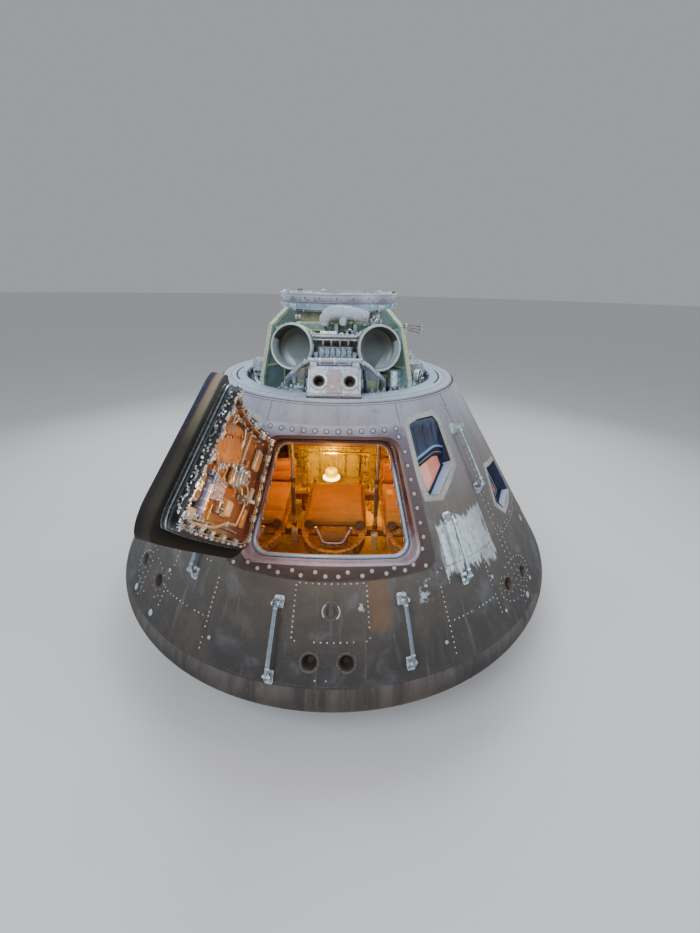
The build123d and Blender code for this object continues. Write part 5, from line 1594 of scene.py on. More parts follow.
# pitch engine housing: lighter chamfered top, centre panel, eight-sided nozzle rings, lower lip
g = G("pitch_housing_details", M["cast"], M["pink"], M["pale_ledge"], M["noz_in"], M["silver"], M["plug"], M["dark"])
Hn = Vector((0, -C33, S33))
Hs = Vector((0, S33, C33))


def hz(x, y, z_=0.0):
    """on the sloped front face: x right, y up the slope from the nozzles' height, z_ outward"""
    p_ = Vector((x, -.834, 2.224)) + Hs * y + Hn * z_
    m_ = Matrix((HX, Hs, Hn)).transposed().to_4x4()
    m_.translation = p_
    return m_


g.plate(hz(0, -.004), [(-.046, -.078), (.046, -.078), (.050, -.070), (.050, .070), (.040, .084), (-.040, .084), (-.050, .070), (-.050, -.070)], -.001, .0050, .0020, 1)
for qx, qy in ((-.040, -.068), (.040, -.068), (-.040, .060), (.040, .060), (0, -.070), (0, .074)):
    g.lathe(hz(qx, qy - .004, .0050), [(.0040, 0), (.0040, .0010), (.0026, .0022), (0, .0024)], 7, 4)
g.box(hz(-.012, -.040, .0064), .026, .018, .0040, .0012, 5)
for sx in (-1, 1):
    F = hz(sx * .103, 0)
    n8 = [(.064 * cos(pi / 8 + i * pi / 4), .064 * sin(pi / 8 + i * pi / 4)) for i in range(8)]
    rows = []
    for sc, z_ in ((1.02, -.001), (1.0, .0060), (.955, .0095), (.76, .0098), (.66, .0070), (.60, -.004)):
        if sc > .9:
            rows.append([F @ Vector((x * sc, y * sc, z_)) for x, y in [(n8[i][0] + (n8[(i + 1) % 8][0] - n8[i][0]) * j / 4, n8[i][1] + (n8[(i + 1) % 8][1] - n8[i][1]) * j / 4) for i in range(8) for j in range(4)]])
        else:
            rows.append([F @ Vector((.062 * sc * cos(pi / 8 + i * pi / 16), .062 * sc * sin(pi / 8 + i * pi / 16), z_)) for i in range(32)])
    g.grid(rows, 2, closed=True)
    g.lathe(F, [(.0375, -.0035), (.0365, .0080), (.0335, .0085), (.0300, .0020), (.0270, -.030), (.0180, -.058), (0, -.060)], 36, 3)
    for i in range(8):
        t = pi * i / 4
        g.bolt(F @ T(.0520 * cos(t), .0520 * sin(t), .0094), .0034, .0034, 4, False)
    # outer cheek plates
    g.plate(hz(sx * .170, 0), [(-.006, -.080), (.006, -.080), (.006, .070), (-.006, .084)], -.001, .004, .001, 0)
    for k in range(6):
        g.lathe(hz(sx * .170, -.068 + .028 * k, .004), [(.0034, 0), (.0024, .0016), (0, .0018)], 6, 4)
# lip along the top: broken line of lighter chamfers
g.plate(hz(0, .092), [(-.168, -.008), (.168, -.008), (.160, .010), (-.160, .010)], -.003, .0045, .0025, 0)
for i in range(12):
    x = -.150 + .3 * i / 11
    g.lathe(hz(x, .090, .0045), [(.0034, 0), (.0024, .0016), (0, .0020)], 6, 4)
# lower lip
g.box(hz(0, -.094, .002), .362, .020, .014, .003, 1)
g.box(hz(0, -.108, -.004), .372, .010, .020, .003, 6)
for i in range(14):
    x = -.165 + .33 * i / 13
    g.lathe(hz(x, -.094, .0090), [(.0036, 0), (.0036, .001), (.0024, .0022), (0, .0024)], 7, 4)
# top face: cover plate, screws, two pads
g.plate(T(0, -.706, 2.3165) @ R(-2.9, 'X'), [(-.160, -.050), (.160, -.050), (.160, .052), (-.160, .052)], -.001, .0050, .0018, 0)
for i in range(9):
    for qy in (-.042, .044):
        g.lathe(T(-.148 + .037 * i, -.706 + qy, 2.3212 + (.0021 if qy < 0 else -.0021)), [(.0034, 0), (.0024, .0014), (0, .0018)], 6, 4)
for x in (-.142, .142):
    g.box(T(x, -.776, 2.322), .046, .030, .030, .004, 0)
    g.bolt(T(x - .012, -.776, 2.337), .0046, .005, 4)
    g.bolt(T(x + .012, -.776, 2.337), .0046, .005, 4)
# side faces
for sx in (-1, 1):
    for (y_, z_, a_, b_) in ((-.800, 2.190, .080, .050), (-.700, 2.230, .100, .120)):
        g.box(T(sx * .1785, y_, z_), .005, a_, b_, .0015, 0)
        for qa in (-1, 1):
            for qb in (-1, 1):
                g.lathe(T(sx * .181, y_ + qa * (a_ / 2 - .008), z_ + qb * (b_ / 2 - .008)) @ R(sx * 90, 'Y'), [(.0034, 0), (.0024, .0016), (0, .002)], 6, 4)
    g.pipe([(sx * .188, -.655, 2.140), (sx * .192, -.700, 2.155), (sx * .192, -.760, 2.165), (sx * .186, -.800, 2.230)], .0055, 8, 4, 6)
g.done()

# bent handhold with end collars and clamps
g = G("forward_handhold_bar", M["fitting"], M["silver"], M["dark"])
HP = [(-.352, -.590, 2.082), (-.352, -.596, 2.130), (-.346, -.640, 2.188), (-.318, -.684, 2.228), (-.282, -.722, 2.262), (-.232, -.746, 2.312), (-.178, -.763, 2.346), (-.150, -.765, 2.350)]
HP += [(-x, y, z) for x, y, z in HP[::-1]]
g.pipe(HP, .0155, 16, 0, 5)
for sx in (-1, 1):
    g.ring(T(sx * .352, -.590, 2.076), .030, .012, .008, 28, .0015, 1)
    g.ring(T(sx * .352, -.590, 2.084), .0195, .012, .014, 24, .0015, 0)
    for j in range(4):
        t = pi / 4 + j * pi / 2
        g.bolt(T(sx * .352 + .0235 * cos(t), -.590 + .0235 * sin(t), 2.084), .0038, .0045, 1, False)
    for a_, b_ in (((-.300, -.706, 2.247), (-.282, -.722, 2.262)), ((-.205, -.756, 2.332), (-.178, -.763, 2.346))):
        a_, b_ = Vector((a_[0] * -sx, a_[1], a_[2])), Vector((b_[0] * -sx, b_[1], b_[2]))
        g.ring(axes(a_, b_ - a_), .0165, .012, .022, 20, .0015, 1)
        g.bolt(axes(a_, b_ - a_) @ T(0, .0165, .011) @ R(-90, 'X'), .0038, .006, 1, False)
    # strut from the housing to the bar
    g.pipe([(sx * .146, -.770, 2.322), (sx * .150, -.768, 2.342)], .0075, 10, 1)
for x in (-.10, 0, .10):
    g.ring(axes((x - .009, -.765, 2.350), (1, 0, 0)), .0160, .012, .018, 20, .0015, 1)
    g.box(T(x, -.765, 2.333), .014, .012, .022, .002, 1)
g.done(replaces=("forward_handhold",))

# cross beam: rivets, clevis ends, lugs under the bundle
g = G("cross_beam_details", M["green_lip"], M["green"], M["silver"], M["dark"], M["fitting"])
for y_, sg in ((-.458, -1),):
    for z_, w_ in ((2.5535, .012), (2.5065, .012)):
        g.box(T(0, y_ - .001, z_), .576, .004, w_, .001, 0)
        for i in range(30):
            g.lathe(T(-.279 + .558 * i / 29, y_ - .003, z_) @ R(90, 'X'), [(.0032, 0), (.0022, .0016), (0, .0018)], 6, 2)
g.box(T(0, -.446, 2.5625), .560, .022, .005, .0015, 0)
for i in range(14):
    g.bolt(T(-.26 + .04 * i, -.446, 2.565), .0036, .0045, 2, False)
for sx in (-1, 1):
    g.box(T(sx * .276, -.452, 2.530), .024, .022, .066, .003, 4)
    g.cyl(T(sx * .276, -.470, 2.548) @ R(-90, 'X'), .0085, .030, 14, .001, 2)
    g.bolt(T(sx * .276, -.464, 2.514) @ R(90, 'X'), .0060, .007, 2)
for x in (.002, .132):
    g.box(T(x, -.508, 2.5545), .020, .090, .005, .0015, 0)
    for k in range(3):
        g.lathe(T(x, -.540 + .030 * k, 2.557), [(.0036, 0), (.0026, .0020), (0, .0022)], 6, 2)
# three thin rods and a short strut on the right
for sx in (1,):
    for z0_, z1_, y_ in ((2.553, 2.545, -.452), (2.540, 2.524, -.466), (2.526, 2.497, -.440)):
        g.pipe([(sx * .292, y_, z0_ + .004), (sx * .492, y_, z0_), (sx * .616, y_ + .004, z1_)], .0032, 8, 3)
        g.ring(axes((sx * .608, y_ + .004, z1_ + .002), (sx, 0, -.10)), .0048, .003, .012, 12, .001, 4)
    g.box(T(sx * .500, -.452, 2.534), .014, .046, .062, .003, 4)
    g.pipe([(sx * .545, -.452, 2.372), (sx * .560, -.462, 2.340), (sx * .640, -.450, 2.290)], .0062, 8, 2, 4)
    g.ring(axes((sx * .636, -.4505, 2.2925), (sx * .8, .1, -.5)), .0110, .005, .016, 14, .001, 4)
g.done()

# equipment column between the mortars: oval tray, row of upright cylinders, dark frame under it
g = G("tray_and_rack", M["pale_ledge"], M["silver"], M["dark"], M["cast"], M["fitting"], M["wbead"])


def slot_loop(L, W, n=10):
    r = W / 2
    pts = []
    for k in range(n + 1):
        t = -pi / 2 + pi * k / n
        pts.append((L / 2 - r + r * cos(t), r * sin(t)))
    for k in range(n + 1):
        t = pi / 2 + pi * k / n
        pts.append((-L / 2 + r + r * cos(t), r * sin(t)))
    return pts


for L_, W_, z_, r_, k in ((.302, .086, 2.4955, .0058, 0), (.306, .090, 2.4725, .0040, 4)):
    g.pipe([(x, -.648 + y, z_) for x, y in slot_loop(L_, W_)], r_, 10, k, closed=True)
g.plate(T(0, -.648, 2.478), slot_loop(.286, .070), 0, .0040, .001, 4)
g.cyl(T(-.105, -.652, 2.503) @ R(90, 'Y'), .0200, .118, 24, .004, 1)
for x in (-.092, -.046, 0):
    g.ring(T(x, -.652, 2.503) @ R(90, 'Y'), .0225, .019, .008, 24, .001, 4)
g.box(T(-.046, -.652, 2.489), .130, .030, .012, .002, 3)
g.box(T(.040, -.640, 2.498), .034, .040, .030, .004, 1)
g.cyl(T(.078, -.650, 2.482), .0130, .030, 20, .002, 0)
g.cyl(T(.078, -.650, 2.512), .0080, .012, 16, .001, 5)
g.cyl(T(.112, -.650, 2.482), .0150, .018, 20, .002, 4)
g.bolt(T(.112, -.650, 2.500), .0070, .008, 1)
g.pipe([(.078, -.650, 2.522), (.092, -.655, 2.536), (.110, -.652, 2.528), (.114, -.648, 2.506)], .0042, 8, 1, 5)
g.pipe([(-.112, -.646, 2.500), (-.128, -.650, 2.500), (-.132, -.655, 2.488)], .0045, 8, 1, 4)
for x in (-.130, -.065, 0, .065, .130):
    g.box(T(x, -.648, 2.4690), .012, .084, .006, .0015, 4)
# upright cylinders in a scalloped row
for i in range(6):
    x = -.095 + .038 * i
    g.lathe(T(x, -.664, 2.358), [(0, 0), (.0165, 0), (.0186, .003), (.0186, .040), (.0172, .0435), (.0186, .047), (.0186, .052), (.0150, .056), (.0080, .0575), (0, .0575)], 24, 4)
    g.bolt(T(x, -.664, 2.4152), .0052, .0050, 1, False)
g.box(T(0, -.656, 2.354), .236, .030, .008, .002, 1)
g.box(T(0, -.6615, 2.4185), .232, .012, .005, .001, 1)
g.box(T(0, -.6640, 2.336), .196, .010, .018, .002, 2)
for i in range(9):
    g.lathe(T(-.088 + .022 * i, -.6695, 2.336) @ R(90, 'X'), [(.0030, 0), (.0022, .0016), (0, .002)], 6, 1)
# clamps at both ends of the row
for sx in (-1, 1):
    g.box(T(sx * .1330, -.6600, 2.362), .022, .030, .050, .003, 4)
    g.cyl(T(sx * .1330, -.6790, 2.374) @ R(-90, 'X'), .0105, .030, 18, .0015, 1)
    g.ring(T(sx * .1330, -.6800, 2.374) @ R(90, 'X'), .0135, .0070, .006, 18, .001, 1)
    g.bolt(T(sx * .1330, -.6755, 2.346) @ R(90, 'X'), .0050, .0055, 1)
    g.pipe([(sx * .133, -.668, 2.338), (sx * .140, -.672, 2.318), (sx * .150, -.665, 2.296)], .0060, 8, 4, 4)
# bars from the rack up to the tray, with their bolts
for x in (-.088, -.030, .030, .088):
    g.box(T(x, -.6230, 2.446), .014, .012, .046, .002, 4)
    g.bolt(T(x, -.6290, 2.438) @ R(90, 'X'), .0040, .005, 1, False)
# column front: frames, lines and a junction box low down
g.box(T(0, -.6205, 2.258), .150, .006, .150, .002, 3)
for i in range(7):
    g.lathe(T(-.066 + .022 * i, -.6235, 2.326) @ R(90, 'X'), [(.0030, 0), (.0022, .0016), (0, .002)], 6, 1)
for sx in (-1, 1):
    g.pipe([(sx * .088, -.626, 2.090), (sx * .086, -.632, 2.180), (sx * .092, -.630, 2.270), (sx * .080, -.628, 2.340)], .0060, 8, 2, 6)
    g.pipe([(sx * .074, -.624, 2.090), (sx * .072, -.630, 2.180), (sx * .080, -.627, 2.270), (sx * .062, -.626, 2.340)], .0042, 8, 1, 6)
    g.box(T(sx * .1015, -.550, 2.280), .005, .100, .300, .002, 3)
g.done()

# short brackets on the beam, bright edges
g = G("beam_brackets", M["green_lip"], M["pale_ledge"], M["silver"])
for x in (-.064, .084):
    for sx in (-1, 1):
        g.plate(T(x + sx * .0210 - .002, -.4595, 2.528) @ R(90, 'Y') @ R(90, 'Z'), [(-.044, -.026), (.002, -.028), (.002, .030), (-.040, .026)], 0, .004, .001, 1)
    g.box(T(x, -.4785, 2.5555), .048, .040, .004, .001, 0)
    g.box(T(x, -.4620, 2.5280), .046, .004, .054, .001, 0)
    for k in (-1, 1):
        g.bolt(T(x + k * .012, -.478, 2.5575), .0042, .0045, 2)
g.done()

# wrapped bundle: soft cover over an elbow, tied at intervals, with a short branch
g = G("wrapped_bundle_cover", M["wrap"], M["dark"], M["fitting"])


def soft_tube(path, rad, n, steps, seed, fold=.05, m=0):
    q = random.Random(seed)
    P = [Vector(p) for p in path]
    C_ = []
    L_ = len(P)
    for i in range(L_ - 1):
        p0, p1, p2, p3 = P[max(i - 1, 0)], P[i], P[i + 1], P[min(i + 2, L_ - 1)]
        for j in range(steps):
            t = j / steps
            C_.append((.5 * ((2 * p1) + (p2 - p0) * t + (2 * p0 - 5 * p1 + 4 * p2 - p3) * t * t + (3 * p1 - p0 - 3 * p2 + p3) * t ** 3), rad[i] + (rad[i + 1] - rad[i]) * t))
    C_.append((P[-1], rad[-1]))
    ph = [q.uniform(0, 6.28) for _ in range(8)]
    rows = []
    u = None
    for i, (c_, r_) in enumerate(C_):
        d = (C_[min(i + 1, len(C_) - 1)][0] - C_[max(i - 1, 0)][0]).normalized()
        u = d.orthogonal().normalized() if u is None else (u - d * u.dot(d)).normalized()
        w_ = d.cross(u)
        row = []
        for j in range(n):
            a = 2 * pi * j / n
            f = 1 + fold * (.5 * sin(3 * a + ph[0] + i * .05) + .35 * sin(5 * a + ph[1] - i * .11) + .5 * sin(i * .55 + ph[2] + 1.2 * sin(a + ph[3])) + .4 * sin(i * .93 + ph[4] + 2.0 * cos(2 * a + ph[5])) + .25 * sin(i * 1.7 + 3 * a + ph[6]))
            row.append(c_ + u * cos(a) * r_ * f + w_ * sin(a) * r_ * f)
        rows.append(row)
    g.grid(rows, m, closed=True)
    return C_, rows


C1, rows = soft_tube([(.222, -.530, 2.606), (.196, -.532, 2.611), (.120, -.540, 2.626), (.030, -.542, 2.636), (-.035, -.538, 2.626), (-.074, -.532, 2.592), (-.084, -.532, 2.552)], [.0330, .0400, .0440, .0465, .0460, .0400, .0320], 36, 16, 5, .060)
for row, k in ((rows[0], -1), (rows[-1], 1)):
    c_ = sum(row, Vector()) / len(row)
    d = ((rows[1][0] - rows[0][0]) * -1 if k < 0 else (rows[-1][0] - rows[-2][0])).normalized()
    inner_ = [[c_ + (p - c_) * s_ + d * o_ for p in row] for s_, o_ in ((1, 0), (.93, .004), (.80, .003), (.74, -.006), (.72, -.022))]
    g.grid(inner_, 0, closed=True)
    g.put([tuple(p) for p in inner_[-1]], [list(range(len(row)))], 1)
for f in (.12, .30, .47, .64, .82):
    c_, r_ = C1[int(f * (len(C1) - 1))]
    d = C1[int(f * (len(C1) - 1)) + 1][0] - c_
    g.torus(axes(c_, d), r_ * 1.005, .0028, 30, 6, 0)
C2, rows = soft_tube([(.052, -.534, 2.618), (.050, -.556, 2.598), (.048, -.566, 2.574), (.046, -.567, 2.556)], [.026, .027, .0245, .0205], 26, 8, 9, .055)
row = rows[-1]
c_ = sum(row, Vector()) / len(row)
g.grid([[c_ + (p - c_) * s_ + Vector((0, 0, o_)) for p in row] for s_, o_ in ((1, 0), (.92, -.003), (.78, -.002), (.72, .010))], 0, closed=True)
g.put([tuple(c_ + (p - c_) * .72 + Vector((0, 0, .010))) for p in row], [list(range(len(row)))], 1)
b_o = g.done(replaces=("wrapped_bundle",), angle=60)
# hooks and clamps that hold it
g = G("bundle_clamps", M["fitting"], M["silver"], M["dark"])
for x, z_, r_ in ((-.030, 2.622, .0500), (.105, 2.627, .0475), (.196, 2.610, .0440)):
    g.torus(T(x, -.538, z_) @ R(90, 'Y'), r_, .0032, 34, 8, 1)
    g.box(T(x, -.520, z_ - r_ - .008), .016, .030, .016, .002, 0)
    g.bolt(T(x, -.538, z_ - r_ - .010) @ R(90, 'X'), .0046, .006, 1)
for x in (-.084, .046):
    g.torus(T(x, -.548 if x > 0 else -.532, 2.560) @ R(8, 'X'), .030 if x < 0 else .0225, .0030, 26, 8, 1)
# bright fittings at the right end of the bundle, next to the ring
for (x, y, z_), s_, k in (((.246, -.478, 2.572), .022, 1), ((.262, -.470, 2.598), .016, 0), ((.286, -.462, 2.580), .024, 1), ((.300, -.455, 2.606), .015, 1), ((.254, -.486, 2.548), .014, 0), ((.316, -.448, 2.566), .018, 1)):
    g.box(T(x, y, z_) @ R(x * 900, 'Z') @ R(20, 'X'), s_, s_ * .8, s_ * 1.15, .002, k)
    g.cyl(T(x, y, z_ + s_ * .5), s_ * .30, s_ * .55, 12, .001, 1)
    g.bolt(T(x, y - s_ * .4, z_) @ R(90, 'X'), s_ * .22, s_ * .3, 1, False)
g.pipe([(.240, -.480, 2.560), (.262, -.492, 2.566), (.284, -.480, 2.588), (.310, -.458, 2.590), (.330, -.440, 2.570)], .0042, 8, 1, 6)
g.pipe([(.246, -.472, 2.586), (.270, -.478, 2.604), (.296, -.466, 2.612)], .0036, 8, 0, 6)
for x in (-.285, -.262):
    g.box(T(x, -.470, 2.596), .018, .022, .030, .003, 1)
    g.cyl(T(x, -.482, 2.596) @ R(90, 'X'), .0070, .014, 12, .001, 0)
g.done()

# groove round the forward deck, lip fasteners, slot on the right
g = G("deck_details", M["seam"], M["silver"], M["black"], M["dark"], M["pale_ledge"], M["fitting"])
g.lathe(O, [(.8985, 2.1250), (.8990, 2.1268), (.9005, 2.1272), (.9020, 2.1268), (.9025, 2.1250)], 120, 0)
for i in range(60):
    a = i * 6 + 2
    g.lathe(gf(a, 2.1258) @ T(.926, 0, 0), [(0, 0), (.0052, 0), (.0040, .0016), (0, .0018)], 10, 4 if i % 3 else 3)
    if i % 2:
        g.lathe(gf(a, 2.1258) @ T(.800, 0, 0), [(.0050, 0), (.0050, .0010), (.0034, .0026), (0, .0030)], 6, 1)
for a0_, a1_ in ((62, 96), (-96, -62)):
    rows = []
    for r_, z_ in ((.846, 2.1258), (.848, 2.1270), (.860, 2.1270), (.862, 2.1258)):
        rows.append([gf(a0_ + (a1_ - a0_) * k / 24) @ Vector((r_, 0, z_)) for k in range(25)])
    g.slab(rows, Vector((0, 0, -.0016)), 2)
# inner wall of the lip: angle clips
for i in range(40):
    a = i * 9
    F = gf(a, 2.098) @ T(.7795, 0, 0)
    g.box(F @ T(-.003, 0, 0), .006, .030, .034, .001, 5)
    g.bolt(F @ T(-.006, .008, .004) @ R(-90, 'Y'), .0034, .004, 1, False)
# floor of the well: ribs and lines
for i in range(24):
    a = i * 15 + 4
    F = gf(a, 2.0755) @ T(.590, 0, 0)
    if all(abs(((a - b_ + 180) % 360) - 180) > 6 for b_ in (45, 135, 225, 315)):
        g.box(F @ T(0, 0, .0045), .340, .008, .009, .0015, 3)
for r_, k, q_ in ((.730, 3, .0070), (.712, 1, .0048), (.698, 5, .0040)):
    for b_ in (47.5, 137.5, 227.5, 317.5):
        g.torus(gf(0, 2.088) @ R(-90, 'Z'), r_, q_, 40, 8, k, b_ + 90 - 0, b_ + 85 + 90)
g.done()


def valve(g, Mx, s_, k=1, k2=4):
    """small body with a bonnet, side ports and bolts; s_ sets its size"""
    g.box(Mx @ T(0, 0, s_ * .5), s_ * 1.1, s_ * .9, s_, s_ * .08, k)
    g.cyl(Mx @ T(0, 0, s_), s_ * .42, s_ * .35, 18, s_ * .04, k2)
    g.cyl(Mx @ T(0, 0, s_ * 1.35), s_ * .26, s_ * .42, 14, s_ * .04, k)
    for sx in (-1, 1):
        g.cyl(Mx @ T(sx * s_ * .5, 0, s_ * .5) @ R(sx * 90, 'Y'), s_ * .24, s_ * .42, 14, s_ * .03, k)
        g.lathe(Mx @ T(sx * s_ * .78, 0, s_ * .5) @ R(sx * 90, 'Y'), [(s_ * .33, 0), (s_ * .33, s_ * .16), (s_ * .20, s_ * .18), (0, s_ * .18)], 6, k2)
    for sx in (-1, 1):
        for sy in (-1, 1):
            g.bolt(Mx @ T(sx * s_ * .40, sy * s_ * .32, s_), s_ * .07, s_ * .09, k, False)


# deck equipment, left front: valve cluster with lines
g = G("deck_equipment_left", M["pale_ledge"], M["silver"], M["dark"], M["wbead"], M["fitting"])
Z0 = 2.075
for x, y, s_, a_, k, k2 in ((-.262, -.662, .050, 10, 0, 1), (-.318, -.640, .042, -20, 4, 1), (-.300, -.590, .052, 35, 0, 4), (-.368, -.588, .046, -35, 4, 1), (-.340, -.545, .044, 15, 0, 1), (-.232, -.616, .034, 60, 1, 0), (-.400, -.540, .034, 5, 0, 4)):
    valve(g, T(x, y, Z0 + .004) @ R(a_, 'Z'), s_, k, k2)
g.box(T(-.268, -.640, Z0 + .003), .110, .100, .006, .002, 4)
g.box(T(-.345, -.570, Z0 + .003), .130, .110, .006, .002, 4)
g.cyl(T(-.300, -.590, Z0 + .050), .026, .060, 24, .004, 1)
g.dome(T(-.300, -.590, Z0 + .110), .024, .012, 20, 1)
g.cyl(T(-.352, -.560, Z0 + .040), .020, .078, 22, .003, 0)
g.ring(T(-.352, -.560, Z0 + .092), .026, .019, .010, 22, .001, 1)
g.box(T(-.262, -.664, Z0 + .062) @ R(12, 'Z'), .070, .044, .030, .004, 0)
g.pipe([(-.200, -.655, Z0 + .012), (-.226, -.668, Z0 + .040), (-.262, -.672, Z0 + .052), (-.318, -.648, Z0 + .038), (-.372, -.600, Z0 + .050), (-.430, -.540, Z0 + .020)], .0055, 8, 1, 7)
g.pipe([(-.215, -.690, Z0 + .060), (-.240, -.700, Z0 + .072), (-.275, -.690, Z0 + .066), (-.300, -.660, Z0 + .030), (-.330, -.660, Z0 + .012)], .0042, 8, 0, 7)
g.pipe([(-.205, -.640, Z0 + .030), (-.214, -.660, Z0 + .062), (-.208, -.684, Z0 + .052), (-.198, -.690, Z0 + .020)], .0050, 8, 0, 7)
for i in range(12):
    a = -46 + i * 4.6
    F = gf(a if abs(a) > 17 else a, Z0) @ T(.744 + .012 * sin(i * 2.3), 0, 0)
    if abs(a) < 16:
        continue
    g.box(F @ T(0, 0, .012) @ R(i * 37, 'Z'), .022, .030, .020, .003, (0, 1, 4, 3)[i % 4])
    g.bolt(F @ T(0, 0, .022), .0060, .007, 1)
g.done(replaces=("deck_equipment",))

g = G("deck_equipment_right", M["pale_ledge"], M["silver"], M["dark"], M["olive"], M["fitting"], M["tan"])
# light box, leaning
F = T(.446, -.478, Z0) @ R(28, 'Z') @ R(-6, 'X')
g.box(F @ T(0, 0, .100), .126, .086, .128, .005, 0)
g.box(F @ T(0, -.0435, .100), .104, .004, .106, .0015, 4)
for qx in (-.046, .046):
    for qz in (.056, .144):
        g.bolt(F @ T(qx, -.0455, qz) @ R(90, 'X'), .0040, .0040, 1, False)
g.box(F @ T(0, 0, .020), .140, .100, .034, .003, 2)
g.cyl(F @ T(-.040, -.046, .030) @ R(90, 'X'), .011, .026, 16, .0015, 1)
g.cyl(F @ T(.010, -.046, .030) @ R(90, 'X'), .011, .026, 16, .0015, 1)
# brass frame between box and handhold
for k in range(4):
    g.box(T(.318 + .016 * k, -.520 + .004 * k, Z0 + .070), .007, .070, .120, .0015, 3)
g.box(T(.342, -.520, Z0 + .132), .074, .074, .006, .0015, 3)
# ring clamp and drum
F = T(.640, -.275, Z0 + .066) @ R(66, 'Z') @ R(90, 'X')
g.ring(F @ T(0, 0, -.016), .066, .050, .032, 40, .003, 0)
g.ring(F @ T(0, 0, .014), .070, .056, .010, 40, .002, 1)
g.cyl(F @ T(0, 0, -.090), .048, .120, 32, .003, 2)
g.lathe(F, [(.0300, .0305), (.0340, .0340), (.0440, .0340), (.0460, .0300)], 32, 4)
for i in range(12):
    t = pi * i / 6
    g.bolt(F @ T(.063 * cos(t), .063 * sin(t), .024), .0042, .0045, 1, False)
g.box(T(.640, -.275, Z0 + .010), .090, .100, .020, .003, 4)
# low fittings along the edge, bright caps
for x, y, s_, a_, k, k2 in ((.560, -.470, .034, 20, 0, 1), (.505, -.535, .036, -10, 1, 0), (.600, -.395, .036, 40, 4, 1), (.262, -.668, .036, 0, 4, 1), (.312, -.650, .030, 30, 1, 0), (.352, -.628, .034, -30, 0, 4), (.404, -.602, .030, 0, 1, 0), (.690, -.120, .036, 10, 0, 1), (.700, -.010, .034, 0, 4, 1)):
    valve(g, T(x, y, Z0 + .002) @ R(a_, 'Z'), s_, k, k2)
g.pipe([(.205, -.690, Z0 + .016), (.262, -.700, Z0 + .030), (.330, -.668, Z0 + .020), (.400, -.630, Z0 + .028), (.470, -.580, Z0 + .018), (.540, -.520, Z0 + .026), (.610, -.440, Z0 + .016)], .0052, 8, 1, 8)
g.pipe([(.210, -.672, Z0 + .010), (.300, -.676, Z0 + .012), (.380, -.640, Z0 + .014), (.460, -.590, Z0 + .010), (.560, -.505, Z0 + .014), (.640, -.400, Z0 + .012), (.700, -.270, Z0 + .020), (.720, -.120, Z0 + .014)], .0070, 8, 2, 8)
g.pipe([(.560, -.440, Z0 + .040), (.600, -.470, Z0 + .062), (.580, -.500, Z0 + .050), (.548, -.506, Z0 + .020)], .0045, 8, 1, 7)
g.done(replaces=("deck_equipment",))

# sides and back: boxes with connectors and bottles
g = G("deck_equipment_back", M["cast"], M["silver"], M["dark"], M["olive"], M["fitting"], M["tan"])
for sx in (-1, 1):
    F = T(sx * .640, 0, Z0) @ R(sx * 90, 'Z')
    g.box(F @ T(0, 0, .070), .136, .176, .136, .006, 0)
    g.box(F @ T(0, 0, .141), .120, .160, .006, .002, 4)
    for i in range(4):
        for j in (-1, 1):
            g.bolt(F @ T(j * .052, -.066 + .044 * i, .144), .0040, .0045, 1, False)
    for i in range(4):
        g.cyl(F @ T(.0685, -.060 + .040 * i, .050) @ R(90, 'Y'), .0125, .018, 16, .0015, 1)
        g.cyl(F @ T(.0865, -.060 + .040 * i, .050) @ R(90, 'Y'), .0100, .022, 16, .0015, 2)
    g.cyl(T(sx * .620, .190, Z0 + .060), .052, .080, 30, .006, 4)
    g.lathe(T(sx * .620, .190, Z0 + .060), [(0, -.045), (.030, -.040), (.052, -.004)], 30, 4)
    g.lathe(T(sx * .620, .190, Z0 + .140), [(.052, -.002), (.034, .030), (.012, .040), (.010, .056), (0, .056)], 30, 4)
    g.ring(T(sx * .620, .190, Z0 + .090), .056, .050, .014, 30, .002, 1)
    g.box(T(sx * .620, .190, Z0 + .010), .090, .090, .018, .003, 2)
    g.pipe([(sx * .620, .190, Z0 + .190), (sx * .600, .150, Z0 + .200), (sx * .600, .100, Z0 + .160), (sx * .610, .080, Z0 + .100)], .0055, 8, 1, 6)
F = T(0, .650, Z0)
g.box(F @ T(0, 0, .090), .256, .146, .176, .007, 0)
g.box(F @ T(0, 0, .181), .236, .126, .006, .002, 4)
for i in range(6):
    for j in (-1, 1):
        g.bolt(F @ T(-.105 + .042 * i, j * .053, .184), .0042, .0045, 1, False)
for i in range(5):
    g.cyl(F @ T(-.090 + .045 * i, .073, .060) @ R(-90, 'X'), .0140, .018, 18, .0015, 1)
    g.cyl(F @ T(-.090 + .045 * i, .091, .060) @ R(-90, 'X'), .0110, .018, 18, .0015, 2)
for x, y, s_, k, k2 in ((.300, .600, .060, 4, 1), (-.300, .600, .060, 0, 1), (.360, .560, .050, 0, 1), (-.240, .640, .046, 4, 1), (.230, .650, .046, 5, 1)):
    valve(g, T(x, y, Z0 + .002), s_, k, k2)
g.done(replaces=("deck_equipment",))

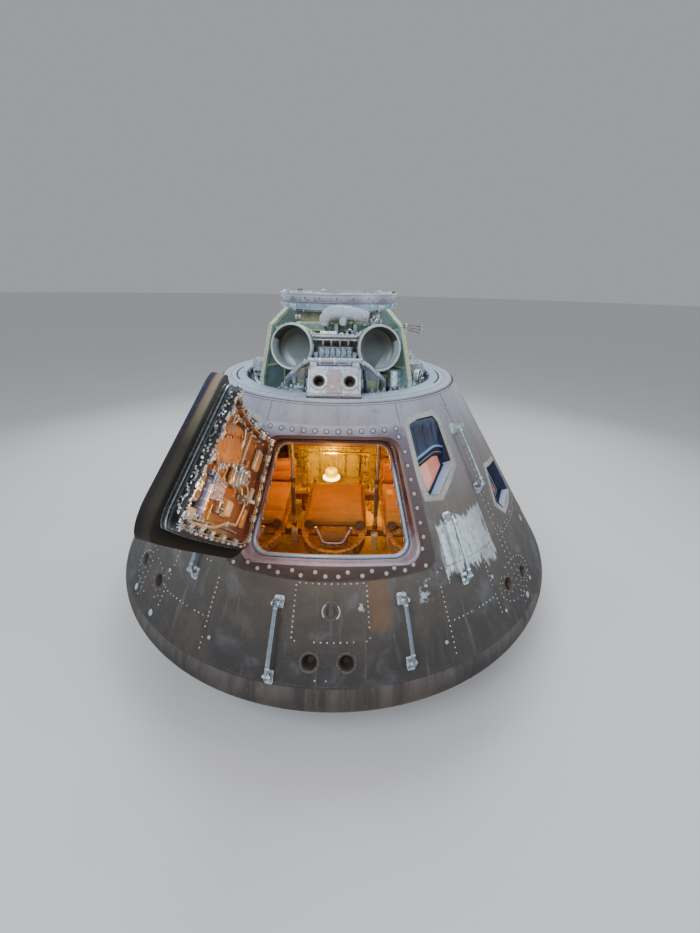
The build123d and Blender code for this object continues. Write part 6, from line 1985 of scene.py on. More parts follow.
# ---------------------------------------------------------------- inner side of the hatch
def structure_material():
    """pan of the hatch: silver and dark strips round its side, dark rim, amber-brown plate"""
    t = Mat("hatch_structure_metal")
    q = t.shell(True)
    x, d = q["x"], q["depth"]
    s_ = t.add(t.mul(t.sub(q["y"], HO.y), S33), t.mul(t.sub(q["z"], 1.6), C33))
    mid = t.noise(q["p"], 16, 5, .62)
    fine = t.noise(q["p"], 110, 3, .6)
    big = t.noise(q["p"], 3.0, 4, .6)
    dd = t.add(d, t.mul(t.sub(mid, .5), .0015))
    side = t.ramp(t.mul(t.sub(dd, .060), 10.0), [(0, (.30, .34, .33)), (.05, (.42, .47, .45)), (.08, (.025, .03, .03)), (.11, (.025, .03, .03)), (.13, (.40, .50, .52)), (.22, (.34, .42, .44)),
                                                 (.24, (.02, .024, .026)), (.29, (.02, .024, .026)), (.31, (.26, .34, .37)), (.38, (.10, .11, .11)), (.42, (.030, .030, .028)), (.62, (.022, .022, .020)), (.68, (.034, .034, .032))])
    e = t.sub(t.sub(.512, t.mul(t.add(s_, .342), .1973)), t.math("ABSOLUTE", x))
    e = t.math("MINIMUM", e, t.math("MINIMUM", t.add(s_, .342), t.sub(.388, s_)))
    inside = t.rng(e, .060, .066)
    plate = t.mix(t.rng(big, .38, .66), (.44, .20, .065), (.27, .115, .045))
    plate = t.mix(t.rng(x, .16, .34), plate, (.060, .050, .040))
    plate = t.mix(t.rng(s_, -.16, -.26), plate, (.36, .27, .15))
    plate = t.mix(t.rng(x, -.22, -.34), plate, (.22, .085, .050))
    plate = t.mix(t.mul(t.rng(mid, .54, .72), .5), plate, (.07, .040, .022))
    c = t.mix(inside, side, plate)
    c = t.mix(t.mul(t.rng(fine, .54, .74), .25), c, (.06, .05, .045))
    h = t.add(t.mul(mid, .6), t.mul(fine, .4))
    t.set(Base_Color=c, Roughness=t.add(.36, t.mul(t.sub(mid, .5), .35)), Metallic=.35, Normal=t.bump(h, .25, .0015))
    return t.m


M["hstruct"] = structure_material()
NODES["hatch_structure"].data.materials.clear()
NODES["hatch_structure"].data.materials.append(M["hstruct"])
M["bluecase"] = worn_metal("blue_case", (.36, .38, .60), .20, .45, tint=(.46, .40, .50), edge=(.8, .86, 1), dirt=(.14, .09, .08), dirtamt=.4, wear=.8, scale=4)
M["yellowbox"] = worn_metal("yellow_box", (.80, .50, .09), .34, .1, tint=(.66, .38, .06), edge=(.95, .8, .45), dirt=(.25, .13, .03), dirtamt=.4, scale=5)
M["amberpart"] = worn_metal("amber_part", (.62, .27, .045), .38, .35, tint=(.46, .18, .035), edge=(.9, .62, .3), dirt=(.16, .06, .02), dirtamt=.45, scale=4)
M["brass"] = worn_metal("brass_part", (.50, .33, .11), .32, .7, tint=(.38, .24, .08), edge=(.85, .7, .4), dirt=(.12, .07, .03), dirtamt=.4, scale=4)
M["ivory"] = worn_metal("ivory_grip", (.72, .68, .60), .45, .0, paint=True, tint=(.6, .55, .46), edge=(.85, .82, .76), dirt=(.25, .2, .15), dirtamt=.35, scale=6)
M["tube"] = worn_metal("pale_tube", (.56, .52, .42), .34, .35, tint=(.44, .39, .30), edge=(.85, .82, .74), dirt=(.18, .12, .07), dirtamt=.4, scale=4)


def hb(g, x, s_, w, h, d0, d1, m=0, turn=0.0, b=.003, tx=1.0, ty=1.0):
    g.box(hframe(x, s_, d0, turn) @ T(0, 0, (d1 - d0) / 2), w, h, d1 - d0, b, m, tx, ty)


def hline(pts, dz=0.0):
    return [hp(x, s_, d + dz) for x, s_, d in pts]


def fwidth(s_):
    return .512 - .1973 * (s_ + .342)


def edge_x(s_, ins):
    """x of the pan's edge set in by ins, round its corners too"""
    d = max(-.257 - s_, s_ - .303, 0)
    r = .085 - ins
    return fwidth(s_) - (ins if d <= 0 else .085 - sqrt(max(r * r - d * d, 0)))


LATCH = []
for s_ in (-.250, -.130, -.010, .110, .230, .330):
    w_ = fwidth(s_) - .024 - .036
    LATCH += [(w_, s_, 90 - 11), (-w_, s_, 90 + 11)]
for x in (-.300, -.150, 0, .150, .300):
    LATCH.append((x, -.290, 0))
for x in (-.200, -.070, .070, .200):
    LATCH.append((x, .322, 0))

# latches: bracket, roller between cheeks, link rod, bolts
g = G("latch_rollers", M["silver"], M["dark"], M["steel"], M["brass"])
for i, (x, s_, a) in enumerate(LATCH):
    F = hframe(x, s_, .1225, a)
    g.box(F @ T(0, 0, .0045), .044, .040, .009, .0015, 1)
    for sx in (-1, 1):
        g.box(F @ T(sx * .0150, 0, .0190), .0055, .034, .024, .0012, 0)
        g.bolt(F @ T(sx * .0178, 0, .0215) @ R(sx * 90, 'Y'), .0055, .0040, 0, False)
        g.bolt(F @ T(sx * .0150, .0145, .0090), .0028, .0030, 2, False)
    g.cyl(F @ T(-.0122, 0, .0215) @ R(90, 'Y'), .0112, .0244, 20, .0012, 2)
    g.cyl(F @ T(-.0060, 0, .0215) @ R(90, 'Y'), .0120, .0120, 20, .0010, 0)
    g.box(F @ T(0, -.0140, .0135), .022, .010, .010, .0015, 3 if i % 2 else 0)
g.done(body="side_hatch", replaces=("hatch_latches",), hatch=True)

# link rods and small blocks round the rim
g = G("latch_linkage", M["silver"], M["dark"], M["steel"], M["brass"], M["tube"])
rr_ = trap(inset=.0430, n=6, side=22, **FRAME)
g.pipe([hp(x, s_, .1350) for x, s_ in rr_], .0042, 8, 2, closed=True)
g.pipe([hp(x, s_, .1325) for x, s_ in trap(inset=.0560, n=6, side=22, **FRAME)], .0028, 8, 4, closed=True)
for i, (x, s_) in enumerate(rr_):
    j = (i + 1) % len(rr_)
    a = degrees(atan2(-(rr_[j][1] - s_), rr_[j][0] - x))
    if i % 2 == 0:
        hb(g, x, s_, .020, .013, .1300, .1425, (0, 2, 3)[i % 3], a, .002)
        g.bolt(hframe(x, s_, .1425), .0036, .0036, 0, False)
    else:
        g.cyl(hframe(x, s_, .1300), .0060, .0110, 12, .001, 1)
# free edge: packed row of levers, rollers and black recesses
q = random.Random(21)
for i in range(64):
    s_ = -.312 + .640 * i / 63
    w_ = fwidth(s_)
    for ins, d0 in ((.034, .1300), (.072, .1002)):
        if q.random() < .16:
            continue
        x = edge_x(s_, ins + .003) - q.uniform(-.004, .006)
        a = 79 + q.uniform(-14, 14)
        kind = q.random()
        F = hframe(x, s_, d0, a)
        if kind < .40:
            g.box(F @ T(0, 0, .006), q.uniform(.010, .018), q.uniform(.008, .016), .012 + q.uniform(0, .008), .0015, 0 if q.random() < .6 else 1)
        elif kind < .62:
            g.cyl(F @ T(-.008, 0, .007) @ R(90, 'Y'), .0058, .016, 12, .001, 0)
            g.cyl(F @ T(-.003, 0, .007) @ R(90, 'Y'), .0066, .005, 12, .0008, 2)
        elif kind < .80:
            g.cyl(F, .0062, .014, 12, .001, 1)
            g.bolt(F @ T(0, 0, .014), .0042, .004, 0, False)
        else:
            g.box(F @ T(0, 0, .004), .022, .010, .008, .001, 1)
            g.bolt(F @ T(0, 0, .008), .0044, .0045, 0)
for i in range(12):
    s_ = -.256 + .050 * i
    w_ = fwidth(s_) - .053
    hb(g, w_, s_, .036, .030, .1002, .1345, 1, 79, .002)
    g.pipe(hline([(w_ - .010, s_ - .020, .138), (w_ + .002, s_, .143), (w_ - .006, s_ + .026, .138)]), .0026, 8, 0)
for i in range(78):
    s_ = -.258 + .562 * i / 77
    w_ = fwidth(s_)
    if q.random() < .14:
        continue
    d_ = q.uniform(.1020, .1260)
    F = hframe(w_ - .0225, s_ + q.uniform(-.003, .003), d_, 79 + q.uniform(-10, 10))
    kind = q.random()
    m_ = 0 if q.random() < .58 else (1 if q.random() < .6 else 4)
    if kind < .5:
        g.box(F, q.uniform(.006, .013), q.uniform(.006, .012), q.uniform(.006, .014), .0012, m_)
    elif kind < .75:
        g.cyl(F @ T(-.006, 0, 0) @ R(90, 'Y'), .0042, .012, 10, .0008, m_)
    else:
        g.cyl(F @ T(0, .004, 0) @ R(90, 'X'), .0050, .009, 10, .0008, 0)
        g.cyl(F @ T(0, .0055, 0) @ R(90, 'X'), .0024, .012, 8, .0004, 1)
# strips on the side of the pan
for ins, d, r_, m in ((.0235, .0640, .0026, 0), (.0235, .0735, .0034, 1), (.0230, .0830, .0042, 0), (.0235, .0930, .0030, 1)):
    g.pipe(hloop(FRAME, ins, d, 8, 14), r_, 8, m, closed=True)
g.done(body="side_hatch", hatch=True)

# gearbox with its concentric housing and the control box below it
g = G("gearbox_unit", M["steel"], M["silver"], M["brass"], M["dark"], M["yellowbox"], M["amberpart"], M["ivory"])
hb(g, -.120, .040, .180, .130, .1002, .1180, 3, 0, .004)
hb(g, -.120, .040, .164, .114, .1180, .1205, 5, 0, .0012)
F = hframe(-.120, .040, .1190)
g.lathe(F, [(.0720, 0), (.0720, .010), (.0700, .0125), (.0660, .0135), (.0655, .030), (.0640, .0325), (.0560, .0330), (.0550, .0285), (.0500, .0280), (.0490, .0385), (.0470, .0410), (.0440, .0430), (.0440, .0560), (.0425, .0590), (.0330, .0600), (.0320, .0560), (.0260, .0555), (.0250, .0610), (.0180, .0630), (.0170, .0650), (0, .0650)], 56, 1)
g.torus(F @ T(0, 0, .0335), .0600, .0022, 48, 8, 2)
g.torus(F @ T(0, 0, .0590), .0380, .0020, 40, 8, 2)
for i in range(12):
    t_ = pi * i / 6
    g.bolt(F @ T(.0690 * cos(t_), .0690 * sin(t_), .0120), .0030, .0035, 0, False)
for i in range(8):
    t_ = pi * i / 4 + .2
    g.bolt(F @ T(.0525 * cos(t_), .0525 * sin(t_), .0282), .0026, .0030, 0, False)
for i in range(6):
    t_ = pi * i / 3
    g.bolt(F @ T(.0290 * cos(t_), .0290 * sin(t_), .0555), .0022, .0028, 0, False)
g.cyl(F @ T(0, 0, .064), .0090, .006, 16, .001, 3)
for sx in (-1, 1):
    for sy in (-1, 1):
        g.bolt(hframe(-.120 + sx * .080, .040 + sy * .054, .1180), .0050, .0050, 1)
hb(g, -.196, .062, .022, .050, .1180, .1400, 0, 0, .003)
hb(g, -.048, .075, .030, .038, .1180, .1380, 1, 0, .003)
g.cyl(hframe(-.048, .075, .1380), .0110, .0120, 18, .0015, 3)
hb(g, -.050, -.004, .028, .034, .1180, .1320, 4, 0, .003)
# control box: pale-yellow case, amber sides, connectors
hb(g, -.112, -.140, .070, .080, .1002, .1430, 4, 0, .004)
hb(g, -.112, -.140, .058, .066, .1430, .1450, 6, 0, .001)
hb(g, -.036, -.140, .068, .082, .1002, .1350, 0, 0, .004)
hb(g, -.036, -.124, .052, .020, .1350, .1400, 2, 0, .0015)
hb(g, -.036, -.156, .052, .026, .1350, .1385, 3, 0, .0015)
for i in range(4):
    g.cyl(hframe(-.056 + .0135 * i, -.156, .1385), .0042, .0060, 12, .0008, 1)
    g.bolt(hframe(-.056 + .0135 * i, -.124, .1400), .0026, .0030, 1, False)
for sx in (-1, 1):
    for sy in (-1, 1):
        g.bolt(hframe(-.112 + sx * .023, -.140 + sy * .028, .1450), .0030, .0026, 1, False)
for i in range(3):
    F = hframe(-.134 + .022 * i, -.184, .1120) @ R(90, 'X')
    g.cyl(F, .0078, .014, 14, .001, 1)
    g.cyl(F @ T(0, 0, .014), .0060, .012, 14, .001, 3)
g.done(body="side_hatch", replaces=("hatch_gearbox",), hatch=True)

# operating handle
g = G("handle_lever", M["steel"], M["silver"], M["ivory"], M["dark"])
F = hframe(-.236, -.050, .1000)
g.lathe(F, [(.0220, 0), (.0220, .012), (.0190, .015), (.0185, .030), (.0210, .033), (.0210, .046), (.0190, .049), (0, .049)], 28, 0)
for i in range(6):
    t_ = pi * i / 3
    g.bolt(F @ T(.0160 * cos(t_), .0160 * sin(t_), .049), .0024, .0028, 1, False)
g.pipe(hline([(-.184, -.050, .1560), (-.205, -.050, .1580), (-.236, -.050, .1590), (-.262, -.050, .1590)]), [.0085, .0095], 12, 1, 3, flat=.62)
g.pipe(hline([(-.258, -.050, .1590), (-.275, -.050, .1595), (-.296, -.050, .1595), (-.312, -.050, .1590), (-.320, -.050, .1585)]), [.0100, .0095], 14, 2, 4)
g.torus(hframe(-.259, -.050, .1590) @ R(90, 'Y'), .0098, .0020, 20, 6, 1)
g.cyl(hframe(-.184, -.050, .1490), .0100, .0130, 16, .0015, 3)
g.pipe(hline([(-.184, -.050, .1520), (-.176, -.030, .1480), (-.168, .000, .1400), (-.160, .020, .1320)]), .0034, 8, 1, 4)
g.done(body="side_hatch", replaces=("hatch_handle",), hatch=True)

# counterbalance: cylinder between end blocks, with its fill block
g = G("counterbalance_unit", M["bluecase"], M["silver"], M["dark"], M["brass"], M["tube"])
Fc = hframe(.225, -.1400, .1275) @ R(90, 'X')
g.lathe(Fc, [(0, -.092), (.014, -.092), (.018, -.088), (.0270, -.078), (.0275, -.070), (.0275, .066), (.0270, .074), (.018, .086), (.012, .092), (0, .092)], 32, 0)
for z_ in (-.060, -.020, .020, .060):
    g.lathe(Fc, [(.0278, z_ - .005), (.0298, z_ - .004), (.0298, z_ + .004), (.0278, z_ + .005)], 32, 1)
for s_ in (-.243, -.040):
    hb(g, .225, s_, .078, .024, .1002, .1480, 1, 0, .003)
    for sx in (-1, 1):
        g.bolt(hframe(.225 + sx * .029, s_, .1480), .0044, .0045, 2)
for s_ in (-.205, -.140, -.075):
    hb(g, .225, s_, .066, .010, .1002, .1180, 2, 0, .0015)
hb(g, .225, -.062, .052, .050, .1480, .1620, 0, 0, .004)
g.cyl(hframe(.225, -.062, .1620), .0180, .0100, 26, .0015, 1)
g.cyl(hframe(.225, -.062, .1720), .0090, .0040, 18, .0010, 3)
for sx in (-1, 1):
    for sy in (-1, 1):
        g.bolt(hframe(.225 + sx * .020, -.062 + sy * .019, .1620), .0026, .0030, 1, False)
g.pipe(hline([(.225, -.036, .1500), (.218, -.014, .1440), (.196, .004, .1340), (.168, .012, .1240)]), .0040, 8, 1, 5)
g.done(body="side_hatch", replaces=("hatch_counterbalance",), hatch=True)

# other equipment on the plate: bright valve, blue case, strips, window ring, lines
g = G("hatch_equipment", M["silver"], M["bluecase"], M["dark"], M["amberpart"], M["brass"], M["tube"], M["yellowbox"], M["steel"])
valve(g, hframe(.140, .020, .1002, 20), .034, 0, 0)
valve(g, hframe(.086, .048, .1002, -30), .026, 0, 4)
g.cyl(hframe(.290, .030, .1002), .026, .030, 26, .003, 0)
g.dome(hframe(.290, .030, .1302), .024, .010, 22, 0)
g.ring(hframe(.290, .030, .1002), .032, .026, .008, 26, .001, 7)
g.pipe(hline([(.290, .030, .118), (.250, .034, .126), (.210, .026, .128), (.172, .018, .120)]), .0095, 12, 0, 5)
g.pipe(hline([(.318, .010, .112), (.338, -.030, .122), (.330, -.070, .122), (.300, -.100, .112)]), .0060, 10, 5, 5)
g.cyl(hframe(-.018, .075, .1002), .0170, .020, 24, .002, 0)
g.cyl(hframe(-.018, .075, .1202), .0210, .014, 24, .003, 7)
g.dome(hframe(-.018, .075, .1342), .018, .006, 20, 0)
hb(g, .080, -.085, .150, .100, .1002, .1380, 1, 6, .010)
hb(g, .080, -.085, .118, .070, .1380, .1440, 1, 6, .006)
g.pipe(hline([(.012, -.040, .142), (.080, -.034, .146), (.148, -.046, .142)]), .0040, 8, 0, 4)
for qx in (-.052, 0, .052):
    for qs in (-.030, .030):
        g.bolt(hframe(.080 + qx, -.085 + qs, .1435), .0036, .0040, 0, False)
hb(g, .330, -.120, .060, .130, .1002, .1280, 1, 0, .008)
hb(g, .330, -.120, .040, .100, .1280, .1330, 2, 0, .003)
hb(g, .310, -.235, .110, .050, .1002, .1240, 5, 0, .005)
for x, s_, w_, h_, a, m in ((.016, -.002, .100, .012, 70, 3), (-.008, -.050, .016, .090, 0, 6), (.170, -.010, .014, .080, 20, 3), (.150, -.180, .120, .012, 4, 3), (.030, -.190, .014, .080, 0, 6), (-.176, -.020, .012, .090, 0, 3), (-.210, .110, .014, .100, 0, 3)):
    hb(g, x, s_, w_, h_, .1002, .1120, m, a, .002)
    g.bolt(hframe(x, s_, .1120), .0034, .0034, 0, False)
# ring and shade track round the window
Fw = hframe(0, .212, .1002)
g.lathe(Fw, [(.0950, -.002), (.0950, .004), (.0975, .0065), (.1070, .0070), (.1100, .0045), (.1100, 0)], 60, 0)
for i in range(16):
    t_ = 2 * pi * i / 16
    g.bolt(Fw @ T(.1025 * cos(t_), .1025 * sin(t_), .0068), .0030, .0032, 7, False)
g.torus(Fw @ T(0, 0, .003), .1180, .0035, 60, 8, 2)
for sx in (-1, 1):
    hb(g, sx * .140, .212, .012, .200, .1002, .1120, 5, 0, .002)
    for i in range(5):
        g.bolt(hframe(sx * .140, .132 + .040 * i, .1120), .0026, .0030, 0, False)
# tubes along the lower edge and up the side
g.pipe(hline([(.380, -.215, .112), (.300, -.262, .120), (.200, -.268, .122), (.060, -.262, .122), (-.060, -.250, .122), (-.180, -.212, .118), (-.300, -.200, .112)]), .0090, 12, 5, 6)
g.pipe(hline([(.360, -.190, .110), (.270, -.236, .114), (.120, -.246, .114), (-.020, -.240, .114), (-.140, -.236, .112), (-.330, -.240, .110)]), .0058, 10, 0, 6)
g.pipe(hline([(.250, -.278, .112), (.100, -.280, .114), (-.100, -.280, .114), (-.260, -.276, .110)]), .0044, 8, 4, 6)
g.pipe(hline([(-.200, .120, .110), (-.240, .040, .118), (-.300, -.010, .118), (-.310, -.120, .114), (-.300, -.200, .112)]), .0062, 10, 5, 6)
g.pipe(hline([(-.048, .075, .134), (-.020, .100, .138), (.030, .090, .134), (.070, .060, .124)]), .0040, 8, 4, 5)
for x, s_ in ((.300, -.262), (.060, -.262), (-.180, -.212), (.120, -.246), (-.310, -.060)):
    hb(g, x, s_, .014, .030, .1002, .1320, 0, 0, .0015)
    g.bolt(hframe(x, s_, .1320), .0034, .0034, 7, False)
# chain of small fittings along the top edge
q = random.Random(9)
for i in range(30):
    x = -.290 + .0195 * i
    F = hframe(x, .292 + .010 * q.random(), .1002, q.uniform(-25, 25))
    if i % 3 == 0:
        g.cyl(F, .0075, .016, 14, .0012, 0)
        g.bolt(F @ T(0, 0, .016), .0042, .004, 4, False)
    elif i % 3 == 1:
        g.box(F @ T(0, 0, .007), .013, .016, .014, .0015, 2 if q.random() < .5 else 0)
    else:
        g.cyl(F @ T(-.007, 0, .008) @ R(90, 'Y'), .0060, .014, 12, .001, 7)
# bright lever cluster in the upper corner
for x, s_, w_, h_, d1, a in ((.250, .262, .050, .020, .128, 20), (.285, .245, .034, .026, .134, -10), (.300, .215, .022, .040, .126, 10), (.262, .230, .026, .018, .120, 40), (.316, .268, .020, .026, .124, 0)):
    hb(g, x, s_, w_, h_, .1002, d1, 0, a, .003)
    g.bolt(hframe(x, s_, d1), .0046, .0050, 7)
g.pipe(hline([(.236, .276, .124), (.270, .256, .134), (.300, .230, .132), (.312, .196, .122)]), .0052, 10, 0, 5)
# left part: pale case with a lid, and two more boxes
hb(g, -.286, .190, .080, .120, .1002, .1260, 5, 0, .006)
hb(g, -.286, .190, .064, .100, .1260, .1290, 3, 0, .002)
for qs in (-.040, 0, .040):
    g.bolt(hframe(-.286, .190 + qs, .1290), .0034, .0036, 0, False)
hb(g, -.352, -.150, .050, .110, .1002, .1220, 3, 0, .004)
hb(g, -.352, -.010, .040, .090, .1002, .1200, 5, 0, .004)
# small screws over the plate
for x, s_ in ((.060, .050), (.200, .090), (.340, .120), (-.180, .160), (-.240, .260), (.180, -.210), (-.060, -.060), (-.160, -.110), (-.350, .080), (.100, -.160), (.020, .020), (-.200, -.160)):
    g.bolt(hframe(x, s_, .1002), .0042, .0045, 0)
g.done(body="side_hatch", hatch=True)

# stowage pouch across the lower half of the window: soft bag with a flap and straps
NU, NV = (64, 40)
PC = [(-.088, .096), (.305, .046), (.330, .150), (.020, .262)]          # low left, low right, up right, up left


def pouch_xy(u, v):
    a = Vector(PC[0]).lerp(Vector(PC[1]), u)
    b = Vector(PC[3]).lerp(Vector(PC[2]), u)
    p = a.lerp(b, v)
    p.y += .020 * sin(pi * u) * (v - .5) * 2
    return p


def pouch_h(u, v):
    ed = (1 - (2 * u - 1) ** 10) * (1 - (2 * v - 1) ** 8)
    h = .026 * max(ed, 0) ** .55
    h += .0060 * sin(3.2 * pi * u + .6) * ed
    h += .0034 * sin(19 * u + 3 * v) * sin(7 * v + 5 * u) * ed
    h += .0022 * sin(43 * u + 9 * v + 2.5 * sin(8 * v)) * ed
    for c_, w_ in ((.36, .020), (.69, .020)):
        h -= .013 * math_gauss(u - c_, w_) * ed
    h -= .010 * math_gauss(v - .72, .018) * ed
    return h


def math_gauss(a, w):
    return 2.718281828 ** (-(a / w) ** 2)


g = G("hatch_pouch", M["pouch"], M["silver"])
top, bot = [], []
for i in range(NV + 1):
    v_ = i / NV
    rt, rb = [], []
    for j in range(NU + 1):
        u_ = j / NU
        p = pouch_xy(u_, v_)
        rt.append(hp(p.x, p.y, .1120 + pouch_h(u_, v_)))
        rb.append(hp(p.x, p.y, .1080))
    top.append(rt)
    bot.append(rb)
n0 = (NU + 1) * (NV + 1)
V_ = [p for r_ in top for p in r_] + [p for r_ in bot for p in r_]
F_ = []
for i in range(NV):
    for j in range(NU):
        a = i * (NU + 1) + j
        F_.append([a, a + 1, a + NU + 2, a + NU + 1])
        F_.append([n0 + a, n0 + a + NU + 1, n0 + a + NU + 2, n0 + a + 1])
E_ = list(range(NU + 1)) + [i * (NU + 1) + NU for i in range(1, NV + 1)] + [NV * (NU + 1) + j for j in range(NU - 1, -1, -1)] + [i * (NU + 1) for i in range(NV - 1, 0, -1)]
for k, a in enumerate(E_):
    b = E_[(k + 1) % len(E_)]
    F_.append([a, n0 + a, n0 + b, b])
g.put(V_, F_, 0)
g.pipe([hp(pouch_xy(u_, 0).x, pouch_xy(u_, 0).y, .112) for u_ in [i / 24 for i in range(25)]], .0036, 8, 0)
g.pipe([hp(pouch_xy(u_, 1).x, pouch_xy(u_, 1).y, .112) for u_ in [i / 24 for i in range(25)]], .0040, 8, 0)
for u_ in (0, 1):
    g.pipe([hp(pouch_xy(u_, v_).x, pouch_xy(u_, v_).y, .112) for v_ in [i / 12 for i in range(13)]], .0036, 8, 0)
p_o = g.done(body="side_hatch", hatch=True, angle=60)
g = G("pouch_snaps", M["silver"], M["pouch"])
for u_, v_ in ((.02, .04), (.35, .04), (.68, .04), (.97, .06), (.02, .95), (.35, .95), (.68, .95), (.97, .93)):
    p = pouch_xy(u_, v_)
    g.dome(hframe(p.x, p.y, .1165), .0055, .0030, 12, 0)
for u_ in (.18, .52, .85):
    pts = []
    for i in range(13):
        v_ = .60 + .26 * i / 12
        p = pouch_xy(u_, v_)
        pts.append(hp(p.x, p.y, .1140 + pouch_h(u_, v_)))
    g.pipe(pts, .0070, 8, 1, flat=.28)
    p = pouch_xy(u_, .62)
    g.dome(hframe(p.x, p.y, .1150 + pouch_h(u_, .62)), .0060, .0035, 12, 0)
g.done(body="side_hatch", hatch=True)

# ---------------------------------------------------------------- cabin, seen through the hatch
def lens_material(name, col, e_col, e):
    t = Mat(name)
    sm = t.noise(t.p, 30, 3, .6)
    t.set(Base_Color=t.mix(sm, col, tuple(v * .8 for v in col)), Roughness=t.add(.22, t.mul(sm, .12)), Emission_Color=t.mix(sm, e_col, tuple(v * .8 for v in e_col)), Emission_Strength=e)
    return t.m


def wall_material():
    """cabin walls and lockers: warm yellow-tan paint, vertical drips"""
    t = Mat("cabin_wall_paint")
    x, y, z = t.xyz(t.p)
    mid = t.noise(t.p, 14, 5, .62)
    big = t.noise(t.p, 2.4, 4, .6)
    drip = t.noise(t.vec(t.mul(x, 16), t.mul(y, 16), t.mul(z, 1.3)), 1.6, 5, .62)
    c = t.mix(t.rng(big, .36, .66), (.72, .53, .035), (.60, .40, .030))
    c = t.mix(t.mul(t.rng(drip, .50, .66), .6), c, (.26, .125, .012))
    c = t.mix(t.mul(t.rng(mid, .54, .74), .45), c, (.14, .075, .022))
    c = t.mix(t.mul(t.edge(), .35), c, (.85, .66, .30))
    h = t.add(t.mul(mid, .6), t.mul(drip, .5))
    t.set(Base_Color=c, Roughness=t.add(.40, t.mul(t.sub(mid, .5), .35)), Normal=t.bump(h, .35, .002), Specular_IOR_Level=.5)
    return t.m


M["wall"] = wall_material()
M["lens"] = lens_material("lamp_lens", (.95, .62, .04), (1.0, .60, .004), 1.7)
M["lens_ring"] = lens_material("lamp_base_lens", (.98, .86, .50), (1.0, .84, .36), 7.0)
M["couchorange"] = fabric("couch_cover", (.58, .300, .044), (.49, .240, .036), 1300, .62, .22, .75, (.26, .12, .03), .4)
M["headcover"] = fabric("headrest_cover", (.42, .185, .034), (.34, .145, .028), 1300, .6, .2, .8, (.17, .07, .018), .4)
M["strap"] = fabric("yoke_strap", (.66, .30, .070), (.56, .24, .055), 1500, .5, .2, .12, (.34, .14, .04), .15)
M["stitch"] = worn_metal("pale_stitch", (.78, .62, .36), .6, .0, paint=True, tint=(.66, .5, .28), edge=(.9, .8, .6), scale=6)
M["bracket"] = worn_metal("bracket_pale", (.80, .66, .66), .25, .35, tint=(.7, .52, .50), edge=(1, .95, .95), dirt=(.35, .18, .14), dirtamt=.3, scale=5)
M["gold"] = worn_metal("cabin_tube", (.74, .50, .14), .24, .65, tint=(.60, .36, .09), edge=(1, .85, .5), dirt=(.22, .11, .03), dirtamt=.4, scale=4, wear=.8)
M["cdark"] = worn_metal("cabin_recess", (.085, .040, .018), .5, .1, tint=(.13, .06, .022), edge=(.5, .3, .12), dirt=(.03, .016, .01), dirtamt=.4, scale=4, wear=.6)
M["cbrown"] = worn_metal("cabin_brown", (.34, .150, .045), .42, .2, tint=(.26, .11, .035), edge=(.8, .5, .2), dirt=(.10, .045, .018), dirtamt=.45, scale=3, wear=.7)
M["cpale"] = worn_metal("cabin_pale_box", (.80, .62, .28), .36, .1, tint=(.68, .50, .2), edge=(.95, .85, .6), dirt=(.30, .18, .06), dirtamt=.35, scale=4, wear=.6)
for node, key in {"cabin_floor": "wall", "equipment_bays": "wall", "couch_frame": "cbrown", "left_seat_pan": "cbrown", "centre_seat_pan": "cbrown", "right_seat_pan": "cbrown"}.items():
    NODES[node].data.materials.clear()
    NODES[node].data.materials.append(M[key])

# standing lamp
g = G("lamp_body", M["lampcase"], M["lens"], M["lens_ring"], M["cdark"], M["silver"])
F = T(-.098, .640, .630)
g.lathe(F, [(0, 0), (.100, 0), (.104, .003), (.104, .012), (.098, .018), (.084, .040), (.078, .056), (.0745, .060)], 48, 0)
g.lathe(F, [(.0730, .058), (.0735, .062), (.0735, .104), (.0900, .108), (.0960, .112)], 48, 4)
g.lathe(F, [(.0960, .112), (.0990, .116), (.0990, .130), (.0960, .134), (.0700, .137)], 48, 2)
g.lathe(F, [(.0690, .136), (.0705, .140), (.0705, .206), (.0690, .212), (.0600, .2235), (.0400, .2285), (0, .2300)], 48, 1)
for i in range(12):
    t_ = pi * i / 6
    g.pipe([F @ Vector((.0725 * cos(t_), .0725 * sin(t_), .138)), F @ Vector((.0725 * cos(t_), .0725 * sin(t_), .208)), F @ Vector((.050 * cos(t_), .050 * sin(t_), .2290))], .0016, 6, 4)
for z_ in (.160, .186):
    g.torus(F @ T(0, 0, z_), .0722, .0014, 40, 6, 4)
for i in range(8):
    t_ = pi * i / 4 + .2
    g.bolt(F @ T(.092 * cos(t_), .092 * sin(t_), .0215), .0040, .0045, 4)
g.ring(F @ T(0, 0, .2270), .020, .012, .006, 24, .001, 4)
g.done(replaces=("cabin_floodlight",))

# foot frame and tubes at the far end of the couches
g = G("foot_frame", M["gold"], M["cbrown"], M["cdark"], M["silver"], M["cpale"])
for x, m in ((-.370, 1), (.318, 0)):
    g.box(T(x, .640, .842), .026, .026, .424, .002, m)
    g.box(T(x, .640, .636), .070, .070, .010, .0015, 2)
    g.cyl(T(x - .030, .640, .632), .0085, .430, 14, .001, 0)
    for z_ in (.700, .820, .940, 1.020):
        g.box(T(x - .015, .640, z_), .062, .034, .018, .002, 2)
        g.bolt(T(x, .622, z_) @ R(90, 'X'), .0050, .0050, 3)
g.box(T(-.026, .640, 1.062), .728, .024, .020, .002, 0)
g.box(T(-.130, .660, 1.128), .820, .030, .026, .003, 1)
g.cyl(T(-.540, .648, 1.106) @ R(90, 'Y'), .0085, .820, 16, .001, 0)
for x in (-.480, -.370, -.240, -.110, .030, .170, .262):
    g.box(T(x, .652, 1.094), .016, .030, .050, .002, 2)
    g.bolt(T(x, .636, 1.100) @ R(90, 'X'), .0046, .0045, 3, False)
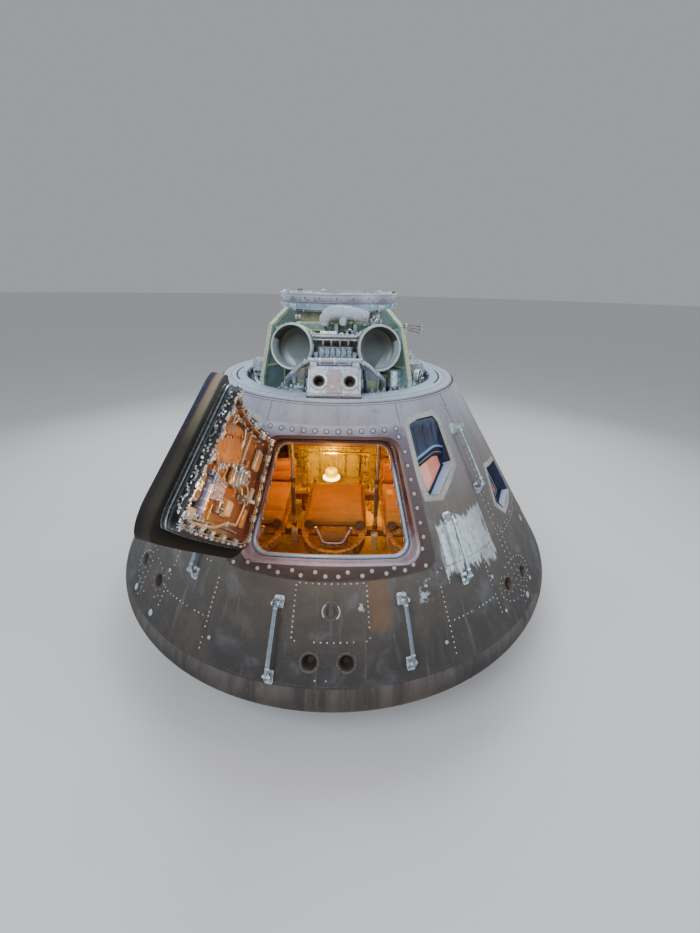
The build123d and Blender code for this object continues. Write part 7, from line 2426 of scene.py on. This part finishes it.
for sx in (-1, 1):
    g.pipe([(-.026 + sx * .344, .640, 1.050), (-.026 + sx * .330, .640, .980), (-.026 + sx * .300, .640, .900), (-.026 + sx * .310, .640, .800)], .0060, 10, 0, 5)
g.done()

# lockers on the back wall: doors, latches, pipes; streaked foil sheet behind the lamp
g = G("bay_doors", M["wall"], M["cbrown"], M["cdark"], M["gold"], M["silver"], M["cpale"], M["amberpart"])


def door(M_, w, h, m=0, handle=1):
    """locker door standing 9 mm proud with a latch, hinges and screws; M_ has z outward"""
    g.box(M_ @ T(0, 0, .0045), w - .008, h - .008, .009, .0025, m)
    g.box(M_ @ T(0, 0, .0098), w - .044, h - .044, .0024, .0010, m)
    if handle:
        g.ring(M_ @ T(w * .5 - .036, 0, .0095), .0150, .0100, .0035, 20, .0008, 4)
        g.box(M_ @ T(w * .5 - .036, 0, .0135), .026, .0065, .0060, .0010, 2)
    for sy in (-1, 1):
        g.cyl(M_ @ T(-w * .5 + .004, sy * h * .30 - .014, .0070) @ R(-90, 'X') @ T(0, 0, -.014), .0042, .028, 10, .0005, 3)
        for sx in (-1, 1):
            g.bolt(M_ @ T(sx * (w * .5 - .014), sy * (h * .5 - .014), .0088), .0030, .0028, 4, False)


WB = T(0, .900, 0) @ R(90, 'X')      # wall at y .9: x right, y up, z towards the hatch
WU = T(0, .800, 0) @ R(90, 'X')
for i, (x0, x1) in enumerate(((-.610, -.440), (-.440, -.250), (.050, .240), (.240, .430), (.430, .610))):
    for j, (z0, z1) in enumerate(((.650, .840), (.840, 1.030), (1.030, 1.225))):
        door(WB @ T((x0 + x1) / 2, (z0 + z1) / 2, 0), x1 - x0, z1 - z0, (0, 0, 1)[(i + j) % 3] if i in (0, 4) else 0)
for i in range(6):
    x0 = -.550 + .1835 * i
    for z0, z1 in ((1.250, 1.400), (1.400, 1.550), (1.550, 1.690)):
        door(WU @ T(x0 + .0917, (z0 + z1) / 2, 0), .1835, z1 - z0, (0, 1, 0, 0, 1, 0)[i])
q = random.Random(31)
rows = []
for i in range(25):
    z = .660 + .560 * i / 24
    row = []
    for j in range(61):
        x = -.245 + .290 * j / 60
        row.append((x, .886 - .0055 * abs(sin(j * .62 + .5 * sin(i * .5) + .02 * i)) - .004 * sin(i * .7 + j * .13), z))
    rows.append(row)
g.slab(rows, (0, .003, 0), 0)
for k, (x, m, r_) in enumerate(((-.432, 3, .007), (-.416, 2, .009), (-.256, 3, .006), (.052, 3, .0065), (.066, 4, .0045), (.236, 2, .008), (.424, 3, .007))):
    g.pipe([(x, .880, .640), (x, .878, .900), (x + .006 * (k % 2), .878, 1.100), (x, .872, 1.225)], r_, 10, m, 4)
    for z_ in (.720, .930, 1.140):
        g.box(T(x, .886, z_), .030, .020, .014, .0015, 2)
for x in (-.30, .02, .29):
    g.pipe([(x, .790, 1.245), (x, .782, 1.262), (x + .05, .778, 1.300), (x + .05, .778, 1.690)], .0055, 10, 3, 4)
g.box(T(-.026, .778, 1.236), 1.100, .030, .018, .003, 3)
g.done()

# left and right bays: cabinets, hoses, straps
def side_wall(sx, xw):
    m = Matrix(((0, -sx, 0), (0, 0, 1), (-sx, 0, 0))).transposed().to_4x4()
    m.translation = (sx * xw, 0, 0)
    return m


g = G("side_cabinets", M["wall"], M["cbrown"], M["cdark"], M["gold"], M["silver"], M["cpale"], M["amberpart"])
for sx in (-1, 1):
    W1, W2 = side_wall(sx, 1.130), side_wall(sx, .960)
    for i in range(6):
        yc = -.540 + .216 * i
        for z0, z1 in ((.650, .910), (.910, 1.165)):
            door(W1 @ T(-sx * yc, (z0 + z1) / 2, 0), .216, z1 - z0, (0, 1, 0, 5, 1, 0)[i])
    for i in range(4):
        yc = -.180 + .226 * i
        for z0, z1 in ((1.195, 1.370), (1.370, 1.548)):
            door(W2 @ T(-sx * yc, (z0 + z1) / 2, 0), .226, z1 - z0, (1, 0, 5, 0)[i])
    for k, (z_, r_, m) in enumerate(((1.178, .010, 3), (.640, .012, 2))):
        g.pipe([(sx * (1.112 - .03 * k), -.600, z_), (sx * (1.108 - .03 * k), -.200, z_ + .004), (sx * (1.112 - .03 * k), .250, z_), (sx * (1.100 - .03 * k), .680, z_)], r_, 12, m, 5)
    for yc in (-.48, -.16, .16, .48):
        g.box(T(sx * 1.114, yc, 1.176), .034, .022, .036, .002, 2)
        g.bolt(T(sx * 1.098, yc, 1.176) @ R(-sx * 90, 'Y'), .0050, .005, 4)
g.done()

# equipment left and right of the centre couch
g = G("cabin_equipment", M["cpale"], M["cbrown"], M["cdark"], M["gold"], M["silver"], M["yellowbox"], M["amberpart"], M["bracket"])


def hose(pts, r_, m, n=60, smooth=10):
    """corrugated hose"""
    P = [Vector(p) for p in pts]
    Q = []
    for i in range(len(P) - 1):
        p0, p1, p2, p3 = P[max(i - 1, 0)], P[i], P[i + 1], P[min(i + 2, len(P) - 1)]
        for j in range(smooth):
            t_ = j / smooth
            Q.append(.5 * ((2 * p1) + (p2 - p0) * t_ + (2 * p0 - 5 * p1 + 4 * p2 - p3) * t_ * t_ + (3 * p1 - p0 - 3 * p2 + p3) * t_ ** 3))
    Q.append(P[-1])
    L = [0.0]
    for a, b in zip(Q, Q[1:]):
        L.append(L[-1] + (b - a).length)
    out, rad = [], []
    for i in range(2 * n + 1):
        l = L[-1] * i / (2 * n)
        k = max(j for j in range(len(L)) if L[j] <= l + 1e-9)
        k = min(k, len(Q) - 2)
        out.append(Q[k].lerp(Q[k + 1], (l - L[k]) / max(L[k + 1] - L[k], 1e-9)))
        rad.append(r_ * (1.0 if i % 2 else .86))
    g.pipe(out, rad, 14, m)


q = random.Random(77)
# far left: stack of bright boxes and a ribbed duct
for x, y, z_, w_, d_, h_, m in ((-.500, .790, 1.090, .150, .110, .110, 0), (-.500, .785, .985, .140, .100, .085, 5), (-.505, .780, .890, .150, .110, .090, 0), (-.500, .790, .790, .140, .100, .090, 1)):
    g.box(T(x, y, z_), w_, d_, h_, .006, m)
    g.box(T(x, y - d_ / 2 - .002, z_), w_ * .78, .005, h_ * .70, .0015, 4 if m == 0 else 3)
    for sx in (-1, 1):
        g.bolt(T(x + sx * w_ * .42, y - d_ / 2, z_ + h_ * .36) @ R(90, 'X'), .0042, .0042, 4, False)
        g.bolt(T(x + sx * w_ * .42, y - d_ / 2, z_ - h_ * .36) @ R(90, 'X'), .0042, .0042, 4, False)
    for k in range(4):
        g.cyl(T(x - .042 + .028 * k, y - d_ / 2 - .004, z_ - h_ * .10) @ R(90, 'X'), .0085, .012, 14, .001, (3, 2, 4, 6)[k])
hose([(-.430, .830, 1.190), (-.415, .770, 1.120), (-.408, .735, 1.000), (-.412, .730, .880), (-.420, .760, .740), (-.430, .820, .680)], .0190, 3)
hose([(-.575, .820, 1.160), (-.592, .760, 1.060), (-.590, .740, .930), (-.585, .760, .760)], .0150, 4, 44)
# far right: duct, boxes
hose([(.440, .840, 1.180), (.455, .770, 1.080), (.460, .740, .930), (.450, .760, .760), (.445, .830, .690)], .0180, 3)
for x, y, z_, w_, d_, h_, m in ((.530, .800, 1.060, .110, .100, .150, 1), (.530, .795, .900, .110, .100, .110, 0), (.535, .790, .770, .110, .100, .100, 6)):
    g.box(T(x, y, z_), w_, d_, h_, .006, m)
    g.box(T(x, y - d_ / 2 - .002, z_), w_ * .74, .005, h_ * .66, .0015, 3)
    for sx in (-1, 1):
        g.bolt(T(x + sx * w_ * .42, y - d_ / 2, z_ + h_ * .38) @ R(90, 'X'), .0040, .0040, 4, False)
# bright tubes beside the couch foot
for x, y, z1, r_, m in ((.338, .120, .940, .0120, 3), (.362, .070, 1.010, .0080, 4), (.384, .150, .900, .0060, 3), (-.352, .110, .960, .0110, 3), (-.380, .160, 1.020, .0070, 1), (-.330, .170, .880, .0060, 4)):
    g.pipe([(x, y, .632), (x + .004, y - .004, (z1 + .632) / 2), (x, y, z1 - .04), (x - .012 if x > 0 else x + .012, y + .030, z1)], r_, 12, m, 6)
    g.ring(T(x, y, .632), r_ * 2.0, r_, .010, 18, .001, 2)
    g.cyl(T(x, y, .720), r_ * 1.45, .026, 16, .002, 2)
g.box(T(.345, .235, .700), .070, .080, .130, .006, 0)
g.box(T(.345, .194, .700), .052, .004, .100, .001, 3)
g.box(T(-.345, .240, .690), .070, .080, .110, .006, 1)
# boxes hung at the head end, between the couches
g.box(T(-.318, -.815, .955), .046, .052, .150, .005, 0)
g.box(T(-.318, -.842, .955), .034, .004, .120, .001, 7)
g.box(T(.326, -.812, .915), .054, .048, .150, .005, 0)
g.box(T(.326, -.838, .915), .040, .004, .120, .001, 5)
for x, z_ in ((-.318, .955), (.326, .915)):
    for sz in (-1, 1):
        g.bolt(T(x, -.844 if x < 0 else -.840, z_ + sz * .048) @ R(90, 'X'), .0038, .0036, 4, False)
    g.box(T(x, -.775, z_ + .010), .022, .040, .040, .002, 2)
    g.cyl(T(x - .012, -.815, z_ + .075), .0070, .022, 12, .001, 4)
    g.cyl(T(x + .012, -.815, z_ + .075), .0055, .016, 12, .001, 3)
# shelf and boxes on the cross beams
for x in (-.33, .33):
    g.box(T(x, -.160, .992), .100, .050, .010, .002, 1)
    g.box(T(x, -.160, 1.012), .060, .040, .030, .003, 0)
    g.cyl(T(x, -.160, 1.027), .012, .014, 18, .001, 4)
g.done()

# ---------------------------------------------------------------- couches: pads blown up by a cloth run
def pad_form(L, W, H, r, nx, ny, nz, chans=(), cw=.010, cd=.010, crown=.006, pull=.006):
    """closed crowned form, x W wide, y L long, z H high; chans: y lines of sewn channels on the top"""
    ids, V, F, pins = {}, [], [], []

    def vid(i, j, k):
        key = (i, j, k)
        if key in ids:
            return ids[key]
        p = Vector((W * (i / nx - .5), L * (j / ny - .5), H * (k / nz - .5)))
        q_ = Vector((max(-W / 2 + r, min(W / 2 - r, p.x)), max(-L / 2 + r, min(L / 2 - r, p.y)), max(-H / 2 + r, min(H / 2 - r, p.z))))
        d = p - q_
        if d.length > 1e-9:
            p = q_ + d.normalized() * r
        u, v = 2 * p.x / W, 2 * p.y / L
        p.x -= (1 if u > 0 else -1) * abs(u) ** 5 * pull * (1 - v * v)
        p.y -= (1 if v > 0 else -1) * abs(v) ** 5 * pull * (1 - u * u)
        top = k == nz
        if top:
            p.z += crown * (1 - u ** 4) * (1 - v ** 4)
            for yc in chans:
                g_ = 2.718281828 ** (-((p.y - yc) / cw) ** 2)
                p.z -= cd * g_ * (1 - abs(u) ** 8)
        if k == 0 or (top and any(abs(p.y - yc) < L / ny * .62 for yc in chans)):
            pins.append(len(V))
        ids[key] = len(V)
        V.append(p)
        return ids[key]

    for i in range(nx):
        for j in range(ny):
            F.append([vid(i, j, nz), vid(i + 1, j, nz), vid(i + 1, j + 1, nz), vid(i, j + 1, nz)])
            F.append([vid(i, j, 0), vid(i, j + 1, 0), vid(i + 1, j + 1, 0), vid(i + 1, j, 0)])
    for i in range(nx):
        for k in range(nz):
            F.append([vid(i, 0, k), vid(i + 1, 0, k), vid(i + 1, 0, k + 1), vid(i, 0, k + 1)])
            F.append([vid(i, ny, k), vid(i, ny, k + 1), vid(i + 1, ny, k + 1), vid(i + 1, ny, k)])
    for j in range(ny):
        for k in range(nz):
            F.append([vid(0, j, k), vid(0, j, k + 1), vid(0, j + 1, k + 1), vid(0, j + 1, k)])
            F.append([vid(nx, j, k), vid(nx, j + 1, k), vid(nx, j + 1, k + 1), vid(nx, j, k + 1)])
    return V, F, pins


def blow(V, F, pins, pressure, cap, frames=18):
    """cloth run with inside pressure; returns the settled points, each moved no more than cap"""
    me = bpy.data.meshes.new("pad_run")
    me.from_pydata([tuple(p) for p in V], [], F)
    o = bpy.data.objects.new("pad_run", me)
    bpy.context.scene.collection.objects.link(o)
    vg = o.vertex_groups.new(name="pin")
    vg.add(pins, 1.0, 'REPLACE')
    c = o.modifiers.new("cloth", 'CLOTH')
    st = c.settings
    st.quality, st.mass = 4, .25
    st.tension_stiffness = st.compression_stiffness = 12
    st.shear_stiffness, st.bending_stiffness = 4, .35
    st.use_pressure, st.uniform_pressure_force = True, pressure
    st.vertex_group_mass = "pin"
    st.effector_weights.gravity = 0
    c.collision_settings.use_collision = False
    sc = bpy.context.scene
    c.point_cache.frame_start, c.point_cache.frame_end = 1, frames
    for f in range(1, frames + 1):
        sc.frame_set(f)
    ev = o.evaluated_get(bpy.context.evaluated_depsgraph_get())
    em = ev.to_mesh()
    out = []
    for p, v in zip(V, em.vertices):
        d = v.co - p
        if d.length > cap:
            d = d.normalized() * cap
        if not all(abs(a) < 1 for a in d):
            d = Vector((0, 0, 0))
        out.append(p + d)
    ev.to_mesh_clear()
    bpy.data.objects.remove(o)
    bpy.data.meshes.remove(me)
    sc.frame_set(1)
    return out


def soft_piece(name, parts, extra, mats, body, replaces):
    """parts: [(V, F, matrix)] smoothed once; extra(g) adds seams and piping"""
    me = bpy.data.meshes.new(name + "_soft")
    vs, fs, n = [], [], 0
    for V, F, Mx in parts:
        vs += [tuple(Mx @ p) for p in V]
        fs += [[i + n for i in f] for f in F]
        n += len(V)
    me.from_pydata(vs, [], fs)
    o = bpy.data.objects.new(name + "_soft", me)
    bpy.context.scene.collection.objects.link(o)
    sd = o.modifiers.new("sub", 'SUBSURF')
    sd.levels = sd.render_levels = 1
    ev = o.evaluated_get(bpy.context.evaluated_depsgraph_get())
    em = ev.to_mesh()
    V2 = [tuple(v.co) for v in em.vertices]
    F2 = [list(p.vertices) for p in em.polygons]
    ev.to_mesh_clear()
    bpy.data.objects.remove(o)
    bpy.data.meshes.remove(me)
    gg = G(name, *mats)
    gg.put(V2, F2, 0)
    extra(gg)
    oo = gg.done(body=body, replaces=replaces, angle=60)
    return oo


def piping(gg, L, W, r, z_, Mx, m, rad=.0034, pull=.006):
    pts = []
    for cx_, cy_, a0 in ((W / 2 - r, L / 2 - r, 0), (-W / 2 + r, L / 2 - r, 90), (-W / 2 + r, -L / 2 + r, 180), (W / 2 - r, -L / 2 + r, 270)):
        for k in range(7):
            a = radians(a0 + 15 * k)
            pts.append(Vector((cx_ + r * cos(a), cy_ + r * sin(a), z_)))
        nx_ = {0: (0, 1), 90: (1, 0), 180: (0, 1), 270: (1, 0)}[a0]
        nxt = {0: (-W / 2 + r, L / 2), 90: (-W / 2, -L / 2 + r), 180: (W / 2 - r, -L / 2), 270: (W / 2, L / 2 - r)}[a0]
        p1, p2 = pts[-1], Vector((*nxt, z_))
        for k in range(1, 12):
            p = p1.lerp(p2, k / 12)
            u, v = 2 * p.x / W, 2 * p.y / L
            p = Vector((p.x - (1 if u > 0 else -1) * abs(u) ** 5 * pull * (1 - v * v), p.y - (1 if v > 0 else -1) * abs(v) ** 5 * pull * (1 - u * u), z_))
            pts.append(p)
    gg.pipe([Mx @ p for p in pts], rad, 8, m, closed=True)


PL, PW, PH = .686, .480, .056
CH = (-.2000,)
PV, PF, PP = pad_form(PL, PW, PH, .022, 38, 54, 6, CH, .011, .012, .006, .007)
PV = blow(PV, PF, PP, 3.2, .0085)
HV, HF, HPn = pad_form(.142, .226, .070, .026, 22, 14, 8, (), .01, .01, .005, .006)
HV = blow(HV, HF, HPn, 3.2, .0070)
SV, SF, SP = pad_form(.210, .450, .040, .016, 36, 18, 5, (0.0,), .010, .009, .004, .006)
SV = blow(SV, SF, SP, 3.2, .0055)


def pad_extra(cx, body_m):
    def f(gg):
        Mx = T(cx, -.420, 1.0440)
        piping(gg, PL, PW, .024, -.012, Mx, 1)
        piping(gg, PL, PW, .024, .014, Mx, 1, .0026)
        for yc in CH:
            n_ = 46
            for i in range(n_):
                x = -PW * .44 + PW * .88 * i / (n_ - 1)
                gg.box(Mx @ T(x, yc, PH / 2 + .006 * (1 - (2 * x / PW) ** 4) - .0105), .0052, .0016, .0014, .0003, 2)
    return f


for name, cx in (("left", -.664), ("centre", 0.0), ("right", .664)):
    soft_piece(name + "_couch_pad", [(PV, PF, T(cx, -.420, 1.0440))], pad_extra(cx, 0), (M["couchorange"], M["headcover"], M["stitch"]), "capsule", ("couch_pads",))


def head_extra(cx):
    def f(gg):
        Mx = T(cx, -.916, 1.0500)
        piping(gg, .142, .226, .030, -.006, Mx, 1, .0030)
        for k in range(26):
            x = -.094 + .188 * k / 25
            gg.box(Mx @ T(x, .056, .0372), .0048, .0014, .0012, .0003, 2)
    return f


for name, cx in (("left", -.664), ("centre", 0.0), ("right", .664)):
    soft_piece(name + "_headrest", [(HV, HF, T(cx, -.916, 1.0500))], head_extra(cx), (M["headcover"], M["couchorange"], M["stitch"]), "capsule", ("headrests",))


def seat_extra(Mx):
    def f(gg):
        piping(gg, .210, .450, .018, -.004, Mx, 1, .0028)
        for k in range(44):
            x = -.200 + .400 * k / 43
            gg.box(Mx @ T(x, 0, .0165), .0050, .0015, .0013, .0003, 2)
    return f


for name, cx, rest in (("left", -.664, 82.0), ("centre", 0.0, -84.0), ("right", .664, 82.0)):
    Mx = T(cx, .014, .969) @ R(rest, 'X') @ T(0, .167, .0355)
    soft_piece(name + "_seat_cushion", [(SV, SF, Mx)], seat_extra(Mx), (M["couchorange"], M["headcover"], M["stitch"]), name + "_seat", (name + "_seat_pad",))

# headrest brackets, padded yoke bands, side rails, buckles
for name, cx in (("left", -.664), ("centre", 0.0), ("right", .664)):
    gg = G(name + "_yoke_band", M["strap"], M["stitch"])
    outer = [(-.214, .020), (-.212, -.030), (-.196, -.086), (-.160, -.140), (-.110, -.180), (-.055, -.204), (0, -.212), (.055, -.204), (.110, -.180), (.160, -.140), (.196, -.086), (.212, -.030), (.214, .020)]
    path = [Vector((cx + x * 1.03, -.884, 1.000 + z_ * 1.03)) for x, z_ in outer]
    rows = []
    Q = []
    for i in range(len(path) - 1):
        p0, p1, p2, p3 = path[max(i - 1, 0)], path[i], path[i + 1], path[min(i + 2, len(path) - 1)]
        for j in range(5):
            t_ = j / 5
            Q.append(.5 * ((2 * p1) + (p2 - p0) * t_ + (2 * p0 - 5 * p1 + 4 * p2 - p3) * t_ * t_ + (3 * p1 - p0 - 3 * p2 + p3) * t_ ** 3))
    Q.append(path[-1])
    for i, p in enumerate(Q):
        d = (Q[min(i + 1, len(Q) - 1)] - Q[max(i - 1, 0)]).normalized()
        a = Vector((0, 1, 0))
        u = d.cross(a).normalized()
        row = []
        for k in range(20):
            t_ = 2 * pi * k / 20
            ca, sa = cos(t_), sin(t_)
            ra = .038 * (abs(ca) ** .35) * (1 if ca > 0 else -1)
            rb = .0245 * (abs(sa) ** .45) * (1 if sa > 0 else -1) * (1 + .05 * sin(i * .9 + 2 * t_))
            row.append(p + a * ra + u * rb)
        rows.append(row)
    gg.grid(rows, 0, closed=True)
    gg.put([tuple(p) for p in rows[0]], [list(range(20))], 0)
    gg.put([tuple(p) for p in rows[-1]], [list(range(20))], 0)
    for i in range(len(Q)):
        d = (Q[min(i + 1, len(Q) - 1)] - Q[max(i - 1, 0)]).normalized()
        u = d.cross(Vector((0, 1, 0))).normalized()
        for sgn in (-1, 1):
            Fm = axes(Q[i] - Vector((0, .0385, 0)) + u * .0125 * sgn, (0, -1, 0), d)
            gg.box(Fm, .0060, .0014, .0016, .0003, 1)
    oo = gg.done(angle=60)

g = G("couch_fittings", M["bracket"], M["cdark"], M["silver"], M["gold"], M["cbrown"], M["stitch"], M["cpale"])
for cx in (-.664, 0.0, .664):
    V1 = [(-.128, -.960, 1.128), (-.100, -.985, 1.080), (-.070, -1.000, 1.036), (0, -1.004, 1.030), (.070, -1.000, 1.036), (.100, -.985, 1.080), (.128, -.960, 1.128)]
    pts = [(cx + x, y, z_) for x, y, z_ in V1]
    g.pipe(pts, .0085, 12, 0, 6)
    for sx in (-1, 1):
        g.cyl(axes((cx + sx * .128, -.958, 1.124), (sx * .3, 0, 1)), .0115, .020, 16, .002, 2)
        g.pipe([(cx + sx * .124, -.962, 1.120), (cx + sx * .136, -.930, 1.090), (cx + sx * .134, -.900, 1.040), (cx + sx * .110, -.880, 1.012)], .0060, 10, 2, 5)
        # dark ear sockets beside the pad, side rail with knobs
        g.ring(T(cx + sx * .205, -.792, 1.058) @ R(58, 'X'), .036, .022, .016, 30, .003, 1)
        g.cyl(T(cx + sx * .205, -.792, 1.052) @ R(58, 'X'), .021, .010, 24, .001, 1)
        g.box(T(cx + sx * .256, -.440, 1.000), .016, .780, .034, .004, 4)
        for i in range(8):
            g.bolt(T(cx + sx * .2645, -.780 + .098 * i, 1.000) @ R(sx * 90, 'Y'), .0048, .0045, 2)
        g.cyl(T(cx + sx * .222, -.050, 1.082), .0120, .016, 18, .002, 3)
        g.dome(T(cx + sx * .222, -.050, 1.098), .0105, .005, 16, 2)
        g.box(T(cx + sx * .222, -.052, 1.046), .026, .030, .072, .003, 1)
    if cx > 0:
        g.box(T(cx - .174, -.300, 1.0880), .054, .096, .007, .002, 6)
    g.box(T(cx, -.052, 1.000), .500, .026, .026, .004, 4)
g.done()

# struts: outer tube, piston, collars and end eyes
g = G("strut_details", M["steel"], M["silver"], M["gold"], M["cdark"])
for sx in (-1, 1):
    a_, b_ = Vector((sx * .333, -.735, .9000)), Vector((sx * .333, -.640, 2.1000))
    d = (b_ - a_).normalized()
    def at(z):
        return a_ + (b_ - a_) * ((z - a_.z) / (b_.z - a_.z))
    g.pipe([at(.990), at(1.420)], .0155, 24, 2)
    g.pipe([at(1.420), at(2.072)], .0112, 20, 0)
    for z_, r_, h_, m in ((.992, .021, .030, 3), (1.060, .0185, .010, 1), (1.390, .0200, .034, 3), (1.424, .0165, .012, 1), (1.980, .0165, .040, 3), (2.030, .0200, .034, 1)):
        g.cyl(axes(at(z_), d), r_, h_, 24, .002, m)
    g.lathe(axes(at(1.10), d), [(.0157, 0), (.0162, .002)] + [(.0162 + .0016 * (k % 2), .006 + .006 * k) for k in range(40)] + [(.0157, .250)], 22, 0)
g.done(replaces=("couch_struts",))

# underside of the display console: blank plates with switches, guards and round gauges
g = G("console_controls", M["console"], M["dark"], M["silver"], M["cpale"], M["black"], M["hglass"], M["amberpart"])
q = random.Random(5)
A_, B_ = Vector((0, -.440, 1.600)), Vector((0, .330, 1.560))
ey = (B_ - A_).normalized()
en = Vector((0, -ey.z, ey.y)) * -1
CF = Matrix((Vector((1, 0, 0)), -ey, en)).transposed().to_4x4()
CF.translation = A_
for i in range(8):
    for j in range(4):
        x0, y0 = -.860 + .2200 * i, -.010 - .190 * j
        P0 = CF @ T(x0 + .100, y0 - .090, 0)
        g.box(P0 @ T(0, 0, .003), .206, .178, .006, .0015, 0 if (i + j) % 2 else 3)
        for sx in (-1, 1):
            for sy in (-1, 1):
                g.bolt(P0 @ T(sx * .094, sy * .080, .006), .0034, .0028, 2, False)
        kind = q.random()
        if kind < .28:
            for a, b in ((-.048, .030), (.048, .030), (-.048, -.042), (.048, -.042)):
                g.ring(P0 @ T(a, b, .006), .034, .028, .006, 26, .001, 1)
                g.cyl(P0 @ T(a, b, .006), .027, .0015, 24, .0004, 5)
                g.box(P0 @ T(a, b, .0085) @ R(q.uniform(-70, 70), 'Z') @ T(0, .009, 0), .0022, .018, .0012, .0003, 3)
        elif kind < .80:
            for a in range(5):
                for b in range(3):
                    F = P0 @ T(-.072 + .036 * a, -.050 + .050 * b, .006)
                    g.cyl(F, .0075, .0030, 10, .0006, 1)
                    g.lathe(F @ R(q.choice((-16, 16)), 'X'), [(.0030, 0), (.0022, .012), (.0030, .016), (0, .0175)], 8, 2)
                    if b != 1:
                        g.box(F @ T(-.0125, 0, .004), .0022, .020, .008, .0004, 0)
                        g.box(F @ T(.0125, 0, .004), .0022, .020, .008, .0004, 0)
        else:
            g.box(P0 @ T(0, .020, .009), .130, .078, .008, .002, 1)
            g.box(P0 @ T(0, .020, .0135), .112, .060, .0014, .0004, 5)
            for a in range(6):
                g.cyl(P0 @ T(-.060 + .024 * a, -.056, .006), .0085, .009, 12, .001, 4)
g.done()

# ---------------------------------------------------------------- hinges of the side hatch
HAZ = radians(-23.4)
_hx = Vector((sin(HAZ) * 0 + cos(HAZ), sin(HAZ), 0))
_hx = (_hx - HINGE_D * _hx.dot(HINGE_D)).normalized()


def knuckle(s_):
    m = Matrix((_hx, HINGE_D.cross(_hx), HINGE_D)).transposed().to_4x4()
    m.translation = HINGE_P + HINGE_D * s_
    return m


g = G("hinge_bracket_details", M["silver"], M["hinge"], M["dark"], M["steel"])
for s_ in (-.210, .215):
    K_ = knuckle(s_)
    for e in (-1, 1):
        F = K_ @ (R(180, 'X') if e < 0 else O) @ T(0, 0, .0835)
        g.lathe(F, [(.0150, -.0005), (.0165, .0010), (.0165, .0030), (.0125, .0036)], 24, 3)
        g.lathe(F, [(.0125, .0030), (.0125, .0085), (.0105, .0100), (0, .0100)], 6, 0)
    g.torus(K_ @ T(0, 0, .0272), .0222, .0022, 28, 6, 2)
    g.torus(K_ @ T(0, 0, -.0272), .0222, .0022, 28, 6, 2)
    g.cyl(K_ @ R(-90, 'X') @ T(0, 0, -.0290), .0045, .0060, 12, .0008, 0)
    for x in (-.040, -.062):
        for z_ in (-.0165, .0165):
            g.bolt(K_ @ T(x, -.0130, z_) @ R(90, 'X'), .0050, .0050, 0)
    for x in (-.114, -.070):
        for z_ in (-.029, .029):
            g.bolt(K_ @ T(x, -.0150, z_) @ R(90, 'X'), .0064, .0062, 0)
    for z_ in (-.0272, .0272):
        g.slab([[K_ @ Vector((-.040, -.0125, z_)), K_ @ Vector((-.040, .0125, z_))], [K_ @ Vector((-.075, -.0125, z_)), K_ @ Vector((-.075, .0125, z_))], [K_ @ Vector((-.100, -.0145, z_ * 1.38)), K_ @ Vector((-.100, .0140, z_ * 1.38))]], (K_.to_3x3() @ Vector((0, 0, .003 if z_ > 0 else -.003))), 1)
g.done()

g = G("hinge_arm_details", M["silver"], M["hinge"], M["dark"], M["steel"])
for s_ in (-.210, .215):
    K_ = knuckle(s_)
    for e in (-1, 1):
        A = K_ @ T(0, 0, e * .056)
        for x in (.046, .078, .110, .142):
            g.bolt(A @ T(x, -.0110, 0) @ R(90, 'X'), .0052, .0052, 0)
            g.lathe(A @ T(x, .0110, 0) @ R(-90, 'X'), [(.0080, 0), (.0080, .0018), (.0060, .0026), (0, .0026)], 14, 1)
        g.torus(A @ T(0, 0, -e * .0235), .0228, .0020, 26, 6, 2)
        g.box(A @ T(.096, -.0116, .0190), .110, .0030, .0050, .0008, 1)
        g.box(A @ T(.096, -.0116, -.0190), .110, .0030, .0050, .0008, 1)
g.done(body="side_hatch", hatch=True)

# tunnel hatch: ribs, rim dogs, hub with handle, small gauge, screws
g = G("tunnel_hatch_details", M["tunnel"], M["silver"], M["dark"], M["steel"], M["olive"], M["hglass"])
ZT = 2.160
for i in range(12):
    a = i * 30
    F = gf(a, ZT)
    g.box(F @ T(.205, 0, .0030), .250, .012, .006, .0015, 0)
    g.bolt(F @ T(.330, 0, .0055), .0052, .0050, 1, False)
    g.bolt(F @ T(.095, 0, .0055), .0046, .0050, 1, False)
    F = gf(a + 15, ZT)
    g.box(F @ T(.348, 0, .0065), .042, .034, .013, .002, 3)
    g.cyl(F @ T(.356, 0, .0125), .0085, .0060, 14, .001, 1)
    g.box(F @ T(.300, 0, .0040), .060, .014, .008, .0015, 4)
g.lathe(T(0, 0, ZT), [(.3300, 0), (.3300, .0050), (.3260, .0060), (.3180, .0060), (.3140, .0050), (.3140, 0)], 96, 0)
g.lathe(T(0, 0, ZT), [(.0860, 0), (.0860, .0060), (.0800, .0070), (.0640, .0070), (.0620, .0050), (.0620, 0)], 48, 4)
g.lathe(T(0, 0, ZT + .0295), [(.0590, -.0020), (.0590, .0006), (.0560, .0018), (.0300, .0022), (.0280, .0010), (0, .0010)], 40, 3)
for i in range(8):
    t_ = pi * i / 4
    g.bolt(T(.0460 * cos(t_), .0460 * sin(t_), ZT + .0312), .0038, .0036, 1, False)
g.pipe([(-.050, .0, ZT + .0320), (-.042, 0, ZT + .0400), (0, 0, ZT + .0430), (.042, 0, ZT + .0400), (.050, 0, ZT + .0320)], .0055, 10, 1, 5)
for x, y in ((.165, .105), (-.160, -.110)):
    g.ring(T(x, y, ZT), .030, .024, .0075, 28, .001, 2)
    g.cyl(T(x, y, ZT), .0235, .0050, 26, .0008, 5)
for x, y in ((-.175, .095), (.150, -.120)):
    g.cyl(T(x, y, ZT), .020, .0070, 22, .001, 3)
    g.bolt(T(x, y, ZT + .0068), .0080, .0030, 1, False)
g.done()
